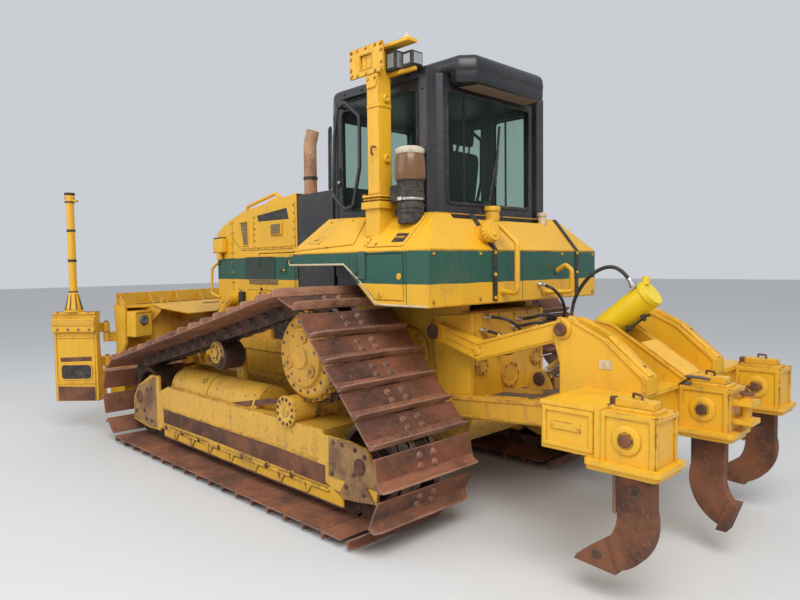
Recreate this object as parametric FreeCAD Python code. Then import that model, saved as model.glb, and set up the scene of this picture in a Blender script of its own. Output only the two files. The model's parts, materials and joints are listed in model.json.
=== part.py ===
"""A crawler bulldozer with wide shoes, an angled folding blade and a three-shank ripper.

Machine frame while modelling, in millimetres: X forward, Y to the left, Z up,
the ground at z = 0 and the machine's centre line at y = 0. At the end every
piece is moved so that the origin is the middle of the whole machine's footprint.
"""
import FreeCAD, Part
import math
import os

os.makedirs("parts", exist_ok=True)

V = FreeCAD.Vector

# Clearances
pin_play = 0.5
seat_gap = 0.3
swing_gap = 6.0
panel_gap = 6.0
hinge_standoff = 12.0
hinge_pin_radius = 6.0

# Tracks, one table row a wheel of the loop: centre x, centre z, radius of the pin line
track_gauge = 2160.0
shoe_width = 840.0
shoe_pitch = 203.0
shoe_plate = 12.0
shoe_lap = 4.0
shoe_play = 8.0
grouser_height = 57.0
grouser_tip = 12.0
grouser_root = 20.0
link_outer = 55.0
link_inner = 45.0
link_rail = 40.0
link_spacing = 170.0
idler_pin_radius = 326.0
sprocket_pin_radius = 355.0
ground_to_pin = link_outer + shoe_plate + grouser_height
idler_z = ground_to_pin + idler_pin_radius
rear_idler_x = -644.0
front_idler_x = 2660.0
sprocket_x = -18.0
sprocket_z = 1084.0
idler_width = 230.0
idler_shaft_radius = 60.0

# Rollers and track frames
roller_count = 8
roller_radius = 110.0
roller_first_x = -210.0
roller_last_x = 2240.0
roller_width = 240.0
roller_shaft_radius = 35.0
carrier_x = 1277.0
carrier_radius = 115.0
frame_inner_y = track_gauge / 2 - 150
frame_outer_y = track_gauge / 2 + 205
frame_plate = 20.0
frame_bottom_z = 400.0
frame_top_z = 620.0
frame_rear_x = -270.0
frame_front_x = 2290.0
guard_bottom_z = 205.0
recoil_radius = 165.0
recoil_rear_x = 620.0
recoil_front_x = 2050.0
recoil_z = 610.0

# Final drives and sprockets
drive_case_radius = 260.0
drive_cover_radius = 300.0
drive_cover_inner_y = track_gauge / 2 + 70
drive_cover_outer_y = track_gauge / 2 + 170
drive_cap_radius = 215.0
sprocket_teeth = 21
sprocket_width = 60.0
tooth_height = 38.0

# Hull
hull_half_width = 430.0
hull_bottom_z = 430.0
hull_top_z = 1000.0
hull_rear_x = -820.0
hull_front_x = 2200.0
case_top_z = 1380.0
case_front_x = -40.0
pivot_shaft_x = 110.0
pivot_shaft_z = 700.0
pivot_shaft_radius = 78.0
equalizer_x = 1150.0
equalizer_z = 385.0
equalizer_size = 100.0

# Engine, hood and radiator guard
hood_half_width = 500.0
hood_wall = 8.0
guard_rear_x = 2342.0
guard_front_x = 2485.0
guard_bottom_front_z = 1265.0
hood_floor_z = 1385.0
hood_rear_x = 1079.0
hood_rear_top_z = 2359.0
hood_bend_x = 1950.0
hood_bend_z = 2259.0
hood_nose_x = 2261.0
hood_nose_z = 2169.0
guard_top_z = 2133.0
hood_shoulder = 60.0
cowl_rear_x = 575.0
cowl_top_z = 2345.0
engine_door_front_x = 1700.0
engine_door_rear_x = 1120.0
engine_door_low_z = 1420.0
engine_door_high_z = 1840.0
door_sheet = 6.0

# Fenders and tank
fender_half_width = 1000.0
fender_inner_y = 650.3
fender_front_x = 435.0
fender_lip_x = 495.0
fender_rear_x = -780.0
fender_top_z = 1810.0
fender_front_low_z = 1715.0
fender_step_x = -161.0
fender_heel_x = -482.0
fender_low_z = 1445.0
ridge_half_width = 735.0
ridge_z = 2060.0
ridge_front_x = 115.0
tank_rear_x = -985.0
tank_ridge_x = -781.0
filler_y = 387.0
box_door_front_x = -310.0
box_door_rear_x = -760.0
box_door_low_z = 1480.0
box_door_high_z = 1790.0
box_door_sheet = 8.0
box_depth = 230.0

# Cab
cab_half_width = 650.0
cab_rear_x = -690.0
cab_rear_half = 530.0
cab_side_rear_x = -600.0
cab_side_front_x = 330.0
cab_front_x = 575.0
cab_front_half = 470.0
cab_floor_z = 1440.0
roof_top_z = 3150.0
cab_eave_z = roof_top_z - 130.0
cab_wall = 45.0
cab_foot_half = cab_half_width - 10
cab_ledge_z = 1630.0
window_low_z = 2140.0
window_high_z = cab_eave_z - 100.0
door_rear_x = -165.0
door_front_x = 310.0
door_low_z = 2080.0
door_high_z = cab_eave_z - 60.0
door_height = door_high_z - door_low_z
door_depth = 36.0
door_border = 52.0
side_window_rear_x = -560.0
side_window_front_x = -235.0
rear_window_half = cab_rear_half - 40
glass_sheet = 6.0
roof_rear_x = -893.0
roof_front_x = 640.0
roof_half_width = 490.0
roof_rear_half = 395.0
roof_low_z = cab_eave_z - 80.0
roof_rear_top_z = roof_top_z - 12.0
rops_low_z = cab_eave_z - 44.0
rops_high_z = cab_eave_z + 17.0
rops_rear_x = -690.0
rops_front_x = 204.0
rops_outer_y = cab_half_width + 45
rops_width = 95.0
rops_depth = 66.0
seat_x = -60.0
seat_z = 1960.0
seat_half = 240.0

# What stands on the hood and the fenders
exhaust_x = 1450.0
exhaust_radius = 62.0
rail_y = 380.0
rail_front_x = 2039.0
rail_rear_x = 1386.0
bowl_x = -640.0
bowl_y = 805.0
post_x = -365.0
post_y = 825.0
post_half = 58.0
post_top_z = 3165.0
plate_sheet = 14.0
plate_rear_x = -483.0
plate_front_x = -150.0
plate_low_z = post_top_z - 153.0
plate_high_z = post_top_z + 45.0
plate_middle_x = (plate_rear_x + plate_front_x) / 2
plate_middle_z = (plate_low_z + plate_high_z) / 2
plate_hole_half_x = 145.0
plate_hole_half_z = 78.0
plate_hole_radius = 9.0

# Push frame of the blade, hinged on the hull
trunnion_x = 850.0
trunnion_z = 620.0
trunnion_pin_radius = 45.0
arm_inner_y = 500.0
arm_outer_y = 620.0
arm_bottom_z = 545.0
arm_top_z = 695.0
arm_bend_x = 2760.0
swivel_x = 3640.0
nose_x = swivel_x - 210.0
nose_half = 150.0
swivel_z = 700.0
tongue_half_height = 80.0
tongue_radius = 78.0
swivel_pin_radius = 45.0
cross_rear_x = 2330.0
cross_front_x = 2440.0
angle_base_x = 2500.0
angle_base_y = 330.0

# Blade, in its own directions: n forward, s to its left, from the swivel
blade_angle = 20.0
blade_half = 1250.0
blade_low_z = 300.0
edge_high_z = 500.0
blade_high_z = 1320.0
spill_high_z = 1442.0
face_low_n = 292.0
face_edge_n = 262.0
face_mid_n = 165.0
face_mid_z = 880.0
face_high_n = 190.0
blade_skin = 22.0
upper_box_low_z = 905.0
upper_box_back_n = -40.0
lower_box_high_z = 520.0
lower_box_back_n = 60.0
wing_hinge_n = 300.0
wing_hinge_s = 1258.0
wing_length = 450.0
wing_fold = 65.7
wing_low_z = 310.0
wing_high_z = 1264.0
wing_back_n = 90.0
mast_z = 2495.0
mast_socket_radius = 24.0
mast_socket_depth = 60.0
knuckle_low_z = (570.0, 934.0)
knuckle_height = 100.0
knuckle_radius = 34.0
knuckle_pin_radius = 16.0
eye_n = -120.0
eye_s = 560.0
eye_z = 760.0
eye_radius = 45.0
eye_thickness = 38.0
ear_thickness = 25.0
ear_play = 6.0
tilt_pin_radius = 60.0
tilt_base_s = -150.0
tilt_eye_s = 480.0
tilt_z = 985.0
tilt_n = -100.0

# Cylinders of the blade
lift_trunnion_x = 2100.0
lift_trunnion_y = 570.0
lift_trunnion_z = 1395.0
lift_eye_x = 2800.0
lift_eye_z = 790.0
flat_length = 84.0
yoke_pin_radius = 38.0
angle_pin_radius = 20.0
tilt_base_pin_radius = 18.0

# Ripper
link_low_x = -675.0
link_low_z = 720.0
link_high_x = -600.0
link_high_z = 1240.0
link_run_x = -1045.0
link_run_z = 84.0
link_bend_x = -980.0
link_bend_z = 1133.0
link_inner_y = 450.0
link_outer_y = 530.0
link_half = 62.0
link_cheek = 12.0
bracket_plate = 25.0
ripper_pin_radius = 38.0
beam_front_x = -1805.0
beam_rear_x = -2130.0
beam_low_z = 752.0
beam_high_z = 995.0
pocket_rear_x = -2420.0
pocket_half = 115.0
pocket_pitch = 920.0
beam_half = pocket_pitch + pocket_half + 2.0
pocket_slot_front_x = -2180.0
shank_front_x = -2186.0
shank_rear_x = -2376.0
shank_middle_x = (shank_front_x + shank_rear_x) / 2
shank_top_z = 1045.0
shank_pin_z = 872.0
shank_pin_radius = 24.0
shank_half = 30.0
shank_tip_x = -1960.0
shank_tip_z = 190.0
ram_trunnion_x = -1600.0
ram_trunnion_z = 1268.0
ram_eye_x = -1143.0
ram_eye_z = 905.0
ram_barrel_radius = 88.0
ram_rod_radius = 45.0

pieces = {}
# Bodies without their hollows, for the pieces that sit on them
outsides = {}


def keep(name, shape):
    """Stores a piece under its node's name."""
    pieces[name] = shape
    return shape


def box(x0, x1, y0, y1, z0, z1):
    """A block between two corners."""
    return Part.makeBox(x1 - x0, y1 - y0, z1 - z0, V(x0, y0, z0))


def prism(axis, points, a, b):
    """A polygon carried along one axis from a to b.

    The points are (x, z) for axis y, (x, y) for axis z and (y, z) for axis x.
    """
    place = {"x": lambda p: V(a, p[0], p[1]),
             "y": lambda p: V(p[0], a, p[1]),
             "z": lambda p: V(p[0], p[1], a)}[axis]
    run = {"x": V(b - a, 0, 0), "y": V(0, b - a, 0), "z": V(0, 0, b - a)}[axis]
    corners = [place(p) for p in points]
    wire = Part.makePolygon(corners + [corners[0]])
    return Part.Face(wire).extrude(run)


def rod(start, end, radius):
    """A round bar between two points."""
    start = V(*start)
    run = V(*end) - start
    return Part.makeCylinder(radius, run.Length, start, run)


def disc_y(x, y0, y1, z, radius):
    """A round bar along Y."""
    return rod((x, y0, z), (x, y1, z), radius)


def fuse(shapes):
    """One solid from several that touch."""
    first = shapes[0]
    if len(shapes) == 1:
        return first
    return first.multiFuse(shapes[1:]).removeSplitter()


def group(shapes):
    """Several solids in one node."""
    solids = []
    for shape in shapes:
        solids.extend(shape.Solids)
    return Part.makeCompound(solids)


def mirror(shape):
    """The same piece on the other side of the centre line."""
    return shape.mirror(V(0, 0, 0), V(0, 1, 0))


def sit(shape, carrier):
    """Takes away what would lie in the carrier, with a small gap left between."""
    lifted = carrier.copy()
    lifted.translate(V(0, 0, seat_gap))
    return shape.cut(lifted)


def door_hinge(x, face, z, half, way):
    """A hinge on an upright pin: what the frame carries, and what the leaf carries.

    face: y of the leaf's outer face. way: plus one where the leaf lies towards +X.
    """
    y = face + hinge_standoff
    frame = [rod((x, y, z - half - 10), (x, y, z + half + 10), hinge_pin_radius)]
    for z0 in (z - half - 10, z + half + 2):
        a, b = sorted((x - way * 32, x - way * 8))
        frame.append(box(a, b, face - 4, y + 6, z0, z0 + 8))
        a, b = sorted((x - way * 32, x + way * 6))
        frame.append(box(a, b, y - 7, y + 6, z0, z0 + 8))
    a, b = sorted((x, x + way * 46))
    leaf = fuse([rod((x, y, z - half), (x, y, z + half), 10),
                 box(a, b, face - 3, face + 6, z - half, z + half)])
    leaf = leaf.cut(rod((x, y, z - half - 1), (x, y, z + half + 1), hinge_pin_radius + pin_play))
    return fuse(frame), leaf


def bent_bar(points, radius, bend):
    """A round bar along straight runs with round bends between them."""
    points = [V(*p) for p in points]
    solids = []
    start = points[0]
    for here, after in zip(points[1:-1], points[2:]):
        into = (here - start).normalize()
        out = (after - here).normalize()
        turn = into.getAngle(out)
        cut = bend * math.tan(turn / 2)
        arc_start = here - into * cut
        arc_end = here + out * cut
        solids.append(rod(tuple(start), tuple(arc_start), radius))
        axis = into.cross(out).normalize()
        centre = arc_start + axis.cross(into) * bend
        disc = Part.Face(Part.Wire(Part.Circle(arc_start, into, radius).toShape()))
        solids.append(disc.revolve(centre, axis, math.degrees(turn)))
        start = arc_end
    solids.append(rod(tuple(start), tuple(points[-1]), radius))
    return fuse(solids)


def side_sign(side):
    """Plus one on the left, minus one on the right."""
    return 1 if side == "left" else -1


def both_sides(name, shape):
    """Keeps a left piece and its mirror image."""
    keep(name + "_left", shape)
    keep(name + "_right", mirror(shape))


# Tracks

track_y = track_gauge / 2
track_wheels = [
    # centre x, centre z, pin-line radius
    (front_idler_x, idler_z, idler_pin_radius),
    (sprocket_x, sprocket_z, sprocket_pin_radius),
    (rear_idler_x, idler_z, idler_pin_radius),
]


def belt_course(wheels):
    """Straight runs and arcs of a belt round the wheels, taken counter-clockwise."""
    course = []
    count = len(wheels)
    touches = []
    for index in range(count):
        x0, z0, r0 = wheels[index]
        x1, z1, r1 = wheels[(index + 1) % count]
        dx, dz = x1 - x0, z1 - z0
        far = math.hypot(dx, dz)
        lean = math.atan2(dz, dx) - math.acos((r0 - r1) / far)
        nx, nz = math.cos(lean), math.sin(lean)
        touches.append(((x0 + r0 * nx, z0 + r0 * nz), (x1 + r1 * nx, z1 + r1 * nz), lean))
    for index in range(count):
        leave, arrive, lean = touches[index]
        course.append(("run", leave, arrive))
        x1, z1, r1 = wheels[(index + 1) % count]
        next_lean = touches[(index + 1) % count][2]
        turn = (next_lean - lean) % (2 * math.pi)
        course.append(("arc", (x1, z1), r1, lean, turn))
    return course


def course_length(course):
    """Whole length of the belt."""
    total = 0.0
    for part in course:
        if part[0] == "run":
            total += math.dist(part[1], part[2])
        else:
            total += part[2] * part[4]
    return total


def course_point(course, distance):
    """Place and direction of the belt at a distance along it."""
    for part in course:
        if part[0] == "run":
            length = math.dist(part[1], part[2])
            if distance <= length:
                share = distance / length
                x = part[1][0] + share * (part[2][0] - part[1][0])
                z = part[1][1] + share * (part[2][1] - part[1][1])
                return x, z, math.atan2(part[2][1] - part[1][1], part[2][0] - part[1][0])
        else:
            length = part[2] * part[4]
            if distance <= length:
                lean = part[3] + distance / part[2]
                x = part[1][0] + part[2] * math.cos(lean)
                z = part[1][1] + part[2] * math.sin(lean)
                return x, z, lean + math.pi / 2
        distance -= length
    return course_point(course, 0.0)


def build_tracks():
    """Each track is one loop, its shoes in the outline, on two rails of links."""
    course = belt_course(track_wheels)
    whole = course_length(course)
    count = round(whole / shoe_pitch)
    pitch = whole / count
    half = (pitch - shoe_play) / 2
    outline = []
    seats = []
    insides = []
    for index in range(count):
        x, z, way = course_point(course, (index + 0.5) * pitch)
        tx, tz = math.cos(way), math.sin(way)
        nx, nz = math.sin(way), -math.cos(way)
        top = link_outer + shoe_plate
        # along the belt, outwards from the pin line
        profile = [(-half, link_outer + shoe_lap), (-half, top), (half - grouser_root, top),
                   (half - grouser_tip, top + grouser_height), (half, top + grouser_height),
                   (half, link_outer + shoe_lap)]
        for along, out in profile:
            outline.append((x + along * tx + out * nx, z + along * tz + out * nz))
        jx, jz, jway = course_point(course, (index * pitch) % whole)
        ox, oz = math.sin(jway), -math.cos(jway)
        seats.append((jx + link_outer * ox, jz + link_outer * oz))
        insides.append((jx - link_inner * ox, jz - link_inner * oz))
        insides.append((x - link_inner * nx, z - link_inner * nz))
    half_shoe = shoe_width / 2
    shoes = prism("y", outline, track_y - half_shoe, track_y + half_shoe)
    shoes = shoes.cut(prism("y", seats, track_y - half_shoe - 1, track_y + half_shoe + 1))
    rails = []
    for centre in (track_y - link_spacing / 2, track_y + link_spacing / 2):
        low, high = centre - link_rail / 2, centre + link_rail / 2
        whole_rail = prism("y", seats, low, high)
        rails.append(whole_rail.cut(prism("y", insides, low - 1, high + 1)))
    both_sides("track", fuse([shoes] + rails))


# Wheels of the tracks

def spoked_wheel(x, z, radius, width, bore_radius):
    """A rim, a thin web and a hub on a shaft, turned about Y."""
    y0, y1 = track_y - width / 2, track_y + width / 2
    wheel = disc_y(x, y0, y1, z, radius)
    web = 26.0
    rim = 38.0
    for a, b in ((y0 - 1, track_y - web), (track_y + web, y1 + 1)):
        hollow = disc_y(x, a, b, z, radius - rim)
        hub = disc_y(x, a - 1, b + 1, z, bore_radius + 45)
        wheel = wheel.cut(hollow.cut(hub))
    return wheel


def roller_places():
    """Centres of the bottom rollers."""
    step = (roller_last_x - roller_first_x) / (roller_count - 1)
    return [roller_first_x + index * step for index in range(roller_count)]


rail_top_z = ground_to_pin + link_inner
roller_z = rail_top_z + roller_radius + seat_gap


def build_rollers():
    """Two idlers, the bottom rollers and the carrier roller of each side."""
    shaft_in = frame_inner_y + frame_plate + seat_gap
    shaft_out = frame_outer_y - frame_plate - seat_gap
    solids = []
    idler_radius = idler_pin_radius - link_inner - 5
    for x in (rear_idler_x, front_idler_x):
        wheel = spoked_wheel(x, idler_z, idler_radius, idler_width, idler_shaft_radius)
        shaft = disc_y(x, shaft_in, shaft_out, idler_z, idler_shaft_radius)
        solids.append(fuse([wheel, shaft]))
    for x in roller_places():
        body = disc_y(x, track_y - roller_width / 2, track_y + roller_width / 2,
                      roller_z, roller_radius)
        waist = disc_y(x, track_y - 45, track_y + 45, roller_z, roller_radius + 1)
        core = disc_y(x, track_y - 46, track_y + 46, roller_z, roller_radius - 35)
        body = body.cut(waist.cut(core))
        shaft = disc_y(x, shaft_in, shaft_out, roller_z, roller_shaft_radius)
        solids.append(fuse([body, shaft]))
    both_sides("rollers", group(solids))


def carrier_z():
    """Height of the carrier roller's centre under the top run."""
    course = belt_course(track_wheels)
    run = course[0]
    (x0, z0), (x1, z1) = run[1], run[2]
    slope = math.atan2(z1 - z0, x1 - x0)
    z_here = z0 + (carrier_x - x0) * (z1 - z0) / (x1 - x0)
    return z_here - (link_inner + carrier_radius + seat_gap) / abs(math.cos(slope))


def build_track_frames():
    """Roller frame with its guards, idler forks, recoil housing and carrier post."""
    y0, y1 = frame_inner_y, frame_outer_y
    beam = prism("y", [(frame_rear_x, frame_bottom_z), (frame_front_x, frame_bottom_z),
                       (frame_front_x, frame_top_z - 90), (recoil_front_x, frame_top_z),
                       (recoil_rear_x, frame_top_z), (frame_rear_x, frame_top_z)], y0, y1)
    parts = [beam]
    # Guards that hang beside the rollers, notched between the rollers' bosses
    places = roller_places()
    step = places[1] - places[0]
    for a, b in ((y0, y0 + frame_plate), (y1 - frame_plate, y1)):
        rim = [(frame_front_x, frame_bottom_z + 5), (frame_rear_x, frame_bottom_z + 5),
               (frame_rear_x, guard_bottom_z + 60)]
        for x in places:
            rim += [(x - step * 0.30, guard_bottom_z + 30), (x - step * 0.18, guard_bottom_z),
                    (x + step * 0.18, guard_bottom_z), (x + step * 0.30, guard_bottom_z + 30)]
        rim += [(frame_front_x, guard_bottom_z + 60)]
        parts.append(prism("y", rim, a, b))
    # Fork plates that carry the idlers
    rear_fork = [(frame_rear_x + 60, frame_top_z - 30), (-535, 590), (rear_idler_x - 60, 570),
                 (rear_idler_x - 165, 440), (rear_idler_x - 150, 240), (-480, 200),
                 (frame_rear_x + 60, guard_bottom_z + 90)]
    front_fork = [(frame_front_x - 60, 700), (frame_front_x + 120, 690), (2700, 560),
                  (2829, 420), (2829, 200), (2500, 170), (frame_front_x - 60, 180)]
    for a, b in ((y0, y0 + frame_plate), (y1 - frame_plate, y1)):
        parts.append(prism("y", rear_fork, a, b))
        parts.append(prism("y", front_fork, a, b))
    recoil = rod((recoil_rear_x, track_y, recoil_z), (recoil_front_x, track_y, recoil_z),
                 recoil_radius)
    parts.append(recoil)
    # Bosses of the pivot shaft on both sides of the sprocket
    for a, b in ((y0, track_y - 40), (track_y + 40, y1 + 15)):
        parts.append(disc_y(pivot_shaft_x, a, b, pivot_shaft_z, pivot_shaft_radius + 20))
    # Carrier roller's post and shaft
    top = carrier_z()
    post = prism("y", [(carrier_x - 90, frame_top_z - 20), (carrier_x + 60, frame_top_z - 20),
                       (carrier_x + 45, top + 50), (carrier_x - 45, top + 50)],
                 y0 + 20, y0 + 60)
    parts.append(post)
    parts.append(disc_y(carrier_x, y0 + 20, track_y - 80, top, 40))
    frame = fuse(parts)
    bore = disc_y(pivot_shaft_x, y0 - 1, y0 + 90, pivot_shaft_z, pivot_shaft_radius + seat_gap)
    frame = frame.cut(bore)
    both_sides("track_frame", frame)
    roller = disc_y(carrier_x, track_y - 80 + seat_gap, track_y + 110, top, carrier_radius)
    cover = disc_y(carrier_x, track_y + 110, track_y + 135, top, carrier_radius - 25)
    for side in ("left", "right"):
        piece = fuse([roller, cover])
        piece = piece if side == "left" else mirror(piece)
        pieces["rollers_" + side] = group([pieces["rollers_" + side], piece])


def sprocket():
    """Toothed ring that the links lie on."""
    root = sprocket_pin_radius - tooth_height
    tip = sprocket_pin_radius - 8
    points = []
    step = 2 * math.pi / sprocket_teeth
    for tooth in range(sprocket_teeth):
        # share of the tooth's step, radius
        for share, radius in ((-0.36, root), (-0.16, tip), (0.16, tip), (0.36, root)):
            angle = (tooth + share) * step
            points.append((sprocket_x + radius * math.cos(angle),
                           sprocket_z + radius * math.sin(angle)))
    return prism("y", points, track_y - sprocket_width / 2, track_y + sprocket_width / 2)


def build_final_drives():
    """Final drive case from the hull out through the sprocket to its cover."""
    x, z = sprocket_x, sprocket_z
    case = disc_y(x, hull_half_width + seat_gap, track_y - 60, z, drive_case_radius)
    neck = disc_y(x, track_y - 61, drive_cover_inner_y + 1, z, drive_cap_radius)
    cover = disc_y(x, drive_cover_inner_y, drive_cover_outer_y, z, drive_cover_radius)
    cap = disc_y(x, drive_cover_outer_y, drive_cover_outer_y + 28, z, drive_cap_radius)
    nose = disc_y(x, drive_cover_outer_y + 28, drive_cover_outer_y + 42, z, 70)
    both_sides("final_drive", fuse([case, neck, sprocket(), cover, cap, nose]))


# Hull and what it carries

def build_main_frame():
    """Hull between the tracks, with the pivot shaft, equalizer bar and trunnions."""
    side = [(hull_rear_x, hull_bottom_z + 130), (hull_rear_x + 120, hull_bottom_z),
            (hull_front_x - 100, hull_bottom_z), (hull_front_x, hull_bottom_z + 130),
            (hull_front_x, hull_top_z), (case_front_x, hull_top_z),
            (case_front_x, case_top_z), (hull_rear_x, case_top_z)]
    parts = [prism("y", side, -hull_half_width, hull_half_width)]
    reach = frame_inner_y + 80
    parts.append(disc_y(pivot_shaft_x, -reach, reach, pivot_shaft_z, pivot_shaft_radius))
    half = equalizer_size / 2
    end = frame_inner_y - seat_gap
    parts.append(box(equalizer_x - half, equalizer_x + half, -end, end,
                     equalizer_z - half, equalizer_z + half))
    for sign in (1, -1):
        inner, outer = sign * (hull_half_width - 10), sign * (arm_inner_y - swing_gap)
        parts.append(disc_y(trunnion_x, inner, outer, trunnion_z, 90))
        parts.append(disc_y(trunnion_x, inner, sign * (arm_outer_y + 18), trunnion_z,
                            trunnion_pin_radius))
    # Front crossmember that carries the radiator guard
    high = guard_bottom_front_z - seat_gap
    parts.append(prism("y", [(hull_front_x - 420, hull_top_z - 10), (hull_front_x, hull_top_z - 10),
                             (guard_rear_x, hull_top_z + 120), (guard_rear_x, high),
                             (hull_front_x - 420, high)], -330, 330))
    # Seats under the cab and the tank
    parts.append(box(hull_rear_x + 60, cab_front_x - 60, -hull_half_width, -hull_half_width + 90,
                     hull_top_z - 10, cab_floor_z - seat_gap))
    parts.append(box(hull_rear_x + 60, cab_front_x - 60, hull_half_width - 90, hull_half_width,
                     hull_top_z - 10, cab_floor_z - seat_gap))
    keep("main_frame", fuse(parts))


def hood_top(x):
    """Height of the hood's top at a distance along it."""
    stations = [(hood_rear_x, hood_rear_top_z), (hood_bend_x, hood_bend_z),
                (hood_nose_x, hood_nose_z), (guard_rear_x, guard_top_z)]
    for (x0, z0), (x1, z1) in zip(stations, stations[1:]):
        if x <= x1:
            return z0 + (x - x0) * (z1 - z0) / (x1 - x0)
    return guard_top_z


def hood_profile(inset, front):
    """Side outline of the hood, inset by a wall where asked."""
    return [(hood_rear_x, hood_floor_z - 10), (front, hood_floor_z - 40),
            (front, hood_top(front) - inset), (hood_nose_x, hood_nose_z - inset),
            (hood_bend_x, hood_bend_z - inset), (hood_rear_x, hood_rear_top_z - inset)]


def shoulder_cut(half, top, drop, x0, x1):
    """Wedges that bevel the two upper long edges of a body."""
    wedges = []
    for sign in (1, -1):
        points = [(sign * (half - drop), top + 400), (sign * (half + 200), top + 400),
                  (sign * (half + 200), top - drop - 200), (sign * half, top - drop)]
        wedges.append(prism("x", points, x0, x1))
    return wedges


def build_hood():
    """Hollow hood with its side door openings, and the engine's block inside."""
    half = hood_half_width
    outer = prism("y", hood_profile(0, guard_rear_x - seat_gap), -half, half)
    outsides["hood"] = outer
    inner = prism("y", hood_profile(hood_wall, guard_rear_x + 20), -half + hood_wall,
                  half - hood_wall)
    hood = outer.cut(inner)
    under = box(hood_rear_x - 1, guard_rear_x + 1, -half + hood_wall, half - hood_wall,
                hood_floor_z - 100, hood_floor_z + 60)
    hood = hood.cut(under)
    # Notch over the yokes of the lift cylinders
    notch = yoke_pin_radius + swing_gap
    hood = hood.cut(disc_y(lift_trunnion_x, -half - 1, half + 1, lift_trunnion_z, notch))
    hood = hood.cut(box(lift_trunnion_x - notch, lift_trunnion_x + notch, -half - 1, half + 1,
                        hood_floor_z - 100, lift_trunnion_z))
    for sign in (1, -1):
        y0, y1 = sorted((sign * (half - hood_wall - 1), sign * (half + 1)))
        hood = hood.cut(box(engine_door_rear_x, engine_door_front_x, y0, y1,
                            engine_door_low_z, engine_door_high_z))
    hinges = [door_hinge(engine_door_front_x - panel_gap, half - 1, z, 30, -1)
              for z in (engine_door_low_z + 80, engine_door_high_z - 80)]
    frames = [frame for frame, leaf in hinges]
    keep("hood", fuse([hood] + frames + [mirror(frame) for frame in frames]))
    block = box(hood_rear_x + 90, guard_rear_x - 320, -300, 300, hull_top_z + seat_gap, 2040)
    keep("engine_block", block.cut(box(hull_front_x - 425, guard_rear_x, -335, 335,
                                       hull_top_z, guard_bottom_front_z)))
    door = box(engine_door_rear_x + panel_gap, engine_door_front_x - panel_gap,
               half - hood_wall + 1, half - hood_wall + 1 + door_sheet,
               engine_door_low_z + panel_gap, engine_door_high_z - panel_gap)
    both_sides("engine_door", fuse([door] + [leaf for frame, leaf in hinges]))


def build_radiator_guard():
    """Guard at the front of the hood, with the yokes of the lift cylinders."""
    half = hood_half_width
    outline = [(guard_rear_x, guard_bottom_front_z + 35), (guard_front_x, guard_bottom_front_z),
               (guard_front_x, guard_top_z - 70), (guard_rear_x, guard_top_z)]
    guard = prism("y", outline, -half, half)
    guard = guard.cut(box(guard_rear_x - 1, guard_front_x + 1, -half + 40, half - 40,
                          guard_bottom_front_z + 90, guard_top_z - 120))
    core = box(guard_rear_x + 15, guard_rear_x + 75, -half + 40, half - 40,
               guard_bottom_front_z + 90, guard_top_z - 120)
    # Side plates that run back to the lift cylinders' trunnions
    parts = [guard, core]
    for sign in (1, -1):
        y0, y1 = sorted((sign * (half - 45), sign * (half - hood_wall - 4)))
        parts.append(prism("y", [(lift_trunnion_x - 90, lift_trunnion_z - 60),
                                 (guard_rear_x + 10, guard_bottom_front_z + 40),
                                 (guard_rear_x + 10, lift_trunnion_z + 160),
                                 (lift_trunnion_x - 90, lift_trunnion_z + 90)], y0, y1))
        parts.append(disc_y(lift_trunnion_x, sign * (half - 20), sign * (lift_trunnion_y + 60),
                            lift_trunnion_z, yoke_pin_radius))
    body = fuse(parts)
    keep("radiator_guard", body)
    slats = []
    low, high = guard_bottom_front_z + 90 + seat_gap, guard_top_z - 120 - seat_gap
    frame = box(guard_front_x - 30, guard_front_x - 6, -half + 40 + seat_gap, half - 40 - seat_gap,
                low, high)
    frame = frame.cut(box(guard_front_x - 40, guard_front_x, -half + 96, half - 96,
                          low + 50, high - 50))
    slats.append(frame)
    count = 9
    for index in range(count):
        y = (index - (count - 1) / 2) * (2 * half - 200) / count
        slats.append(box(guard_front_x - 26, guard_front_x - 10, y - 7, y + 7,
                         low + 40, high - 40))
    keep("grille", fuse(slats))


def build_cowl():
    """Dark cowl between the hood and the cab."""
    half = hood_half_width - 8
    rear = cab_front_x + seat_gap
    profile = [(hood_rear_x - seat_gap, hood_floor_z - 10), (hood_rear_x - seat_gap, cowl_top_z - 6),
               (rear, cowl_top_z), (rear, cab_floor_z), (rear + 60, hood_floor_z - 10)]
    body = prism("y", profile, -half, half)
    inner = prism("y", [(x, z) for x, z in profile], -half + 12, half - 12)
    hollow = inner.common(box(rear + 12, hood_rear_x + 5, -half, half, 1300, cowl_top_z - 14))
    for wedge in shoulder_cut(half, cowl_top_z, 50, rear - 10, hood_rear_x + 10):
        body = body.cut(wedge)
    keep("cowl", body.cut(hollow))


def fender_outline():
    """Side outline of a fender, with the cut over the top run of the track."""
    return [(fender_rear_x, fender_low_z), (fender_heel_x, fender_low_z),
            (fender_step_x, fender_front_low_z), (fender_lip_x, fender_front_low_z + 20),
            (fender_front_x, fender_top_z), (ridge_front_x, ridge_z), (fender_rear_x, ridge_z)]


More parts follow.
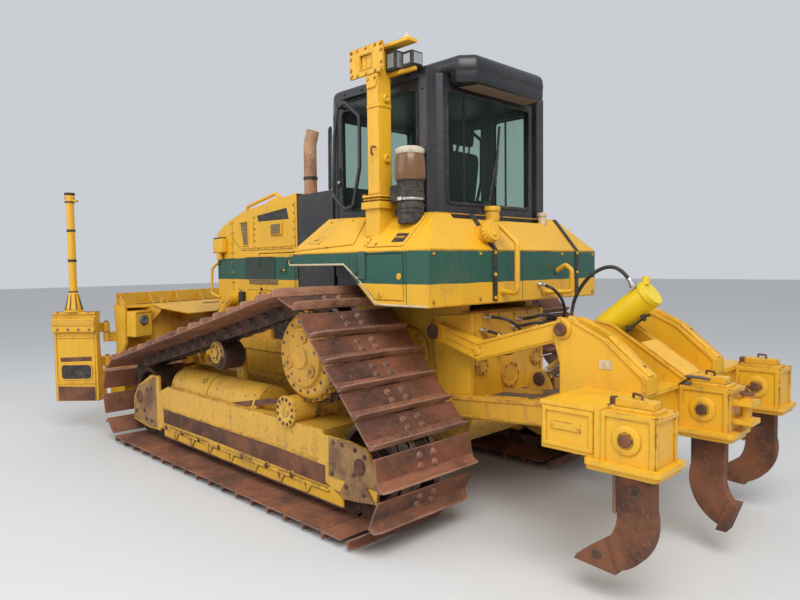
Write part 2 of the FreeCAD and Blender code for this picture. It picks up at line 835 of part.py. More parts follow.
def build_fenders():
    """Box fenders with slanted tops, a battery box in each and its side door."""
    y0, y1 = fender_inner_y, fender_half_width
    body = prism("y", fender_outline(), y0, y1)
    slope = prism("x", [(ridge_half_width, ridge_z), (y1 + 60, fender_top_z
                        - 60 * (ridge_z - fender_top_z) / (y1 - ridge_half_width)),
                        (y1 + 60, ridge_z + 60), (ridge_half_width, ridge_z + 60)],
                  fender_rear_x - 10, fender_lip_x + 10)
    body = body.cut(slope)
    outsides["fender"] = body

    def door_outline(edge):
        front, rear = box_door_front_x - edge, box_door_rear_x + edge
        low, high = box_door_low_z + edge, box_door_high_z - edge
        return [(front, high), (front, low + 140), (front - 170, low), (rear, low), (rear, high)]

    body = body.cut(prism("y", door_outline(0), y1 - box_door_sheet - 1, y1 + 1))
    body = body.cut(prism("y", door_outline(24), y1 - box_depth, y1))
    frame, leaf = door_hinge(box_door_front_x - panel_gap, y1, box_door_high_z - 85, 40, -1)
    both_sides("fender", fuse([body, frame]))
    both_sides("box_door", fuse([prism("y", door_outline(panel_gap), y1 - box_door_sheet, y1), leaf]))


def build_tank():
    """Fuel tank across the rear, with a ridge, fillers and hand rails."""
    half = fender_half_width
    x1 = fender_rear_x - seat_gap
    plan = [(tank_rear_x, -half), (x1, -half), (x1, half), (tank_rear_x, half)]
    body = prism("z", plan, fender_low_z, ridge_z)
    rear_slope = prism("y", [(tank_rear_x - 60, fender_top_z - 75), (tank_rear_x, fender_top_z),
                             (tank_ridge_x, ridge_z), (tank_ridge_x, ridge_z + 60),
                             (tank_rear_x - 60, ridge_z + 60)], -half - 5, half + 5)
    body = body.cut(rear_slope)
    for sign in (1, -1):
        run = ridge_z - fender_top_z
        points = [(sign * ridge_half_width, ridge_z),
                  (sign * (half + 60), fender_top_z - 60 * run / (half - ridge_half_width)),
                  (sign * (half + 60), ridge_z + 60), (sign * ridge_half_width, ridge_z + 60)]
        body = body.cut(prism("x", points, tank_rear_x - 10, x1 + 10))
    slot = box(tank_rear_x - 10, x1 + 10, -cab_half_width + 80, cab_half_width - 80,
               ridge_z - 35, ridge_z + 5)
    body = body.cut(slot)
    x, z, y = tank_rear_x, fender_top_z, filler_y
    # The main filler leans out of the rear slope, the other two stand upright
    parts = [body, rod((x + 135, y, z + 85), (x + 25, y, z + 120), 62),
             rod((x + 27, y, z + 119), (x - 20, y, z + 134), 75)]
    for y, radius, high in ((130.0, 50, 65), (-510.0, 30, 50)):
        parts.append(rod((x + 185, y, ridge_z - 60), (x + 185, y, ridge_z + high), radius))
    parts.append(bent_bar([(x + 155, 260, z + 150), (x + 35, 260, z + 180), (x - 123, 258, z + 45),
                           (x - 123, 258, z - 300), (x + 10, 258, z - 285)], 15, 40))
    parts.append(bent_bar([(x + 10, -425, z - 160), (x - 75, -430, z - 110), (x - 123, -435, z - 150),
                           (x - 123, -440, z - 310), (x + 10, -250, z - 310)], 15, 25))
    keep("fuel_tank", fuse(parts))


# Cab

def cab_plan(inset):
    """Floor plan of the cab, with its four cut corners, moved inwards by the inset."""
    half = cab_half_width - inset
    front = cab_front_half - inset * 0.4
    rear = cab_rear_half - inset * 0.33
    return [(cab_rear_x + inset, -rear), (cab_side_rear_x + inset * 0.5, -half),
            (cab_side_front_x - inset * 0.4, -half), (cab_front_x - inset, -front),
            (cab_front_x - inset, front), (cab_side_front_x - inset * 0.4, half),
            (cab_side_rear_x + inset * 0.5, half), (cab_rear_x + inset, rear)]


def roll_over_frame():
    """Grey frame of the cab: a post in each rear corner, bent forward over the door."""
    y1, y0 = rops_outer_y, rops_outer_y - rops_width
    parts = []
    post = box(rops_rear_x, rops_rear_x + rops_depth, y0, y1, ridge_z + seat_gap, rops_high_z)
    top = box(rops_rear_x, rops_front_x, y0, y1, rops_low_z, rops_high_z)
    for sign in (1, -1):
        side = fuse([post, top])
        parts.append(side if sign > 0 else mirror(side))
    return parts


def build_cab():
    """Hollow cab with windows and door openings, its roof, panes and doors."""
    # Below the ledge the cab is narrower, to clear the tracks
    step = cab_half_width - cab_foot_half
    shell = fuse([prism("z", cab_plan(0), cab_ledge_z, cab_eave_z),
                  prism("z", cab_plan(step), cab_floor_z, cab_ledge_z + 5)])
    shell = shell.cut(prism("z", cab_plan(cab_wall), cab_ledge_z + cab_wall, cab_eave_z - 50))
    shell = shell.cut(prism("z", cab_plan(step + cab_wall), cab_floor_z + 40, cab_ledge_z + cab_wall + 5))
    half = cab_half_width
    # Rear and front windows
    shell = shell.cut(box(cab_rear_x - 5, cab_rear_x + cab_wall + 5, -rear_window_half, rear_window_half,
                          window_low_z, window_high_z))
    shell = shell.cut(box(cab_front_x - cab_wall - 5, cab_front_x + 5, -cab_front_half + 60,
                          cab_front_half - 60, 2360, window_high_z))
    # Windows in the cut corners
    dx, dy = cab_front_x - cab_side_front_x, half - cab_front_half
    corner = math.degrees(math.atan2(dy, dx))
    middle = V((cab_front_x + cab_side_front_x) / 2, (half + cab_front_half) / 2, 0)
    width = math.hypot(dx, dy) - 150
    for sign in (1, -1):
        pane = Part.makeBox(width, 160, window_high_z - 2150, V(-width / 2, -80, 2150))
        pane.rotate(V(0, 0, 0), V(0, 0, 1), -sign * corner)
        pane.translate(V(middle.x, sign * middle.y, 0))
        shell = shell.cut(pane)
        y0, y1 = sorted((sign * (half - cab_wall - 5), sign * (half + 5)))
        shell = shell.cut(box(door_rear_x, door_front_x, y0, y1, door_low_z, door_high_z))
        shell = shell.cut(box(side_window_rear_x, side_window_front_x, y0, y1,
                              window_low_z, window_high_z))
    hinges = [door_hinge(door_rear_x + panel_gap, half, z, 40, 1)
              for z in (door_low_z + 0.17 * door_height, door_high_z - 0.17 * door_height)]
    frames = [frame for frame, leaf in hinges]
    keep("cab_shell", fuse([shell] + frames + [mirror(frame) for frame in frames] + roll_over_frame()))
    # Panes
    inset = 14
    t = glass_sheet
    rear = box(cab_rear_x + inset, cab_rear_x + inset + t, -rear_window_half, rear_window_half,
               window_low_z, window_high_z)
    front = box(cab_front_x - inset - t, cab_front_x - inset, -cab_front_half + 60,
                cab_front_half - 60, 2360, window_high_z)
    panes = [rear, front]
    for sign in (1, -1):
        pane = Part.makeBox(width, t, window_high_z - 2150, V(-width / 2, -t / 2, 2150))
        pane.rotate(V(0, 0, 0), V(0, 0, 1), -sign * corner)
        slide = V(math.sin(math.radians(corner)), sign * math.cos(math.radians(corner)), 0) * -22
        pane.translate(V(middle.x, sign * middle.y, 0) + slide)
        panes.append(pane)
        y0, y1 = sorted((sign * (half - inset), sign * (half - inset - t)))
        panes.append(box(side_window_rear_x, side_window_front_x, y0, y1,
                         window_low_z, window_high_z))
    keep("cab_glass", group(panes))
    # Doors
    y1 = half
    y0 = half - door_depth
    panel = box(door_rear_x + panel_gap, door_front_x - panel_gap - 3, y0, y1,
                door_low_z + panel_gap, door_high_z - panel_gap)
    hole = box(door_rear_x + panel_gap + door_border, door_front_x - panel_gap - door_border,
               y0 - 1, y1 + 1, window_low_z, door_high_z - panel_gap - door_border)
    both_sides("cab_door", fuse([panel.cut(hole)] + [leaf for frame, leaf in hinges]))
    pane = box(door_rear_x + panel_gap + door_border, door_front_x - panel_gap - door_border,
               y0 + 12, y0 + 12 + t, window_low_z, door_high_z - panel_gap - door_border)
    both_sides("door_glass", pane)


def build_roof():
    """Roof with its rear overhang, narrower at the rear end."""
    half = roof_half_width
    low = cab_eave_z + seat_gap
    body = prism("y", [(roof_rear_x, low - 20), (cab_rear_x - seat_gap, low - 20),
                       (cab_rear_x - seat_gap, low), (roof_front_x - 40, low),
                       (roof_front_x, low + 30), (roof_front_x - 60, roof_top_z - 20),
                       (roof_front_x - 200, roof_top_z), (roof_rear_x + 200, roof_top_z),
                       (roof_rear_x, roof_rear_top_z)], -half, half)
    overhang = prism("y", [(roof_rear_x, low - 10), (roof_rear_x, roof_low_z + 30),
                           (roof_rear_x + 30, roof_low_z), (cab_rear_x - 8, roof_low_z),
                           (cab_rear_x - 8, low - 10)], -half, half)
    plan = [(roof_rear_x, -roof_rear_half), (roof_rear_x + 110, -half), (roof_front_x - 90, -half),
            (roof_front_x, -half + 90), (roof_front_x, half - 90), (roof_front_x - 90, half),
            (roof_rear_x + 110, half), (roof_rear_x, roof_rear_half)]
    body = fuse([body, overhang]).common(prism("z", plan, roof_low_z - 10, roof_top_z + 10))
    for wedge in shoulder_cut(half, roof_top_z, 60, roof_rear_x - 10, roof_front_x + 10):
        body = body.cut(wedge)
    keep("cab_roof", body)


def build_seat():
    """Operator's seat with arm consoles."""
    floor = cab_floor_z + 40 + seat_gap
    x, z, half = seat_x, seat_z, seat_half
    base = box(x - 360, x, -half + 40, half - 40, floor, z)
    cushion = box(x - 410, x + 120, -half, half, z, z + 120)
    # The back and the head rest keep their share of the room under the roof
    back_z, head_z = z + 0.62 * (cab_eave_z - z), z + 0.79 * (cab_eave_z - z)
    back = prism("y", [(x - 340, z + 100), (x - 240, z + 100), (x - 320, back_z), (x - 400, back_z)],
                 -half + 10, half - 10)
    head = prism("y", [(x - 385, back_z - 20), (x - 315, back_z - 20), (x - 335, head_z),
                       (x - 405, head_z)], -half + 110, half - 110)
    arms = [box(x - 340, x + 160, sign * (half + 90) - 70, sign * (half + 90) + 70, z, z + 270)
            for sign in (1, -1)]
    feet = [box(x - 240, x - 40, min(sign * (half - 60), sign * (half + 30)),
                max(sign * (half - 60), sign * (half + 30)), z + 5, z + 50) for sign in (1, -1)]
    keep("seat", fuse([base, cushion, back, head] + arms + feet))


def build_outfit():
    """Exhaust, air bowl, equipment post and grab rails."""
    hood, fender = outsides["hood"], outsides["fender"]
    low = hood_top(exhaust_x) - 25
    mouth = V(exhaust_x - 50, 60, 3010)
    bend = V(exhaust_x, 60, 2880)
    pipe = bent_bar([(exhaust_x, 60, low), tuple(bend), tuple(mouth)], exhaust_radius, 110)
    back = (bend - mouth).normalize() * 60
    pipe = pipe.cut(rod(tuple(mouth - back * 0.1), tuple(mouth + back), exhaust_radius - 4))
    keep("exhaust", sit(pipe, hood))
    bowl = fuse([rod((bowl_x, bowl_y, ridge_z - 130), (bowl_x, bowl_y, ridge_z + 220), 88),
                 rod((bowl_x, bowl_y, ridge_z + 219), (bowl_x, bowl_y, ridge_z + 392), 104),
                 rod((bowl_x, bowl_y, ridge_z + 391), (bowl_x, bowl_y, ridge_z + 435), 84)])
    keep("air_bowl", sit(bowl, fender))
    build_post(fender)
    rails = []
    for y in (rail_y, -rail_y):
        rail = bent_bar([(rail_front_x, y, hood_top(rail_front_x) - 20),
                         (rail_front_x + 158, y, hood_top(rail_front_x) + 64),
                         (rail_rear_x + 188, y, hood_top(rail_rear_x) + 82),
                         (rail_rear_x, y, hood_top(rail_rear_x) - 20)], 17, 50)
        rails.append(sit(rail, hood))
    keep("hood_rails", group(rails))


def build_post(fender):
    """Square post with its bolted plate, two work lamps and a flat antenna."""
    x, y, half = post_x, post_y, post_half
    lamp_foot_z = post_top_z - 165
    cone = box(x - half - 15, x + half + 15, y - half - 15, y + half + 15, ridge_z - 180, ridge_z + 41)
    foot = box(x - 93, x + 93, y - 93, y + 93, ridge_z + 40, ridge_z + 88)
    tube = box(x - half, x + half, y - half, y + half, ridge_z + 87, post_top_z)
    brace = prism("x", [(y - half + 1, lamp_foot_z - 160), (y - half + 1, lamp_foot_z + 5),
                        (y - half - 60, lamp_foot_z + 5)], x - 8, x + 8)
    plate = box(plate_rear_x, plate_front_x, y + half - 1, y + half + plate_sheet, plate_low_z,
                plate_high_z)
    hole = box(plate_middle_x - 62, plate_middle_x + 62, y + half, y + half + 40,
               plate_low_z + 43, plate_high_z - 55)
    plate = plate.cut(hole)
    for dx in (-plate_hole_half_x, plate_hole_half_x):
        for dz in (-plate_hole_half_z, plate_hole_half_z):
            bore = disc_y(plate_middle_x + dx, y + half - 5, y + half + 40, plate_middle_z + dz,
                          plate_hole_radius)
            plate = plate.cut(bore)
    bar = box(x - 300, x - half + 5, y - 70, y - 40, lamp_foot_z, lamp_foot_z + 25)
    lamps = [box(x - 155, x - half - 12, y - 125, y - 10, lamp_foot_z + 24, lamp_foot_z + 150),
             box(x - 300, x - 215, y - 120, y - 20, lamp_foot_z + 24, lamp_foot_z + 120)]
    stem = rod((x - 30, y - 20, post_top_z - 5), (x - 30, y - 20, post_top_z + 20), 14)
    antenna = box(x - 300, x + 10, y - 75, y + 15, post_top_z + 15, post_top_z + 37)
    post = fuse([cone, foot, tube, brace, plate, bar, stem, antenna] + lamps)
    keep("equipment_post", sit(post, fender))


# Blade

blade_lean = math.radians(blade_angle)
forward = V(math.cos(blade_lean), math.sin(blade_lean), 0)
leftward = V(-math.sin(blade_lean), math.cos(blade_lean), 0)
swivel = V(swivel_x, 0, 0)


def on_blade(shape):
    """Turns a piece modelled at x = n, y = s about the swivel to its angle."""
    shape = shape.copy()
    shape.rotate(V(0, 0, 0), V(0, 0, 1), blade_angle)
    shape.translate(swivel)
    return shape


def blade_point(n, s, z):
    """Machine-frame place of a point of the blade."""
    return swivel + forward * n + leftward * s + V(0, 0, z)


def face_curve(inset, low, high):
    """The moldboard's hollow front face as an arc, from low to high."""
    a = V(face_edge_n - inset, 0, edge_high_z)
    b = V(face_mid_n - inset, 0, face_mid_z)
    c = V(face_high_n - inset, 0, blade_high_z)
    return Part.Arc(a, b, c).toShape()


def moldboard(s0, s1):
    """The curved plate between two places along the blade, with its cutting edge."""
    front = face_curve(0, 0, 0)
    back = face_curve(blade_skin, 0, 0)
    f0, f1 = front.valueAt(front.FirstParameter), front.valueAt(front.LastParameter)
    b0, b1 = back.valueAt(back.FirstParameter), back.valueAt(back.LastParameter)
    wire = Part.Wire([front, Part.makeLine(f1, b1), back, Part.makeLine(b0, f0)])
    plate = Part.Face(wire).extrude(V(0, s1 - s0, 0))
    plate.translate(V(0, s0, 0))
    edge = prism("y", [(face_edge_n - blade_skin, edge_high_z + 8), (face_edge_n + 2, edge_high_z + 8),
                       (face_low_n, blade_low_z), (face_low_n - 26, blade_low_z)], s0, s1)
    return plate, edge


def rib_outline(back_low, back_high):
    """Outline of a vertical rib behind the moldboard."""
    return [(face_low_n - 30, blade_low_z + 60), (face_edge_n - 12, edge_high_z),
            (face_mid_n - 12, face_mid_z), (face_high_n - 12, blade_high_z - 5),
            (back_high, blade_high_z - 5), (back_high, upper_box_low_z),
            (back_low + 30, upper_box_low_z - 120), (back_low, lower_box_high_z),
            (back_low, blade_low_z + 90)]


def build_blade():
    """Centre of the blade with its boxes, end plates and spill guard."""
    half = blade_half
    plate, edge = moldboard(-half, half)
    parts = [plate, edge]
    lower = prism("y", [(face_low_n - 28, blade_low_z + 60), (face_edge_n - 10, lower_box_high_z),
                        (lower_box_back_n, lower_box_high_z), (lower_box_back_n, blade_low_z + 90)],
                  -half, half)
    upper = prism("y", [(face_mid_n - 10, upper_box_low_z), (face_high_n - 10, blade_high_z - 8),
                        (upper_box_back_n, blade_high_z - 8), (upper_box_back_n, upper_box_low_z)],
                  -half + 260, half - 260)
    parts += [lower, upper]
    top = prism("z", [(face_high_n - 10, -half), (face_high_n - 10, half), (face_high_n - 90, half),
                      (-150, half - 420), (-150, -half + 420), (face_high_n - 90, -half)],
                blade_high_z - 30, blade_high_z)
    parts.append(top)
    for s in (-half, half - 25):
        parts.append(prism("y", rib_outline(lower_box_back_n, 20), s, s + 25))
    guard = prism("y", [(face_high_n - 22, blade_high_z - 5), (face_high_n, blade_high_z - 5),
                        (face_high_n - 6, spill_high_z), (face_high_n - 22, spill_high_z)],
                  -half + 30, half - 30)
    parts.append(guard)
    count = 7
    for index in range(count):
        s = -half + 60 + index * (2 * half - 120) / (count - 1)
        parts.append(prism("y", [(face_high_n - 110, blade_high_z - 5), (face_high_n - 12, blade_high_z - 5),
                                 (face_high_n - 12, spill_high_z - 8)], s - 8, s + 8))
    mount = box(118, 180, -300, 300, 560, 860)
    mount = mount.cut(rod((100, 0, swivel_z), (200, 0, swivel_z), tilt_pin_radius + pin_play))
    behind = prism("y", [(face_edge_n - 10, edge_high_z), (face_mid_n - 10, face_mid_z),
                         (face_high_n - 10, blade_high_z), (100, blade_high_z), (100, edge_high_z)],
                   -320, 320)
    parts.append(mount.common(behind))
    # Knuckles of the two wings, at the front of the end plates
    for sign in (1, -1):
        for z0 in knuckle_low_z:
            z1 = z0 + knuckle_height
            knuckle = rod((wing_hinge_n, sign * wing_hinge_s, z0), (wing_hinge_n, sign * wing_hinge_s, z1),
                          knuckle_radius)
            pin = rod((wing_hinge_n, sign * wing_hinge_s, z1 - 5),
                      (wing_hinge_n, sign * wing_hinge_s, z1 + knuckle_height + swing_gap + 12),
                      knuckle_pin_radius)
            strap = box(150, wing_hinge_n, min(sign * (half - 160), sign * (half - 2)),
                        max(sign * (half - 160), sign * (half - 2)), z0, z1)
            parts.append(fuse([knuckle, pin, strap]))
    ear = ears_for_tilt()
    parts += ear
    keep("blade_centre", on_blade(fuse(parts)))


def ears_for_tilt():
    """Two ears on the blade's upper box for the tilt rod's eye."""
    ears = []
    half = (eye_thickness / 2) + ear_play
    for n0, n1 in ((tilt_n - half - 20, tilt_n - half), (tilt_n + half, tilt_n + half + 20)):
        ears.append(prism("x", [(tilt_eye_s - 50, tilt_z - 50), (tilt_eye_s + 60, tilt_z - 50),
                                (tilt_eye_s + 60, tilt_z + 50), (tilt_eye_s - 50, tilt_z + 50)],
                          n0, n1))
    bridge = box(tilt_n - half - 20, upper_box_back_n + 5, tilt_eye_s + 75, tilt_eye_s + 100,
                 tilt_z - 60, tilt_z + 60)
    side = [box(n0, n1, tilt_eye_s + 50, tilt_eye_s + 80, tilt_z - 60, tilt_z + 60)
            for n0, n1 in ((tilt_n - half - 20, tilt_n - half), (tilt_n + half, tilt_n + half + 20))]
    return [fuse(ears + side + [bridge])]


def build_wings():
    """Folded end sections of the blade, each on an upright hinge."""
    length = wing_length
    plate, edge = moldboard(0, length)
    trim = box(-400, 500, -10, length + 10, wing_low_z, wing_high_z)
    plate = plate.common(trim)
    edge = edge.common(trim)
    back = wing_back_n
    ribs = []
    for s0 in (0, length - 22):
        outline = [(face_low_n - 30, wing_low_z + 20), (face_edge_n - 12, edge_high_z),
                   (face_mid_n - 12, face_mid_z), (face_high_n - 20, wing_high_z - 5),
                   (back, wing_high_z - 5), (back, wing_low_z + 20)]
        ribs.append(prism("y", outline, s0, s0 + 22))
    panel = box(back, back + 14, 0, length, wing_low_z + 20, wing_high_z - 5)
    top = box(back - 12, face_high_n - 8, 0, length, wing_high_z - 26, wing_high_z)
    beam = box(back - 40, back + 5, 0, length, wing_high_z - 205, wing_high_z - 60)
    parts = [plate, edge, panel, top, beam] + ribs
    play = 6.0
    for z0 in knuckle_low_z:
        low = z0 + knuckle_height + swing_gap
        knuckle = rod((wing_hinge_n, -play, low), (wing_hinge_n, -play, low + knuckle_height),
                      knuckle_radius)
        strap = box(150, wing_hinge_n, 10, 150, low, low + knuckle_height)
        neck = box(wing_hinge_n - 30, wing_hinge_n, -play, 20, low, low + knuckle_height)
        parts.append(fuse([knuckle, strap, neck]))
    wing = fuse(parts)
    for z0 in knuckle_low_z:
        wing = wing.cut(rod((wing_hinge_n, -play, z0), (wing_hinge_n, -play, z0 + 260),
                            knuckle_pin_radius + pin_play))
    for side in ("left", "right"):
        sign = side_sign(side)
        piece = wing.copy()
        # Room at the mating end, then the hinge line goes to the origin
        piece.translate(V(-wing_hinge_n, play, 0))
        if sign < 0:
            piece = mirror(piece)
        piece.rotate(V(0, 0, 0), V(0, 0, 1), -sign * wing_fold)
        piece.translate(V(wing_hinge_n, sign * wing_hinge_s, 0))
        keep("wing_" + side, on_blade(piece))
        mast = mast_on_wing()
        mast.translate(V(-wing_hinge_n, play, 0))
        if sign < 0:
            mast = mirror(mast)
        mast.rotate(V(0, 0, 0), V(0, 0, 1), -sign * wing_fold)
        mast.translate(V(wing_hinge_n, sign * wing_hinge_s, 0))
        keep("mast_" + side, on_blade(mast))


def mast_on_wing():
    """Sensor mast with a ribbed foot and a socket in its top, before the wing is folded."""
    n, s = 130.0, wing_length * 0.55
    low = wing_high_z + seat_gap
    foot = rod((n, s, low), (n, s, low + 24), 92)
    cone = Part.makeCone(80, 46, 180, V(n, s, low + 23))
    tube = rod((n, s, low + 200), (n, s, mast_z), 38)
    collar = rod((n, s, mast_z - 95), (n, s, mast_z), 46)
    cross = box(n - 20, n + 20, s - 80, s, mast_z - 90, mast_z - 70)
    mast = fuse([foot, cone, tube, collar, cross])
    return mast.cut(rod((n, s, mast_z - mast_socket_depth), (n, s, mast_z + 5), mast_socket_radius))


def build_push_frame():
    """C-shaped push frame: two arms, a cross tube and the nose with the swivel's tongue."""
    parts = []
    for sign in (1, -1):
        plan = [(trunnion_x, sign * arm_inner_y), (arm_bend_x, sign * arm_inner_y),
                (nose_x - 60, sign * (nose_half - 80)), (nose_x, sign * (nose_half - 80)),
                (nose_x, sign * nose_half), (nose_x - 120, sign * (nose_half + 60)),
                (arm_bend_x + 60, sign * arm_outer_y), (trunnion_x, sign * arm_outer_y)]
        parts.append(prism("z", plan, arm_bottom_z, arm_top_z))
        eye = disc_y(trunnion_x, sign * arm_inner_y, sign * arm_outer_y, trunnion_z, 88)
        parts.append(eye)
    parts.append(box(cross_rear_x, cross_front_x, -arm_inner_y - 5, arm_inner_y + 5,
                     arm_bottom_z + 5, arm_top_z - 5))
    parts.append(box(nose_x - 150, swivel_x - 20, -nose_half + 60, nose_half - 60,
                     swivel_z - tongue_half_height, swivel_z + tongue_half_height))
    parts.append(rod((swivel_x, 0, swivel_z - tongue_half_height),
                     (swivel_x, 0, swivel_z + tongue_half_height), tongue_radius))
    body = fuse(parts)
    bores = []
    for sign in (1, -1):
        bores.append(disc_y(trunnion_x, sign * (arm_inner_y - 5), sign * (arm_outer_y + 5),
                            trunnion_z, trunnion_pin_radius + pin_play))
    bores.append(rod((swivel_x, 0, 500), (swivel_x, 0, 900), swivel_pin_radius + pin_play))
    body = body.cut(Part.makeCompound(bores))
    extra = []
    for sign in (1, -1):
        # Lugs of the lift rod's eye on top of the arm
        gap = eye_thickness / 2 + ear_play
        for y in (lift_trunnion_y - gap - 20, lift_trunnion_y + gap):
            y0, y1 = sorted((sign * y, sign * (y + 20)))
            extra.append(prism("y", [(lift_eye_x - 95, arm_top_z - 2), (lift_eye_x + 80, arm_top_z - 2),
                                     (lift_eye_x + 45, lift_eye_z), (lift_eye_x - 45, lift_eye_z)],
                               y0, y1))
            extra.append(disc_y(lift_eye_x, y0, y1, lift_eye_z, 45))
        # Ears of the angle cylinder's base on the cross tube
        for z0 in (eye_z - 19 - 6 - 25, eye_z + 19 + 6):
            extra.append(box(cross_front_x - 30, angle_base_x + 45, sign * angle_base_y - 50,
                             sign * angle_base_y + 50, z0, z0 + 25))
        web = box(cross_front_x - 60, cross_front_x - 20, sign * angle_base_y - 50,
                  sign * angle_base_y + 50, arm_top_z - 10, eye_z + 19 + 6 + 25)
        extra.append(web)
        extra.append(rod((angle_base_x, sign * angle_base_y, eye_z - 54),
                         (angle_base_x, sign * angle_base_y, eye_z + 60), angle_pin_radius))
    keep("push_frame", fuse([body] + extra))


def build_carrier():
    """Swivel block between the push frame and the blade, with the cylinders' ears."""
    low, high = swivel_z - tongue_half_height - swing_gap, swivel_z + tongue_half_height + swing_gap
    parts = []
    for z0, z1 in ((low - 34, low), (high, high + 34)):
        parts.append(box(-115, 112, -140, 140, z0, z1))
    parts.append(rod((0, 0, low - 34), (0, 0, high + 34), swivel_pin_radius))
    parts.append(box(tongue_radius + 10, 112, -180, 180, low - 34, high + 34))
    parts.append(rod((100, 0, swivel_z), (138, 0, swivel_z), tilt_pin_radius))
    block = fuse(parts)
    room = rod((0, 0, low), (0, 0, high), tongue_radius + swing_gap)
    pin = rod((0, 0, low - 1), (0, 0, high + 1), swivel_pin_radius)
    block = block.cut(room.cut(pin))
    extra = []
    for sign in (1, -1):
        s0, s1 = sorted((sign * 170, sign * (eye_s + 80)))
        extra.append(box(60, 108, s0, s1, eye_z - 55, eye_z + 55))
        s0, s1 = sorted((sign * (eye_s - 50), sign * (eye_s + 50)))
        for z0 in (eye_z - eye_thickness / 2 - ear_play - ear_thickness,
                   eye_z + eye_thickness / 2 + ear_play):
            extra.append(box(eye_n - 50, 65, s0, s1, z0, z0 + ear_thickness))
    # Tower of the tilt cylinder's base
    extra.append(box(tilt_n - 45, tilt_n + 45, tilt_base_s - 110, tilt_base_s - 80,
                     high + 30, tilt_z + 50))
    for n0 in (tilt_n - 45, tilt_n + 25):
        extra.append(box(n0, n0 + 20, tilt_base_s - 85, tilt_base_s + 45, tilt_z - 50, tilt_z + 50))
    extra.append(box(tilt_n - 45, tilt_n + 60, tilt_base_s - 110, -100, high + 1, high + 33))
    extra.append(rod((tilt_n - 55, tilt_base_s, tilt_z), (tilt_n + 48, tilt_base_s, tilt_z),
                     tilt_base_pin_radius))
    keep("blade_carrier", on_blade(fuse([block] + extra)))


# Cylinders

cylinder_sizes = {
    # barrel radius, rod radius, barrel length, rod length, knuckle radius, knuckle's half
    # width, start of the shell, start of the bore, base pin's radius
    "lift": (55.0, 30.0, 670.0, 640.0, 60.0, 45.0, 20.0, 80.0, yoke_pin_radius),
    "angle": (50.0, 28.0, 620.0, 700.0, 42.0, 19.0, 62.0, 80.0, angle_pin_radius),
    "tilt": (42.0, 24.0, 440.0, 450.0, 42.0, 19.0, 62.0, 78.0, tilt_base_pin_radius),
}


def cylinder_pair(base, eye, across, size, barrel_name, rod_name):
    """A barrel on its base pin and a rod of fixed length that ends in a flat eye.

    base, eye: places of the two pins. across: direction of the pins.
    """
    (barrel_radius, rod_radius, barrel_length, rod_length, knuckle, half, shell_from, bore_from,
     pin_radius) = size
    total = (eye - base).Length
    way = (eye - base).normalize()
    side = across.cross(way)

    def bar(start, end, radius):
        return Part.makeCylinder(radius, end - start, base + way * start, way)

    def slab(start, end, wide, low, high):
        corners = [base + way * a + side * b + across * low
                   for a, b in ((start, -wide), (end, -wide), (end, wide), (start, wide))]
        return Part.Face(Part.makePolygon(corners + [corners[0]])).extrude(across * (high - low))

    barrel = fuse([Part.makeCylinder(knuckle, 2 * half, base - across * half, across),
                   slab(0, shell_from + 8, barrel_radius * 0.7, -min(half, barrel_radius * 0.6),
                        min(half, barrel_radius * 0.6)),
                   bar(shell_from, barrel_length, barrel_radius),
                   bar(barrel_length - 42, barrel_length, barrel_radius + 6)])
    barrel = barrel.cut(bar(bore_from, barrel_length + 5, rod_radius + pin_play))
    reach = barrel_radius + 15
    barrel = barrel.cut(Part.makeCylinder(pin_radius + pin_play, 2 * reach, base - across * reach, across))
    eye_half = eye_thickness / 2
    shaft = bar(total - rod_length, total - eye_radius * 0.6, rod_radius)
    for low, high in ((eye_half, 100), (-100, -eye_half)):
        shaft = shaft.cut(slab(total - flat_length, total, 100, low, high))
    end = Part.makeCylinder(eye_radius, eye_thickness, eye - across * eye_half, across)
    keep(barrel_name, barrel)
    keep(rod_name, fuse([shaft, end]))


def build_cylinders():
    """Lift, angle and tilt cylinders of the blade."""
    for side in ("left", "right"):
        sign = side_sign(side)
        trunnion = V(lift_trunnion_x, sign * lift_trunnion_y, lift_trunnion_z)
        cylinder_pair(trunnion, V(lift_eye_x, sign * lift_trunnion_y, lift_eye_z), V(0, 1, 0),
                      cylinder_sizes["lift"], "lift_barrel_" + side, "lift_rod_" + side)
        cylinder_pair(V(angle_base_x, sign * angle_base_y, eye_z), blade_point(eye_n, sign * eye_s, eye_z),
                      V(0, 0, 1), cylinder_sizes["angle"], "angle_barrel_" + side, "angle_rod_" + side)
    cylinder_pair(blade_point(tilt_n, tilt_base_s, tilt_z), blade_point(tilt_n, tilt_eye_s, tilt_z),
                  V(forward), cylinder_sizes["tilt"], "tilt_barrel", "tilt_rod")


# Ripper

def strut(axis_from, axis_to, half, y0, y1):
    """A flat link between two pins with rounded ends."""
    (x0, z0), (x1, z1) = axis_from, axis_to
    way = math.atan2(z1 - z0, x1 - x0)
    dx, dz = -math.sin(way) * half, math.cos(way) * half
    bar = prism("y", [(x0 + dx, z0 + dz), (x1 + dx, z1 + dz), (x1 - dx, z1 - dz),
                      (x0 - dx, z0 - dz)], y0, y1)
    return fuse([bar, disc_y(x0, y0, y1, z0, half), disc_y(x1, y0, y1, z1, half)])


link_low_rear_x = link_low_x + link_run_x
link_low_rear_z = link_low_z + link_run_z
link_high_rear_x = link_high_x + link_run_x
link_high_rear_z = link_high_z + link_run_z
plate_play = 7.0


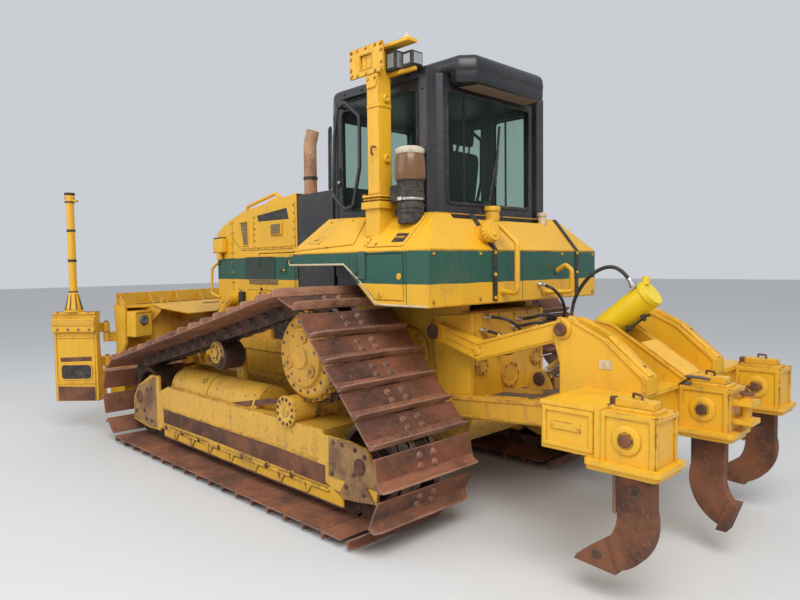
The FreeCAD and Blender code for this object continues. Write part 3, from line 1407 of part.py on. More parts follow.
def build_ripper_bracket():
    """Cheeks on the hull's rear with the front pins of both pairs of links."""
    rear = hull_rear_x - seat_gap
    inner = hull_half_width + seat_gap
    parts = [box(rear - 30, rear, -inner - link_cheek, inner + link_cheek, 600, case_top_z - 10)]
    cheek = [(rear - 30, 640), (link_low_x + 90, 640), (link_high_x + 110, 1150),
             (link_high_x + 110, case_top_z - 40), (rear - 30, case_top_z - 10)]
    for sign in (1, -1):
        y0, y1 = sorted((sign * inner, sign * (inner + link_cheek)))
        parts.append(prism("y", cheek, y0, y1))
        for x, z in ((link_low_x, link_low_z), (link_high_x, link_high_z)):
            parts.append(disc_y(x, sign * (inner + 1), sign * (link_outer_y + plate_play), z,
                                ripper_pin_radius))
            parts.append(disc_y(x, sign * (link_outer_y + plate_play),
                                sign * (link_outer_y + plate_play + 18), z,
                                ripper_pin_radius + 16))
    keep("ripper_bracket", fuse(parts))


def build_links():
    """Lower link frame with the rod's lugs, and the two bent upper links."""
    y0, y1 = link_inner_y, link_outer_y
    arms = []
    for sign in (1, -1):
        a, b = sorted((sign * y0, sign * y1))
        arms.append(strut((link_low_x, link_low_z), (link_low_rear_x, link_low_rear_z),
                          link_half + 12, a, b))
    lift = link_run_z / link_run_x
    cross_front, cross_rear = hull_rear_x - 130, hull_rear_x - 520
    half = link_half + 5

    def level(x):
        return link_low_z + (x - link_low_x) * lift

    cross = prism("y", [(cross_front, level(cross_front) - half), (cross_front, level(cross_front) + half),
                        (cross_rear, level(cross_rear) + half), (cross_rear, level(cross_rear) - half)],
                  -y0 - 5, y0 + 5)
    lugs = []
    gap = eye_thickness / 2 + ear_play
    for sign in (1, -1):
        a, b = sorted((sign * gap, sign * (gap + 25)))
        lugs.append(prism("y", [(ram_eye_x + 110, level(ram_eye_x) + half - 5),
                                (ram_eye_x - 110, level(ram_eye_x) + half - 5),
                                (ram_eye_x - 50, ram_eye_z + 48), (ram_eye_x + 50, ram_eye_z + 48)],
                          a, b))
    frame = fuse(arms + [cross] + lugs)
    play = ripper_pin_radius + pin_play
    bores = [disc_y(x, -y1 - 5, y1 + 5, z, play) for x, z in ((link_low_x, link_low_z),)]
    frame = frame.cut(Part.makeCompound(bores))
    pins = []
    for sign in (1, -1):
        reach = bracket_plate + plate_play - 2
        pins.append(disc_y(link_low_rear_x, sign * (y0 - reach), sign * (y1 + reach),
                           link_low_rear_z, ripper_pin_radius))
    keep("ripper_lower_link", fuse([frame] + pins))
    uppers = []
    for sign in (1, -1):
        a, b = sorted((sign * y0, sign * y1))
        bar = fuse([strut((link_high_x, link_high_z), (link_bend_x, link_bend_z), link_half, a, b),
                    strut((link_bend_x, link_bend_z), (link_high_rear_x, link_high_rear_z),
                          link_half, a, b)])
        for x, z in ((link_high_x, link_high_z), (link_high_rear_x, link_high_rear_z)):
            bar = bar.cut(disc_y(x, a - 5, b + 5, z, play))
        uppers.append(bar)
    keep("ripper_upper_links", group(uppers))


def build_beam():
    """Beam with brackets, three shank pockets, the ram's cheeks and a tow lug."""
    parts = [box(beam_rear_x, beam_front_x, -beam_half + 10, beam_half - 10, beam_low_z, beam_high_z)]
    pocket_wall = shank_half + 2
    for y in (-pocket_pitch, 0, pocket_pitch):
        y0, y1 = y - pocket_half, y + pocket_half
        parts.append(box(pocket_rear_x, beam_rear_x + 20, y0, y1, beam_low_z, beam_high_z))
        for drop, wide in ((0, 40), (26, 22)):
            flange = box(pocket_rear_x - wide, beam_rear_x + 60, y0 - wide, y1 + wide,
                         beam_low_z - drop - 26, beam_low_z - drop + 1)
            flange = flange.makeFillet(30, [e for e in flange.Edges
                                            if abs(e.tangentAt(e.FirstParameter).z) > 0.9])
            parts.append(flange)
    play = ripper_pin_radius + pin_play
    brackets = []
    for sign in (1, -1):
        for y in (link_inner_y - plate_play - bracket_plate, link_outer_y + plate_play):
            y0, y1 = sorted((sign * y, sign * (y + bracket_plate)))
            outline = [(link_low_rear_x + 75, link_low_rear_z - 70), (beam_front_x - 5, beam_low_z + 5),
                       (beam_front_x - 5, beam_high_z - 5), (beam_rear_x - 25, beam_high_z - 5),
                       (beam_rear_x - 25, beam_high_z + 90), (beam_front_x - 100, 1290),
                       (link_high_rear_x - 60, 1385), (link_high_rear_x + 30, 1395),
                       (link_high_rear_x + 75, 1330), (link_high_rear_x + 60, 1260),
                       (link_low_rear_x + 95, 1120), (link_low_rear_x + 95, 900)]
            brackets.append(prism("y", outline, y0, y1))
        y0, y1 = sorted((sign * (link_inner_y - plate_play - 1), sign * (link_outer_y + plate_play + 1)))
        brackets.append(prism("y", [(beam_rear_x - 25, beam_high_z - 5), (beam_rear_x - 25, beam_high_z + 90),
                                    (beam_front_x - 100, 1290), (beam_front_x - 88, 1272),
                                    (beam_rear_x, beam_high_z + 80), (beam_rear_x, beam_high_z - 5)],
                              y0, y1))
        pin = disc_y(link_high_rear_x, sign * (link_inner_y - plate_play - bracket_plate),
                     sign * (link_outer_y + plate_play + bracket_plate + 22), link_high_rear_z,
                     ripper_pin_radius)
        brackets.append(pin)
    gap = ram_barrel_radius + 14
    for sign in (1, -1):
        y0, y1 = sorted((sign * gap, sign * (gap + 28)))
        brackets.append(prism("y", [(beam_rear_x, beam_high_z - 5), (beam_rear_x - 60, beam_high_z + 40),
                                    (ram_trunnion_x - 130, ram_trunnion_z + 60),
                                    (ram_trunnion_x - 20, ram_trunnion_z + 85),
                                    (ram_trunnion_x + 75, ram_trunnion_z + 20),
                                    (ram_trunnion_x + 40, ram_trunnion_z - 90),
                                    (beam_front_x + 60, beam_high_z - 60), (beam_front_x - 5, beam_low_z + 40)],
                              y0, y1))
    beam = fuse(parts + brackets)
    cuts = []
    for y in (-pocket_pitch, 0, pocket_pitch):
        cuts.append(box(shank_rear_x - 2, shank_front_x + 2, y - pocket_wall, y + pocket_wall,
                        beam_low_z - 200, beam_high_z + 100))
    for sign in (1, -1):
        cuts.append(disc_y(link_low_rear_x, sign * (link_inner_y - 60), sign * (link_outer_y + 60),
                           link_low_rear_z, play))
        cuts.append(disc_y(ram_trunnion_x, sign * (gap - 5), sign * (gap + 40), ram_trunnion_z,
                           45 + pin_play))
    beam = beam.cut(Part.makeCompound(cuts))
    # Pins that hold the shanks in the pockets
    pins = []
    for y in (-pocket_pitch, 0, pocket_pitch):
        y0, y1 = y - pocket_half, y + pocket_half
        pins.append(disc_y(shank_middle_x, y0 - 20, y1 + 20, shank_pin_z, shank_pin_radius))
        for a, b in ((y0 - 12, y0 + 1), (y1 - 1, y1 + 12)):
            pins.append(disc_y(shank_middle_x, a, b, shank_pin_z, shank_pin_radius + 18))
    # Tow lugs behind the centre pocket
    lugs = [box(pocket_rear_x - 110, pocket_rear_x + 1, -70, 70, z, z + 28) for z in (800, 905)]
    hitch = rod((pocket_rear_x - 60, 0, 780), (pocket_rear_x - 60, 0, 965), 26)
    keep("ripper_beam", fuse([beam] + pins + lugs + [hitch]))


def shank(y, tip):
    """One curved shank with a wedge-shaped tip where it still has one."""
    x0, x1 = shank_rear_x, shank_front_x
    low = shank_tip_z
    start = V(x0, 0, low + 330)
    heel = V(x0 + 45, 0, low + 90)
    end = V(x0 + 190, 0, low - 12)
    outer = Part.Arc(start, heel, end).toShape()
    inner_end = V(x1 + 60, 0, low + 125)
    inner = Part.Arc(inner_end, V(x1 + 14, 0, low + 190), V(x1, 0, low + 330)).toShape()
    edges = [Part.makeLine(V(x0, 0, shank_top_z), start), outer, Part.makeLine(end, inner_end), inner,
             Part.makeLine(V(x1, 0, low + 330), V(x1, 0, shank_top_z)),
             Part.makeLine(V(x1, 0, shank_top_z), V(x0, 0, shank_top_z))]
    body = Part.Face(Part.Wire(edges)).extrude(V(0, 2 * shank_half, 0))
    body.translate(V(0, y - shank_half, 0))
    if tip:
        wedge = prism("y", [(end.x - 8, end.z - 14), (inner_end.x - 8, inner_end.z + 16),
                            (shank_tip_x - 40, low + 40), (shank_tip_x, low - 8)],
                      y - shank_half - 16, y + shank_half + 16)
        body = fuse([body, wedge])
    else:
        block = prism("y", [(end.x - 40, end.z - 14), (inner_end.x - 40, inner_end.z + 16),
                            (inner_end.x + 20, inner_end.z + 16), (end.x + 20, end.z - 14)],
                      y - shank_half - 20, y + shank_half + 20)
        body = fuse([body, block])
    return body


def build_shanks():
    """Three shanks in the pockets; the middle one is turned round and has lost its tip."""
    shanks = [shank(-pocket_pitch, True), shank(pocket_pitch, True)]
    turned = shank(0, False)
    turned.rotate(V(shank_middle_x, 0, 0), V(0, 0, 1), 180)
    shanks.append(turned)
    reach = pocket_pitch + shank_half + 5
    bore = disc_y(shank_middle_x, -reach, reach, shank_pin_z, shank_pin_radius + seat_gap)
    keep("ripper_shanks", group([piece.cut(bore) for piece in shanks]))


def build_ram():
    """The ripper's single cylinder: barrel on cross pins in the beam, eye on the lower link."""
    eye = V(ram_eye_x, 0, ram_eye_z)
    pin = V(ram_trunnion_x, 0, ram_trunnion_z)
    way = (pin - eye).normalize()
    to_pin = (pin - eye).Length

    def bar(start, end, radius):
        return Part.makeCylinder(radius, end - start, eye + way * start, way)

    low, high = to_pin - 235, to_pin + 417
    shell = bar(low, high, ram_barrel_radius)
    gland = bar(low, low + 70, ram_barrel_radius + 8)
    gap = ram_barrel_radius + 14
    pins = disc_y(ram_trunnion_x, -gap - 30, gap + 30, ram_trunnion_z, 45)
    port = rod(tuple(eye + way * (high - 50) + V(0, 0, ram_barrel_radius - 10)),
               tuple(eye + way * (high - 50) + V(0, 0, ram_barrel_radius + 40)), 22)
    barrel = fuse([shell, gland, pins, port])
    barrel = barrel.cut(bar(low - 5, high - 60, ram_rod_radius + pin_play))
    keep("ripper_barrel", barrel)
    shaft = bar(eye_radius * 0.6, to_pin + 80, ram_rod_radius)
    end = disc_y(ram_eye_x, -eye_thickness / 2, eye_thickness / 2, ram_eye_z, eye_radius + 5)
    slot = bar(0, 90, ram_rod_radius + 5)
    cheeks = [slot.common(box(ram_eye_x - 200, ram_eye_x + 200, a, b, ram_eye_z - 200, ram_eye_z + 200))
              for a, b in ((-100, -eye_thickness / 2), (eye_thickness / 2, 100))]
    keep("ripper_rod", fuse([shaft.cut(Part.makeCompound(cheeks)), end]))


def build_all():
    """Every piece in turn."""
    build_tracks()
    build_rollers()
    build_track_frames()
    build_final_drives()
    build_main_frame()
    build_hood()
    build_radiator_guard()
    build_cowl()
    build_fenders()
    build_tank()
    build_cab()
    build_roof()
    build_seat()
    build_outfit()
    build_blade()
    build_wings()
    build_push_frame()
    build_carrier()
    build_cylinders()
    build_ripper_bracket()
    build_links()
    build_beam()
    build_shanks()
    build_ram()


def whole_box(shapes):
    """Box round all pieces."""
    total = FreeCAD.BoundBox()
    for shape in shapes:
        total.add(shape.optimalBoundingBox(True, False))
    return total


build_all()
reach = whole_box(pieces.values())
shift = V(-(reach.XMin + reach.XMax) / 2, -(reach.YMin + reach.YMax) / 2, 0)
for node, shape in pieces.items():
    moved = shape.copy()
    moved.translate(shift)
    moved.exportStep("parts/" + node + ".step")
print("shift", round(shift.x, 3), round(shift.y, 3), "ground", round(reach.ZMin, 3))
print("size", round(reach.XLength), round(reach.YLength), round(reach.ZLength))
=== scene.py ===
"""Looks of the bulldozer: an add-on whose operators build the detailed pieces on the CAD frame.

Pieces are modelled in the machine frame in millimetres, X forward, Y left, Z up, with the
ground at z = 0, as in the part's source, and moved to the row's frame when they are made.
"""

import json
import math

import bpy
import bmesh
import numpy as np
from mathutils import Matrix


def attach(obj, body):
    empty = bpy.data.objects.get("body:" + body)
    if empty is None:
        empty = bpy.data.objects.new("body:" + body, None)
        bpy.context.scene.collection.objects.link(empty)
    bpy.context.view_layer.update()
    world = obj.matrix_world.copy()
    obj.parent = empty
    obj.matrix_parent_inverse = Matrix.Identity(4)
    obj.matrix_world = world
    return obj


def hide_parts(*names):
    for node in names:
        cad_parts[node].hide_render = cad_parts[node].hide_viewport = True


bl_info = {
    "name": "Bulldozer looks", "version": (1, 0, 0), "blender": (4, 5, 0), "location": "View3D > Sidebar > Bulldozer",
    "description": "Builds the detailed surfaces, finishes and studio of the bulldozer", "category": "Object",}

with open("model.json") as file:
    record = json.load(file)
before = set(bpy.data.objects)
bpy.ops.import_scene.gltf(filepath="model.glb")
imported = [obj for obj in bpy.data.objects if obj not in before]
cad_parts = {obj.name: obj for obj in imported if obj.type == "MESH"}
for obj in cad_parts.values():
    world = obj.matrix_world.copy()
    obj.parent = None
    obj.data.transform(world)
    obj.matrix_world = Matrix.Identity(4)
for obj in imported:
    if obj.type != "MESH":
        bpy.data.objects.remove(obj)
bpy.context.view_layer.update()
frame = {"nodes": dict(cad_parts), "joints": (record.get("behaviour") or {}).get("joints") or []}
JOINTS = {joint["name"]: joint for joint in frame["joints"]}
# The lift hinge stands at (850, 0, 620) mm in the machine frame
SHIFT = np.array(JOINTS["blade_lift"]["pos_m"]) - np.array([0.850, 0.0, 0.620])


LEFT, UP, BACK, AHEAD = (0, 1, 0), (0, 0, 1), (-1, 0, 0), (1, 0, 0)


# Shapes as whole arrays

def unit(v):
    """Vectors of length one along the last axis."""
    v = np.asarray(v, float)
    return v / np.linalg.norm(v, axis=-1, keepdims=True)


def across(normal):
    """Two directions square to each normal."""
    normal = unit(normal)
    helper = np.where(np.abs(normal[..., 2:3]) < 0.9, [0.0, 0.0, 1.0], [1.0, 0.0, 0.0])
    u = unit(np.cross(helper, normal))
    return u, np.cross(normal, u)


def circle(count, radius=1.0, start=0.0):
    """Points of a circle in its own plane."""
    angle = start + 2 * np.pi * np.arange(count) / count
    return radius * np.stack([np.cos(angle), np.sin(angle)], -1)


def upright(centre, radius, count, start=0.0):
    """Places on a circle about a place, in the plane of X and Z."""
    return np.array(centre, float) + np.insert(circle(count, radius, start), 1, 0.0, axis=1)


def inset(outline, normal, distance):
    """A flat outline moved inwards by a distance."""
    outline = np.asarray(outline, float)
    normal = unit(normal)
    into = unit(outline - np.roll(outline, 1, 0))
    out = unit(np.roll(outline, -1, 0) - outline)
    n1, n2 = np.cross(normal, into), np.cross(normal, out)
    turn = 1 + (n1 * n2).sum(-1, keepdims=True)
    return outline + distance * (n1 + n2) / np.maximum(turn, 0.2)


def rounded(outline, radius, steps=4):
    """An outline or a path with an arc at each corner."""
    outline = np.asarray(outline, float)
    into = unit(outline - np.roll(outline, 1, 0))
    out = unit(np.roll(outline, -1, 0) - outline)
    cosine = np.clip((into * out).sum(-1), -1, 1)
    cut = radius * np.tan(np.arccos(cosine) / 2)
    share = np.linspace(0, 1, steps + 1)[None, :, None]
    a, b = outline - into * cut[:, None], outline + out * cut[:, None]
    curve = (1 - share) ** 2 * a[:, None] + 2 * share * (1 - share) * outline[:, None]
    return (curve + share ** 2 * b[:, None]).reshape(-1, 3)


def bent(path, radius, steps=5):
    """An open path with an arc at each inner corner."""
    path = np.asarray(path, float)
    loop = rounded(path, radius, steps).reshape(len(path), steps + 1, 3)
    return np.concatenate([path[:1], loop[1:-1].reshape(-1, 3), path[-1:]])


def sweep(path, section):
    """Rings of a section carried along a path without twist. Section: (n, 2) or (m, n, 2)."""
    path = np.asarray(path, float)
    way = unit(np.gradient(path, axis=0))
    u = across(way[0])[0]
    frames = []
    for tangent in way:
        u = unit(u - (u @ tangent) * tangent)
        frames.append((u, np.cross(tangent, u)))
    frames = np.array(frames)
    section = np.broadcast_to(section, (len(path),) + np.shape(section)[-2:])
    return path[:, None] + section[..., :1] * frames[:, None, 0] + section[..., 1:] * frames[:, None, 1]


def side(y, outline):
    """Points (x, z) on a wall at y."""
    outline = np.asarray(outline, float)
    return np.insert(outline, 1, y, axis=1)


def level(z, outline):
    """Points (x, y) at one height."""
    return np.insert(np.asarray(outline, float), 2, z, axis=1)


class Surface:
    """Gathers surfaces and makes one object of them."""

    def __init__(self):
        self.points, self.faces, self.slots, self.count = [], [], [], 0

    def add(self, points, faces, slot):
        """Faces: an (m, k) array of indices into the points."""
        self.points.append(np.asarray(points, float).reshape(-1, 3))
        self.faces.append(np.asarray(faces) + self.count)
        self.slots.append(np.tile(slot, len(faces) // np.size(slot)))
        self.count += len(self.points[-1])

    def loft(self, rings, slot=0, caps=True, closed=False):
        """Skins rings (..., m, n, 3) that close on themselves, with flat ends.

        slot: one material slot, or one for each of the n strips.
        """
        rings = np.asarray(rings, float)
        m, n = rings.shape[-3:-1]
        copies = rings.reshape(-1, m, n, 3)
        grid = np.arange(m * n).reshape(m, n)
        after = np.roll(grid, -1, 0) if closed else grid[1:]
        here = grid if closed else grid[:-1]
        quads = np.stack([here, np.roll(here, -1, 1), np.roll(after, -1, 1), after], -1).reshape(-1, 4)
        base = np.arange(len(copies))[:, None, None] * m * n
        start = self.count
        self.add(copies, (quads[None] + base).reshape(-1, 4), slot)
        if caps and not closed:
            self.count = start
            for ring in (grid[0], grid[-1]):
                self.faces.append((ring[None] + base[:, 0]) + start)
                self.slots.append(np.full(len(copies), np.ravel(slot)[0]))
            self.count = start + copies.shape[0] * m * n
        return self

    def sheet(self, grid, slot=0):
        """An open skin of an (m, n, 3) array."""
        grid = np.asarray(grid, float)
        m, n = grid.shape[:2]
        index = np.arange(m * n).reshape(m, n)
        quads = np.stack([index[:-1, :-1], index[:-1, 1:], index[1:, 1:], index[1:, :-1]], -1)
        self.add(grid, quads.reshape(-1, 4), slot)
        return self

    def plate(self, outline, normal, low, high, edge=2.0, slot=0):
        """A flat plate on an outline, from low to high along the normal, its outer rim bevelled."""
        outline, normal = np.asarray(outline, float), unit(normal)
        centre = outline.mean(0)
        turn = np.cross(outline - centre, np.roll(outline, -1, 0) - centre).sum(0) @ normal
        if turn < 0:
            outline = outline[::-1]
        edge = min(edge, abs(high - low) * 0.7)
        rings = [outline + normal * low, outline + normal * (high - edge),
            inset(outline, normal, edge) + normal * high]
        return self.loft(np.array(rings), slot)

    def block(self, low, high, edge=3.0, slot=0):
        """A box between two corners with bevelled edges."""
        (x0, y0, z0), (x1, y1, z1) = np.minimum(low, high), np.maximum(low, high)
        e = min(edge, (x1 - x0) / 3, (y1 - y0) / 3, (z1 - z0) / 3)

        def ring(z, d):
            xs = [x0 + d + e, x1 - d - e, x1 - d, x1 - d, x1 - d - e, x0 + d + e, x0 + d, x0 + d]
            ys = [y0 + d, y0 + d, y0 + d + e, y1 - d - e, y1 - d, y1 - d, y1 - d - e, y0 + d + e]
            return np.stack([xs, ys, np.full(8, z)], -1)

        return self.loft(np.array([ring(z0, e), ring(z0 + e, 0), ring(z1 - e, 0), ring(z1, e)]), slot)

    def turn(self, origin, axis, profile, count=32, slot=0, start=0.0):
        """A body turned about an axis. Profile rows: distance along the axis, radius."""
        axis = unit(axis)
        u, v = across(axis)
        ring = circle(count, 1.0, start)
        flat = ring[:, :1] * u + ring[:, 1:] * v
        profile = np.asarray(profile, float)
        rings = np.asarray(origin, float) + profile[:, :1, None] * axis + profile[:, 1:, None] * flat
        return self.loft(rings, slot)

    def pipe(self, path, radius, count=12, slot=0, bend=0.0):
        """A round bar or hose along a path."""
        path = bent(path, bend) if bend else np.asarray(path, float)
        return self.loft(sweep(path, circle(count, radius)), slot)

    def bolts(self, places, normal, radius=12.0, height=10.0, slot=0, washer=1.35):
        """Hexagon heads on washers, one at each place."""
        radius = radius * look().bolt_size
        places = np.atleast_2d(np.asarray(places, float))
        normal = np.broadcast_to(unit(normal), places.shape)
        u, v = across(normal)
        for count, rows in ((12, ((0.0, washer), (0.18, washer), (0.22, washer * 0.96))),
                (6, ((0.15, 1.0), (0.85, 1.0), (1.0, 0.85)))):
            ring = circle(count)
            flat = ring[:, 0, None] * u[:, None] + ring[:, 1, None] * v[:, None]
            rows = np.array(rows)
            rings = places[:, None, None] + (rows[:, 0] * height)[None, :, None, None] * normal[:, None, None] \
                + (rows[:, 1] * radius)[None, :, None, None] * flat[:, None]
            self.loft(rings, slot)
        return self

    def strip(self, path, normal, width, height, slot=0, sink=1.0, closed=False):
        """A flat bar laid on a surface along a path; a closed one is mitred at every corner."""
        path, normal = np.asarray(path, float), unit(normal)
        if closed:
            side = (path - inset(path, normal, 1.0)) * width / 2
        else:
            side = unit(np.cross(np.gradient(path, axis=0), normal)) * width / 2
        up, down = normal * height, normal * -sink
        rings = np.stack([path - side + down, path + side + down, path + side + up * 0.7,
            path + side * 0.8 + up, path - side * 0.8 + up, path - side + up * 0.7], 1)
        return self.loft(rings, slot, closed=closed)

    def weld(self, path, radius=5.0, slot=0):
        """A bead whose radius ripples by a sine of the length along the path."""
        path = np.asarray(path, float)
        run = np.concatenate([[0], np.cumsum(np.linalg.norm(np.diff(path, axis=0), axis=1))])
        at = np.linspace(0, run[-1], max(4, int(run[-1] / 7)))
        fine = np.stack([np.interp(at, run, path[:, k]) for k in range(3)], 1)
        size = radius * look().weld_size * (1 + 0.16 * np.sin(at * 0.45) + 0.06 * np.sin(at * 0.071))
        return self.loft(sweep(fine, circle(6)[None] * size[:, None, None]), slot)

    def mirrored(self):
        """Adds the mirror image across the centre line."""
        points = np.concatenate(self.points) * (1, -1, 1)
        self.faces += [faces + self.count for faces in self.faces]
        self.slots += list(self.slots)
        self.points.append(points)
        self.count *= 2
        return self

    def make(self, name, body, slot, finishes, replaces=(), smooth=35.0, sign=1):
        """One object, placed in the row's frame, riding on its body; sign -1 mirrors it."""
        points = np.concatenate(self.points) * (1, sign, 1) / 1000 + SHIFT
        mesh = bpy.data.meshes.new(name)
        mesh.from_pydata(points.tolist(), [], [face for part in self.faces for face in part.tolist()])
        mesh.polygons.foreach_set("material_index", np.concatenate(self.slots).astype(np.int32))
        for finish in finishes:
            mesh.materials.append(FINISHES[finish]())
        work = bmesh.new()
        work.from_mesh(mesh)
        bmesh.ops.recalc_face_normals(work, faces=work.faces)
        work.to_mesh(mesh)
        work.free()
        mesh.polygons.foreach_set("use_smooth", np.ones(len(mesh.polygons), bool))
        mesh.set_sharp_from_angle(angle=math.radians(smooth))
        piece = bpy.data.objects.new(name, mesh)
        bpy.context.scene.collection.objects.link(piece)
        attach(piece, body)
        if replaces:
            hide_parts(*replaces)
        return piece


# Finishes

class Tree:
    """A material's node tree with short calls."""

    def __init__(self, name):
        self.material = bpy.data.materials.new(name)
        self.material.use_nodes = True
        self.nodes = self.material.node_tree.nodes
        self.links = self.material.node_tree.links
        self.nodes.clear()
        self.place = self.node("ShaderNodeTexCoord").outputs["Object"]
        self.normal = self.node("ShaderNodeNewGeometry").outputs["Normal"]

    def node(self, kind, **inputs):
        made = self.nodes.new(kind)
        for key, value in inputs.items():
            socket = made.inputs[int(key[1:])] if key[0] == "_" and key[1:].isdigit() else made.inputs[key]
            if isinstance(value, bpy.types.NodeSocket):
                self.links.new(value, socket)
            else:
                socket.default_value = value
        return made

    def math(self, operation, a, b=0.0, c=0.0):
        made = self.node("ShaderNodeMath", _0=a, _1=b, _2=c)
        made.operation = operation
        return made.outputs[0]

    def times(self, a, b):
        return self.math("MULTIPLY", a, b)

    def plus(self, a, b):
        return self.math("ADD", a, b)

    def minus(self, a, b):
        return self.math("SUBTRACT", a, b)

    def scaled(self, factors):
        made = self.node("ShaderNodeMapping", Vector=self.place, Scale=factors)
        return made.outputs[0]

    def noise(self, scale, detail=4.0, rough=0.55, place=None):
        made = self.node("ShaderNodeTexNoise", Vector=place or self.place, Scale=scale, Detail=detail,
            Roughness=rough)
        return made.outputs[0]

    def step(self, value, low, high):
        """0 below low, 1 above high, smooth between; low may be above high."""
        made = self.node("ShaderNodeMapRange", Value=value)
        made.interpolation_type = "SMOOTHSTEP"
        made.inputs["From Min"].default_value = low
        made.inputs["From Max"].default_value = high
        return made.outputs[0]

    def mix(self, factor, a, b):
        made = self.nodes.new("ShaderNodeMix")
        made.data_type = "RGBA"
        for key, value in ((0, factor), (6, a), (7, b)):
            if isinstance(value, bpy.types.NodeSocket):
                self.links.new(value, made.inputs[key])
            else:
                made.inputs[key].default_value = value if key == 0 else (*value[:3], 1.0)
        return made.outputs[2]

    def xyz(self):
        made = self.node("ShaderNodeSeparateXYZ", Vector=self.place)
        return made.outputs

    def edges(self, radius):
        """Near 1 on convex and concave edges, 0 on flats."""
        soft = self.node("ShaderNodeBevel", Radius=radius)
        soft.samples = 4
        dot = self.node("ShaderNodeVectorMath", _0=soft.outputs[0], _1=self.normal)
        dot.operation = "DOT_PRODUCT"
        return self.minus(1.0, dot.outputs["Value"]), soft.outputs[0]

    def finish(self, color, rough, metal=0.0, bump=None, height=0.002, normal=None, **more):
        shader = self.node("ShaderNodeBsdfPrincipled", Roughness=rough, Metallic=metal, **more)
        if isinstance(color, bpy.types.NodeSocket):
            self.links.new(color, shader.inputs["Base Color"])
        else:
            shader.inputs["Base Color"].default_value = (*color, 1.0)
        if bump is not None:
            relief = self.node("ShaderNodeBump", Height=bump, Distance=height, Strength=0.6)
            if normal is not None:
                self.links.new(normal, relief.inputs["Normal"])
            normal = relief.outputs[0]
        if normal is not None:
            self.links.new(normal, shader.inputs["Normal"])
        out = self.node("ShaderNodeOutputMaterial", Surface=shader.outputs[0])
        out.is_active_output = True
        return self.material


RUST = (0.20, 0.072, 0.030)
DARK_RUST = (0.055, 0.022, 0.013)
DIRT = (0.16, 0.115, 0.07)


def paint(name, color, dirt=0.3, rust=0.2, band=False, low=0.0):
    """Brushed-on machine paint with chips, rain dirt and rusted edges.

    low: height in metres under which the dirt thickens.
    """
    tree = Tree(name)
    worn, soft = tree.edges(0.012)
    blotch = tree.noise(2.3, 5)
    fine = tree.noise(34, 6, 0.65)
    grain = tree.noise(190, 3)
    streak = tree.noise(1.0, 5, 0.6, tree.scaled((22, 22, 1.6)))
    base = tree.mix(blotch, color, tuple(c * 0.80 for c in color))
    x, y, z = tree.xyz()
    if band:
        wobble = tree.times(tree.minus(tree.noise(5, 2), 0.5), 0.012)
        height = tree.plus(z, wobble)
        values = look()
        inside = tree.times(tree.step(height, values.band_low - 0.002, values.band_low + 0.002),
            tree.step(height, values.band_high + 0.002, values.band_high - 0.002))
        green = tuple(values.band_color)
        base = tree.mix(inside, base, tree.mix(fine, green, tuple(c * 1.5 for c in green)))
    amount = tree.times(tree.step(streak, 0.50, 0.74), 0.55)
    soil = tree.plus(amount, tree.times(tree.step(blotch, 0.52, 0.75), 0.5))
    if low:
        soil = tree.plus(soil, tree.times(tree.step(z, low, low - 0.45), 0.7))
    soil = tree.times(tree.times(soil, tree.step(fine, 0.25, 0.7)), dirt * 2)
    base = tree.mix(tree.math("MINIMUM", soil, 0.85), base, DIRT)
    broken = tree.times(tree.step(tree.noise(11, 4), 0.42, 0.62), 3.2 * look().chips)
    chips = tree.plus(tree.times(worn, broken),
        tree.minus(fine, 0.66 + 0.22 * (0.5 - rust)))
    chips = tree.times(tree.step(chips, 0.06, 0.14), min(1.0, rust * 2.2))
    rusty = tree.mix(tree.noise(60, 4), RUST, DARK_RUST)
    base = tree.mix(chips, base, rusty)
    rough = tree.plus(0.36 + 0.1 * rust, tree.times(tree.plus(soil, chips), 0.32))
    return tree.finish(base, tree.math("MINIMUM", rough, 0.9), bump=tree.plus(fine, grain),
        height=0.0012, normal=soft)


def rusted(name, light=RUST, dark=DARK_RUST, shine=0.0, scale=1.0):
    """Bare rusted steel; shine is how far its edges are worn bright."""
    tree = Tree(name)
    worn, soft = tree.edges(0.008)
    wide = tree.noise(3.5 * scale, 6, 0.6)
    fine = tree.noise(48 * scale, 8, 0.7)
    streak = tree.noise(1.0, 4, 0.6, tree.scaled((70, 4, 14)))
    base = tree.mix(tree.step(wide, 0.32, 0.68), dark, light)
    base = tree.mix(tree.times(tree.step(fine, 0.5, 0.75), 0.65), base,
        tuple(min(1.0, c * 1.7) for c in light))
    base = tree.mix(tree.times(tree.step(streak, 0.55, 0.7), 0.4), base, (0.10, 0.055, 0.04))
    bright = tree.times(tree.step(tree.plus(worn, tree.times(fine, 0.08)),
        0.07, 0.2), shine)
    base = tree.mix(bright, base, (0.46, 0.36, 0.31))
    rough = tree.minus(0.78, tree.times(bright, 0.38))
    metal = tree.times(bright, 0.85)
    return tree.finish(base, rough, metal=metal, bump=fine, height=0.004, normal=soft)


def coated(name, color, rough=0.45, dirt=0.25, bump=240.0, metal=0.0, tint=DIRT):
    """A plain coat or moulded plastic with dust on it."""
    tree = Tree(name)
    worn, soft = tree.edges(0.006)
    wide = tree.noise(3.0, 5)
    fine = tree.noise(30, 6, 0.65)
    base = tree.mix(wide, color, tuple(c * 1.35 for c in color))
    dust = tree.times(tree.step(tree.plus(fine, tree.times(wide, 0.6)),
        0.72, 1.1), dirt * 2)
    base = tree.mix(dust, base, tint)
    base = tree.mix(tree.times(tree.step(worn, 0.05, 0.2), 0.35), base,
        tuple(min(1.0, c * 2.2 + 0.02) for c in color))
    shade = tree.plus(rough, tree.times(dust, 0.3))
    return tree.finish(base, shade, metal=metal, bump=tree.noise(bump, 3), height=0.0008, normal=soft)


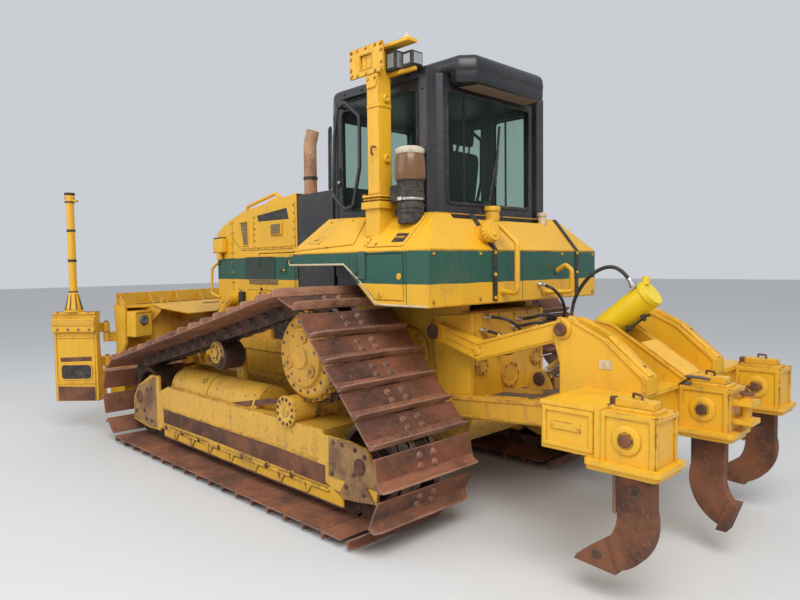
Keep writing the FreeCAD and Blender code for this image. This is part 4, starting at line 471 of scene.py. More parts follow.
def pane(name):
    """Tinted cab glass, thin enough to see the seat through."""
    tree = Tree(name)
    smear = tree.noise(2.2, 5, 0.6, tree.scaled((1, 1, 0.35)))
    shader = tree.node("ShaderNodeBsdfTransparent", Color=(0.80, 0.87, 0.84, 1.0))
    gloss = tree.node("ShaderNodeBsdfPrincipled", Roughness=0.06)
    gloss.inputs["Base Color"].default_value = (0.10, 0.14, 0.13, 1.0)
    view = tree.node("ShaderNodeLayerWeight", Blend=0.2)
    share = tree.plus(0.05, tree.times(tree.math("POWER", view.outputs["Facing"], 3.0), 0.5))
    share = tree.plus(share, tree.times(tree.step(smear, 0.45, 0.75), 0.05))
    both = tree.node("ShaderNodeMixShader", _0=share, _1=shader.outputs[0], _2=gloss.outputs[0])
    tree.node("ShaderNodeOutputMaterial", Surface=both.outputs[0])
    return tree.material


def fabric(name):
    """Woven seat cloth."""
    tree = Tree(name)
    wave = tree.node("ShaderNodeTexWave", Vector=tree.place, Scale=160.0, Distortion=0.6)
    other = tree.node("ShaderNodeTexWave", Vector=tree.scaled((1, 1, -1)), Scale=150.0, Distortion=0.6)
    other.bands_direction = "Z"
    weave = tree.times(wave.outputs["Fac"], other.outputs["Fac"])
    base = tree.mix(weave, (0.016, 0.016, 0.018), (0.032, 0.032, 0.036))
    return tree.finish(base, 0.9, bump=weave, height=0.0015)


def perforated(name, color, pitch=0.016, hole=0.34):
    """Punched sheet: round holes on a staggered grid over X and Z, painted near black as the shade behind the sheet.
    """
    tree = Tree(name)
    x, y, z = tree.xyz()
    row = tree.math("DIVIDE", z, pitch * 0.87)
    shift = tree.times(tree.math("PINGPONG", tree.math("FLOOR", row), 1.0), 0.5)
    u = tree.minus(tree.math("FRACT", tree.plus(tree.math("DIVIDE", x, pitch), shift)), 0.5)
    v = tree.minus(tree.math("FRACT", row), 0.5)
    far = tree.math("SQRT", tree.plus(tree.times(u, u), tree.times(v, v)))
    hole_shade = tree.step(far, hole + 0.05, hole - 0.05)
    wide = tree.noise(6, 5)
    base = tree.mix(wide, color, tuple(c * 0.6 for c in color))
    # Holes take a near black: painted shade of the space behind them
    base = tree.mix(hole_shade, base, (0.006, 0.006, 0.007))
    return tree.finish(base, 0.62, bump=tree.times(hole_shade, -1.0), height=0.003)


def cached(build):
    """A finish that is made once and then shared."""
    made = []

    def get():
        if not made:
            made.append(build())
        return made[0]
    return get


FINISHES = {name: cached(build) for name, build in {
    "body": lambda: paint("body_paint", look().paint_color, 0.22, 0.16, band=True),
    "yellow": lambda: paint("yellow_paint", look().paint_color, 0.30, 0.25),
    "grimy": lambda: paint("grimy_paint", (0.70, 0.36, 0.03), 0.62, 0.62, low=0.75),
    "frame": lambda: paint("frame_paint", (0.74, 0.41, 0.045), 0.60, 1.05),
    "patchy": lambda: rusted("patchy_steel", (0.38, 0.21, 0.075), (0.13, 0.065, 0.035), 0.25, 1.2),
    "worn": lambda: paint("worn_paint", (0.78, 0.42, 0.022), 0.30, 0.45),
    "lemon": lambda: paint("lemon_paint", look().ram_color, 0.10, 0.05),
    "shoe": lambda: rusted("shoe_steel", (0.28, 0.105, 0.05), (0.095, 0.042, 0.026), 0.6),
    "ground": lambda: rusted("ground_steel", (0.19, 0.062, 0.028), (0.050, 0.022, 0.014), 0.25, 0.9),
    "link": lambda: rusted("link_steel", (0.12, 0.055, 0.030), (0.030, 0.016, 0.011), 0.5, 1.6),
    "rust": lambda: rusted("rusted_steel", look().rust_color, DARK_RUST, 0.2, 1.3),
    "black": lambda: coated("black_steel", (0.012, 0.012, 0.013), 0.5, 0.35),
    "charcoal": lambda: coated("charcoal_paint", look().cab_color, 0.40, 0.10),
    "plastic": lambda: coated("cab_plastic", (0.011, 0.012, 0.015), 0.34, 0.08),
    "grey": lambda: coated("grey_paint", (0.085, 0.088, 0.092), 0.45, 0.2),
    "steel": lambda: coated("bare_steel", (0.50, 0.50, 0.50), 0.28, 0.1, metal=1.0),
    "chrome": lambda: coated("rod_chrome", (0.72, 0.72, 0.72), 0.12, 0.05, metal=1.0),
    "pipe": lambda: rusted("exhaust_steel", (0.48, 0.27, 0.16), (0.24, 0.11, 0.06), 0.1, 0.8),
    "bowl": lambda: coated("bowl_plastic", (0.14, 0.062, 0.025), 0.18, 0.15),
    "beige": lambda: coated("beige_plastic", (0.50, 0.42, 0.32), 0.4, 0.3),
    "rubber": lambda: coated("hose_rubber", (0.010, 0.010, 0.011), 0.62, 0.3),
    # seam_shadow is painted shade: a dark brown laid on thin strips where the grooves and gaps between panels fall
    "seam": lambda: coated("seam_shadow", (0.05, 0.028, 0.010), 0.9, 0.0),
    "mesh": lambda: perforated("mesh_panel", (0.36, 0.24, 0.09)),
    "dark_mesh": lambda: perforated("dark_mesh_panel", (0.05, 0.075, 0.055), 0.02, 0.33),
    "bright": lambda: rusted("worn_steel", (0.36, 0.17, 0.095), (0.15, 0.062, 0.035), 0.9),
    "liner": lambda: coated("liner_panel", (0.17, 0.115, 0.07), 0.7, 0.3),
    "band": lambda: coated("band_paint", look().band_color, 0.4, 0.15),
    "pale": lambda: coated("pale_paint", (0.52, 0.42, 0.26), 0.5, 0.3),
    # Dusty dark steel, which also gives the painted shade of the final drives' holes
    "dust_and_shade": lambda: coated("dust_and_shade_steel", (0.10, 0.06, 0.04), 0.75, 0.5),
    "lens": lambda: coated("lamp_lens", (0.24, 0.25, 0.25), 0.10, 0.1), "glass": lambda: pane("cab_glass"),
    "cloth": lambda: fabric("seat_fabric"),}.items()}

# What each CAD node shows, by the start of its name; the first match holds
CAD_FINISHES = (
    # start of the node's name, finish
    ("track_frame", "frame"), ("track_", "shoe"), ("rollers", "link"), ("final_drive", "grimy"),
    ("main_frame", "grimy"), ("cowl", "charcoal"), ("cab_glass", "glass"), ("door_glass", "glass"),
    ("cab_roof", "plastic"), ("cab_", "charcoal"), ("seat", "cloth"), ("hood_rails", "yellow"),
    ("hood", "body"), ("radiator_guard", "body"), ("grille", "black"), ("engine_door", "body"),
    ("engine_block", "black"), ("fender", "body"), ("box_door", "body"), ("fuel_tank", "body"),
    ("exhaust", "pipe"), ("air_bowl", "bowl"), ("equipment_post", "yellow"), ("ripper_barrel", "lemon"),
    ("ripper_shanks", "rust"), ("ripper_rod", "chrome"), ("ripper_lower", "grimy"), ("lift_rod", "chrome"),
    ("angle_rod", "chrome"), ("tilt_rod", "chrome"), ("push_frame", "grimy"), ("blade_", "worn"), ("wing_", "worn"),
    ("ripper_", "yellow"), ("", "yellow"),
)


def finish_cad():
    """Gives each CAD node its finish."""
    for name, node in frame["nodes"].items():
        finish = next(f for start, f in CAD_FINISHES if name.startswith(start))
        node.data.materials.clear()
        node.data.materials.append(FINISHES[finish]())


# Tracks and what carries them

TRACK_Y = 1080.0
SHOE_WIDTH = 840.0
LINK_OUTER, LINK_INNER, SHOE_PLATE, GROUSER = 55.0, 45.0, 12.0, 57.0
WHEELS = (
    # centre x, centre z, radius of the pin line
    (2660.0, 450.0, 326.0), (-18.0, 1084.0, 355.0), (-644.0, 450.0, 326.0),
)
SPROCKET = (-18.0, 1084.0)


def course_parts():
    """Straight runs tangent to the wheels and the arcs between them, counter-clockwise."""
    wheels = np.array(WHEELS)
    after = np.roll(wheels, -1, 0)
    gap = after - wheels
    lean = np.arctan2(gap[:, 1], gap[:, 0]) - np.arccos(-gap[:, 2] / np.hypot(gap[:, 0], gap[:, 1]))
    way = np.stack([np.cos(lean), np.sin(lean)], 1)
    leave = wheels[:, :2] + wheels[:, 2:] * way
    arrive = after[:, :2] + after[:, 2:] * way
    turn = (np.roll(lean, -1) - lean) % (2 * np.pi)
    return leave, arrive, lean, turn, after


def course(distance):
    """Place and direction of the pin line at distances along it."""
    leave, arrive, lean, turn, after = course_parts()
    runs = np.linalg.norm(arrive - leave, axis=1)
    lengths = np.stack([runs, turn * after[:, 2]], 1).ravel()
    ends = np.cumsum(lengths)
    distance = np.asarray(distance, float) % ends[-1]
    part = np.searchsorted(ends, distance, side="right")
    rest = distance - (ends - lengths)[part]
    wheel, on_run = part // 2, part % 2 == 0
    share = (rest / lengths[part])[..., None]
    run = leave[wheel] + share * (arrive - leave)[wheel]
    angle = lean[wheel] + rest / after[wheel, 2]
    arc = after[wheel, :2] + after[wheel, 2:] * np.stack([np.cos(angle), np.sin(angle)], -1)
    straight = (arrive - leave)[wheel]
    heading = np.where(on_run, np.arctan2(straight[..., 1], straight[..., 0]), angle + np.pi / 2)
    return np.where(on_run[..., None], run, arc), heading, ends[-1]


def on_course(place, heading, along, out, y):
    """Points given along and outwards of the pin line at each place, broadcast together."""
    t = np.stack([np.cos(heading), np.sin(heading)], -1)
    n = np.stack([np.sin(heading), -np.cos(heading)], -1)
    flat = place + along[..., None] * t + out[..., None] * n
    y = np.broadcast_to(y, flat.shape[:-1])
    return np.stack([flat[..., 0], y, flat[..., 1]], -1)


def build_track(side_name, sign):
    """Shoes: a section of the plate and its worn grouser carried across the width. Links: an
    hourglass plate at each pitch on both rails, with bosses, bushings and pins at the joints."""
    whole = course(0.0)[2]
    count = int(round(whole / 203.0))
    pitch = whole / count
    half = (pitch - 8.0) / 2
    place, heading, whole = course((np.arange(count) + 0.5) * pitch)
    joint, joint_way, whole = course(np.arange(count) * pitch)
    kit = Surface()
    top = LINK_OUTER + SHOE_PLATE
    tip = top + GROUSER
    # along, out, how far the tip's wear moves the point
    section = np.array([(-half, LINK_OUTER + 3, 0), (-half, top - 3, 0), (-half + 5, top, 0), (-half + 60, top, 0),
        (half - 62, top, 0), (half - 40, top + 2, 0), (half - 27, top + 9, 0), (half - 20, top + 24, 0.3),
        (half - 14, tip - 12, 0.7), (half - 11, tip - 2, 1), (half - 7, tip, 1), (half - 2, tip - 2, 1),
        (half, tip - 9, 0.8), (half, top - 6, 0), (half - 3, LINK_OUTER + 3, 0)])
    across_y = SHOE_WIDTH * np.array([0, 0.004, 0.02, 0.06, 0.14, 0.26, 0.4, 0.5, 0.6, 0.74, 0.86, 0.94,
        0.98, 0.996, 1.0])
    random = np.random.default_rng(7 if sign > 0 else 8)
    end = np.minimum(across_y, SHOE_WIDTH - across_y)
    wear = look().wear * 1000 * np.exp(-end / 14.0) + 5.0 * np.exp(-end / 90.0)
    wear = wear + random.uniform(0, 3.0, (count, len(across_y)))
    tuck = 3.0 * np.exp(-end / 4.0)
    along = section[None, None, :, 0] * (1 - tuck / half)[None, :, None]
    out = section[None, None, :, 1] - section[None, None, :, 2] * wear[..., None]
    rings = on_course(place[:, None, None], heading[:, None, None], along + out * 0, out,
        (TRACK_Y - SHOE_WIDTH / 2 + across_y)[None, :, None])
    strips = np.zeros(len(section), int)
    strips[8:13] = 1
    strips[[2, 3]] = 2
    kit.loft(rings, strips)
    # Bolts: two rows of two on each shoe
    rows = np.array([(a, y) for a in (-48.0, 14.0) for y in (TRACK_Y - 62, TRACK_Y + 62)])
    heads = on_course(place[:, None], heading[:, None], np.broadcast_to(rows[:, 0], (count, 4)),
        np.full((count, 4), top), rows[:, 1])
    normal = np.stack([np.sin(heading), 0 * heading, -np.cos(heading)], -1)[:, None].repeat(4, 1)
    kit.bolts(heads.reshape(-1, 3), normal.reshape(-1, 3), 17.0, 15.0)
    # Links
    turn = np.linspace(0, 2 * np.pi, 28, endpoint=False)
    reach = np.abs(np.cos(turn)) ** 0.35 * np.sign(np.cos(turn))
    link_along = (pitch / 2 + 34) * reach
    waist = 1 - 0.22 * np.exp(-(link_along / 48.0) ** 2)
    link_out = np.where(np.sin(turn) > 0, LINK_OUTER, LINK_INNER) * np.abs(np.sin(turn)) ** 0.5 \
        * np.sign(np.sin(turn)) * np.where(np.sin(turn) > 0, 1, waist)
    for middle in (TRACK_Y - 85, TRACK_Y + 85):
        for low, high, back in ((-19, 0, 1), (0, 19, -1)):
            rings = on_course(place[:, None, None], heading[:, None, None],
                np.broadcast_to(link_along + back * 8, (count, 2, 28)), np.broadcast_to(link_out, (count, 2, 28)),
                (middle + np.array([low, high]))[None, :, None])
            kit.loft(rings, 3)
    # Pins, bosses and bushings at the joints
    ring = circle(14)
    for y0, y1, radius in ((-66, 66, 33.0), (64, 112, 40.0), (-112, -64, 40.0), (-118, 118, 21.0)):
        rings = on_course(joint[:, None, None], joint_way[:, None, None],
            np.broadcast_to(ring[:, 0] * radius, (count, 2, 14)),
            np.broadcast_to(ring[:, 1] * radius, (count, 2, 14)), (TRACK_Y + np.array([y0, y1]))[None, :, None])
        kit.loft(rings, 3)
    kit.make("track_" + side_name + "_dressed", "tractor", "track_steel",
        ("shoe", "bright", "ground", "link"), ("track_" + side_name,), sign=sign)


def build_drive(side_name, sign):
    """Final drive: turned covers, a ring of rim bumps, three bosses, and the toothed ring."""
    x, z = SPROCKET
    at = np.array([x, 0.0, z])
    kit = Surface()
    kit.turn(at, LEFT, [(431, 200), (431, 256), (440, 260), (1015, 260), (1020, 240), (1020, 200)], 40)
    kit.turn(at, LEFT, [(1019, 150), (1019, 215), (1151, 215), (1151, 150)], 40)
    kit.turn(at, LEFT, [(1150, 200), (1150, 292), (1158, 300), (1210, 300), (1226, 294), (1240, 284),
        (1250, 262), (1251, 236), (1247, 230), (1247, 218), (1252, 214), (1270, 208),
        (1278, 196), (1278, 92), (1281, 84), (1290, 78), (1292, 70), (1292, 30), (1290, 26)], 72)
    # Rim bumps around the cover
    rim = upright((x, 0, z), 300, 28, np.pi / 28)
    profile = np.array([(1156, 17), (1156, 22), (1204, 22), (1212, 16), (1212, 4)])
    u, v = across(np.array(LEFT))
    ring = circle(12)
    flat = ring[:, :1] * u + ring[:, 1:] * v
    rings = rim[:, None, None] + profile[None, :, :1, None] * np.array(LEFT) \
        + profile[None, :, 1:, None] * flat
    kit.loft(rings)
    kit.bolts(rim + (0, 1211, 0), LEFT, 11, 9, 2)
    # Inner bolt circle, and its holes as dark discs of painted shade
    kit.bolts(upright((x, 1250, z), 246, 18), LEFT, 9, 8, 2)
    for degrees in (106.0, 215.0, 340.0):
        bx, bz = x + 147 * math.cos(math.radians(degrees)), z + 147 * math.sin(math.radians(degrees))
        kit.turn((bx, 0, bz), LEFT, [(1276, 38), (1276, 43), (1286, 42), (1290, 38), (1291, 31),
            (1287, 28), (1286, 20), (1290, 17), (1291, 8)], 28)
        kit.turn((bx, 0, bz), LEFT, [(1285, 12), (1292, 12), (1293, 8)], 6, 2)
    for degrees in (60.0, 165.0, 275.0, 310.0):
        bx, bz = x + 165 * math.cos(math.radians(degrees)), z + 165 * math.sin(math.radians(degrees))
        kit.turn((bx, 0, bz), LEFT, [(1277, 10), (1279, 10), (1279, 6)], 12, 2)
    # Toothed ring
    steps = np.array([(-0.40, 318), (-0.30, 326), (-0.17, 344), (-0.06, 348), (0.06, 348), (0.17, 344),
        (0.30, 326), (0.40, 318)])
    teeth = (np.arange(21)[:, None] + steps[None, :, 0]).ravel() * 2 * np.pi / 21
    radius = np.tile(steps[:, 1], 21)
    outline = np.stack([x + radius * np.cos(teeth), 0 * teeth, z + radius * np.sin(teeth)], 1)
    centre = np.array([x, 0, z])
    inner = centre + (outline - centre) * 0.985
    kit.loft(np.array([inner + (0, 1050, 0), outline + (0, 1056, 0), outline + (0, 1104, 0),
        inner + (0, 1110, 0)]), 1)
    kit.make("final_drive_" + side_name + "_dressed", "tractor", "yellow_paint",
        ("grimy", "link", "dust_and_shade"), ("final_drive_" + side_name,), sign=sign)


GUSSET_X = (1909.0, 1600.0, 1290.0, 945.0, 590.0, 245.0, -75.0)


def build_frame_details():
    """Bands, gussets, pivot flange, end plates and bolts on both track frames."""
    y = 1285.0
    kit = Surface()
    rusty = side(y, [(2150, 396), (2150, 268), (1350, 272), (-285, 250), (-285, 384), (670, 402)])
    kit.plate(rusty, LEFT, -1, 3.5, 2, 1)
    kit.strip(side(y, [(2170, 408), (-200, 408)]), LEFT, 14, 9)
    # Roller guard under the ledge, worn bare along its lower edge
    kit.plate(side(y - 9, [(2150, 262), (2150, 140), (-470, 136), (-470, 244)]), LEFT, -1, 9, 3, 2)
    kit.strip(side(y, [(2170, 228), (-330, 223)]), LEFT, 16, 12)
    kit.strip(side(y, [(2150, 144), (-470, 140)]), LEFT, 12, 3, 1)
    for x in GUSSET_X:
        for lean in (-1, 1):
            corners = [(x + lean * 20, 222), (x + lean * 66, 222), (x + lean * 16, 152), (x + lean * 2, 152)]
            kit.plate(side(y, corners), LEFT, -1, 11, 3)
        kit.turn((x + 165, y + 4, 240), LEFT, [(-6, 27), (4, 27), (8, 23), (8, 19)], 20)
        kit.bolts([(x + 165, y + 12, 240)], LEFT, 16, 12, 1)
    # Rear end plates
    kit.plate(side(y, [(-330, 586), (-535, 586), (-700, 566), (-803, 440), (-799, 330), (-321, 321)]),
        LEFT, -1, 5, 3, 4)
    kit.plate(side(y + 5, [(-577, 424), (-458, 262), (-466, 206), (-640, 222), (-780, 246), (-706, 330)]),
        LEFT, -1, 12, 4, 4)
    places = [(-520, 300), (-690, 290), (-600, 392), (-380, 560), (-470, 560), (-600, 548), (-690, 520), (-365, 350)]
    kit.bolts(side(y + 5, places[3:]), LEFT, 13, 11, 1)
    kit.bolts(side(y + 17, places[:3]), LEFT, 13, 11, 1)
    kit.turn((-644, y + 4, 450), LEFT, [(-2, 52), (8, 52), (14, 46), (14, 26), (10, 22), (10, 8)], 28, 1)
    # Front end plates
    kit.plate(side(y, [(2300, 680), (2350, 678), (2690, 550), (2812, 412), (2812, 214), (2500, 186), (2300, 194)]),
        LEFT, -1, 5, 3, 4)
    kit.turn((2660, y + 4, 450), LEFT, [(-2, 60), (10, 60), (16, 52), (16, 30), (11, 26), (11, 8)], 28, 1)
    kit.bolts(side(y + 5, [(2390, 560), (2480, 540), (2560, 330), (2400, 250), (2740, 300), (2520, 250)]),
        LEFT, 15, 12, 1)
    # Pivot flange
    centre = (130, 0, 688)
    kit.turn(centre, LEFT, [(1290, 60), (1290, 104), (1299, 113), (1309, 113), (1314, 108),
        (1314, 70), (1310, 64), (1310, 40), (1316, 36), (1316, 22), (1311, 18), (1311, 6)], 40)
    kit.bolts(upright((130, 1314, 688), 90, 12, np.pi / 12), LEFT, 10, 9, 1)
    # Ports in the recoil housing and its rusty strip, laid round the tube
    for x, lean in ((1833, -30.0), (1503, 48.0), (900, -30.0)):
        way = np.array([0, math.cos(math.radians(lean)), math.sin(math.radians(lean))])
        at = np.array([x, TRACK_Y, 610.0]) + way * 162
        kit.turn(at, way, [(0, 34), (6, 34), (9, 30), (9, 22), (5, 20), (5, 4)], 24)
        u, v = across(way)
        kit.bolts(at + way * 6 + np.array([u, -u, v, -v]) * 27, way, 6, 5, 1)
    share = np.linspace(0, 1, 30)[:, None]
    middle = -0.60 + 1.30 * share
    angle = middle + np.array([-0.14, -0.07, 0.0, 0.07, 0.14])
    grid = np.stack([np.broadcast_to(1396 - 1040 * share, angle.shape), TRACK_Y + 167 * np.cos(angle),
        610 + 167 * np.sin(angle)], -1)
    kit.sheet(grid, 1)
    for x in (660, 1400, 2030):
        kit.turn((x, TRACK_Y, 610), AHEAD, [(-14, 160), (-14, 170), (14, 170), (14, 160)], 48)
    # Carrier roller's cap
    at = (1277, 0, 996)
    kit.turn(at, LEFT, [(1190, 60), (1190, 92), (1214, 92), (1220, 86), (1220, 70), (1216, 66),
        (1216, 46), (1222, 42), (1222, 10)], 36)
    kit.turn(at, LEFT, [(1188, 90), (1188, 97), (1206, 97), (1206, 90)], 36, 3)
    kit.bolts(upright((1277, 1217, 996), 56, 6), LEFT, 8, 7, 1)
    # Weld along the top edge of the frame
    kit.weld(side(y - 1, [(2040, 619), (640, 619)]))
    kit.mirrored().make("frame_details", "tractor", "yellow_paint", ("frame", "rust", "worn", "pale", "patchy"))


# Hood, fenders and tank

HOOD_Y = 500.0


def hood_top(x):
    """Height of the hood's top along it."""
    return np.interp(x, (1079, 1950, 2261, 2342), (2359, 2259, 2169, 2133))


def build_hood():
    """Seams, punched panels, blank window, vents, latches and bolts of the hood's sides and top."""
    y = HOOD_Y
    kit = Surface()
    # Punched panels with a frame around each
    kit.plate(side(y, [(2030, 2148), (1881, 2157), (1876, 1919), (1974, 1922)]), LEFT, -1, 2.5, 1, 2)
    kit.plate(side(y, [(1448, 1811), (1938, 1811), (1938, 1604), (1448, 1604)]), LEFT, -1, 8, 2, 3)
    kit.plate(side(y, [(1392, 1598), (1877, 1598), (1877, 1547), (1392, 1547)]), LEFT, -1, 8, 2, 2)
    for outline in (((1448, 1811), (1938, 1811), (1938, 1604), (1448, 1604)),
            ((1881, 2157), (2030, 2148), (1974, 1922), (1876, 1919))):
        kit.strip(side(y, outline), LEFT, 12, 9, 0, closed=True)
    # Dark blank window in its frame
    window = [(1720, 2199), (1230, 2241), (1199, 2139), (1699, 2143)]
    kit.plate(side(y, window), LEFT, -1, 3, 2, 1)
    # Vent box with a tan screen
    kit.block((1300, y - 2, 2000), (1480, y + 16, 2116), 6)
    kit.plate(side(y + 15, [(1314, 2102), (1466, 2102), (1466, 2014), (1314, 2014)]), LEFT, 0, 4, 2, 2)
    # Seams: thin strips in the seam finish, dark brown as painted shade of the grooves
    seams = ([(2185, 2180), (2185, 1470)], [(1790, 2195), (1790, 1880)], [(2010, 1873), (1147, 1873)],
        [(2191, 2013), (2010, 1874)], [(1912, 1490), (1372, 1490)], [(1104, 2290), (1104, 1460)],
        [(1125, 1428), (1125, 1838)], [(1695, 1428), (1695, 1838)])
    for seam in seams:
        kit.strip(side(y, seam), LEFT, 5, 0.8, 4)
    kit.strip(side(y, [(1150, 1905), (1990, 1905)]), LEFT, 30, 3.5)
    # Bolts along the seams
    for x, low, high, count in ((1768, 1905, 2185, 6), (2160, 1560, 2150, 7), (2208, 1560, 2150, 7),
            (1125, 1900, 2260, 6)):
        kit.bolts(side(y, np.linspace((x, low), (x, high), count)), LEFT, 8, 6, 5)
    kit.bolts(side(y, np.linspace((1190, 1890), (1960, 1890), 7)), LEFT, 8, 6, 5)
    # Latches of the door and the lower panel
    for x, z in ((1308, 1679), (1640, 1500), (1210, 1760)):
        kit.block((x - 52, y - 1, z - 36), (x + 52, y + 6, z + 36), 5)
        kit.turn((x + 18, y + 5, z), LEFT, [(0, 17), (6, 17), (9, 13)], 20, 1)
        kit.strip(side(y + 6, [(x - 40, z), (x - 6, z)]), LEFT, 16, 4, 5)
    # Front box that stands out at the nose, with its cap and a short cylinder below
    kit.block((2290, y - 2, 1856), (2480, y + 62, 2004), 10)
    kit.block((2300, y + 4, 2002), (2470, y + 56, 2016), 4, 1)
    kit.turn((2385, y + 34, 1790), UP, [(0, 24), (0, 32), (60, 32), (68, 26)], 28, 5)
    kit.pipe([(2455, 505, 1770), (2540, 540, 1700), (2560, 540, 1440), (2455, 505, 1400)], 14, 10, 7, 40)
    kit.mirrored()
    # Top: long seams, cross seams and the dome
    xs = np.array([1095, 1950, 2255, 2335.0])
    # Long and cross seams on top: dark strips of painted shade for their grooves
    for offset in (-330, -130, 130, 330):
        kit.strip(np.stack([xs, np.full(4, offset), hood_top(xs)], 1), UP, 5, 0.8, 4)
    for x in (1250, 1620, 1940, 2240):
        kit.strip([(x, -425, hood_top(x)), (x, 425, hood_top(x))], UP, 5, 0.8, 4)
        low = hood_top(x - 22)
        kit.bolts(np.linspace((x - 22, -400, low), (x - 22, 400, low), 6), UP, 8, 6, 5)
    # Dome over the engine: a half ellipsoid on a short skirt
    turn, rise = np.meshgrid(np.linspace(0, 2 * np.pi, 40, endpoint=False), np.linspace(0, 1.5, 12))
    dome = np.stack([1810 + 197 * np.cos(rise) * np.cos(turn), 190 + 130 * np.cos(rise) * np.sin(turn),
        2262 + 140 * np.sin(rise)], -1)
    kit.loft(dome)
    collar = [(-30, 72), (-30, 86), (8, 86), (14, 80), (14, 68), (4, 64)]
    kit.turn((1450, 60, hood_top(1450)), UP, collar, 32, 6)
    kit.turn((1450, 60, 2560), UP, [(-14, 62), (-14, 69), (14, 69), (14, 62)], 32, 1)
    kit.make("hood_details", "tractor", "yellow_paint",
        ("body", "black", "mesh", "dark_mesh", "seam", "worn", "pipe", "yellow"))


def build_guard():
    """Nose guard: bars across the grille, bolts and corner straps, lift cylinder yokes."""
    kit = Surface()
    for z in np.linspace(1320, 2080, 12):
        kit.block((2484, -380, z - 7), (2496, 380, z + 7), 3, 1)
    for y in (-190, 190):
        kit.block((2484, y - 10, 1300), (2500, y + 10, 2095))
    for y in (-440, 440):
        kit.bolts(np.linspace((2485, y, 1330), (2485, y, 2080), 8), AHEAD, 12, 10, 2)
    for sign in (1, -1):
        at = (2084, 0, 1397)
        kit.turn(at, (0, sign, 0), [(498, 70), (498, 96), (508, 100), (520, 96), (524, 88), (524, 60)], 40, 3)
        kit.turn(at, (0, sign, 0), [(519, 98), (523, 102), (528, 98)], 40)
        kit.block((1960, sign * 470, 1330), (2030, sign * 545, 1470), 8, 1)
    kit.make("guard_details", "tractor", "yellow_paint", ("yellow", "black", "worn", "grey"))


def build_fenders():
    """Lids, hinge line, latches, seams and edge trim of the fenders and the tank."""
    kit = Surface()
    slope = unit([0, 250.0, 265.0])
    lids = (
        # corners of each lid on the slanted top
        ((325, 722, 2072), (-130, 733, 2062), (-221, 949, 1858), (455, 985, 1824)),
        ((-735, 760, 2036), (-372, 760, 2036), (-386, 975, 1833), (-735, 975, 1833)),
    )
    for lid in lids:
        outline = np.array(lid, float)
        # drop each corner on to the slope through the ridge line
        outline[:, 2] = 2060 - (outline[:, 1] - 735) * 250 / 265
        kit.plate(outline, slope, -1, 9, 4)
        # Strip round each lid: dark brown painted shade of the gap
        kit.strip(outline, slope, 5, 0.9, 1, closed=True)

    def on_slope(x, y, up=0.0):
        return np.array([x, y, 2060 - (y - 735) * 250 / 265]) + slope * up

    # Latch plates; the recessed pull is a black strip standing for its recess, painted shade
    kit.plate([on_slope(310, 934, 9), on_slope(241, 871, 9), on_slope(155, 884, 9), on_slope(184, 938, 9)],
        slope, -1, 4, 1, 2)
    kit.strip([on_slope(215, 905, 13), on_slope(262, 912, 13)], slope, 9, 1.5, 3)
    kit.plate([on_slope(-607, 951, 9), on_slope(-606, 886, 9), on_slope(-739 + 20, 892, 9),
        on_slope(-739 + 20, 951, 9)], slope, -1, 2, 1, 3)
    kit.strip([on_slope(-612, 920, 10), on_slope(-708, 920, 10)], slope, 12, 8, 2)
    # Knuckles of the hinge line
    for share in np.linspace(0.05, 0.95, 8):
        a, b = on_slope(-395 + 33 * share, 775 + 180 * share, 6), on_slope(-392 + 33 * share, 795 + 180 * share, 6)
        kit.pipe([a, b], 9, 10)
    kit.bolts([on_slope(x, y, 9) for x, y in ((250, 760), (0, 760), (60, 965), (420, 965), (-470, 780),
        (-700, 780), (-470, 960))], slope, 8, 6, 2)
    # Side: seams as dark strips of painted shade, hinge piece and the pale trim along the lower edge
    for seam in ([(-232, 1800), (-232, 1655)], [(-785, 1805), (-785, 1450)], [(478, 1808), (478, 1730)]):
        kit.strip(side(1000, seam), LEFT, 5, 0.8, 1)
    kit.block((-400, 998, 1617), (-324, 1012, 1806), 4, 4)
    edge = [(494, 1744), (485, 1722), (-165, 1722), (-330, 1612), (-490, 1458), (-596, 1452), (-970, 1452)]
    kit.strip(side(1000, edge), LEFT, 14, 3, 5)
    kit.strip(side(1000, [(-975, 1806), (430, 1806)]), LEFT, 10, 2.5)
    # Keyhole latches of the side door
    for x, z in ((-720, 1640), (-540, 1520)):
        kit.turn((x, 999, z), LEFT, [(0, 22), (5, 22), (8, 18), (8, 8), (5, 6)], 24, 2)
    kit.mirrored()
    # Ridge seam lines in front of and beside the cab, as dark strips of painted shade
    kit.strip([(-781, -735, 2060), (-781, -575, 2060)], UP, 5, 0.8, 1)
    kit.strip([(-781, 575, 2060), (-781, 735, 2060)], UP, 5, 0.8, 1)
    kit.make("fender_details", "tractor", "yellow_paint", ("body", "seam", "worn", "black", "band", "pale"))


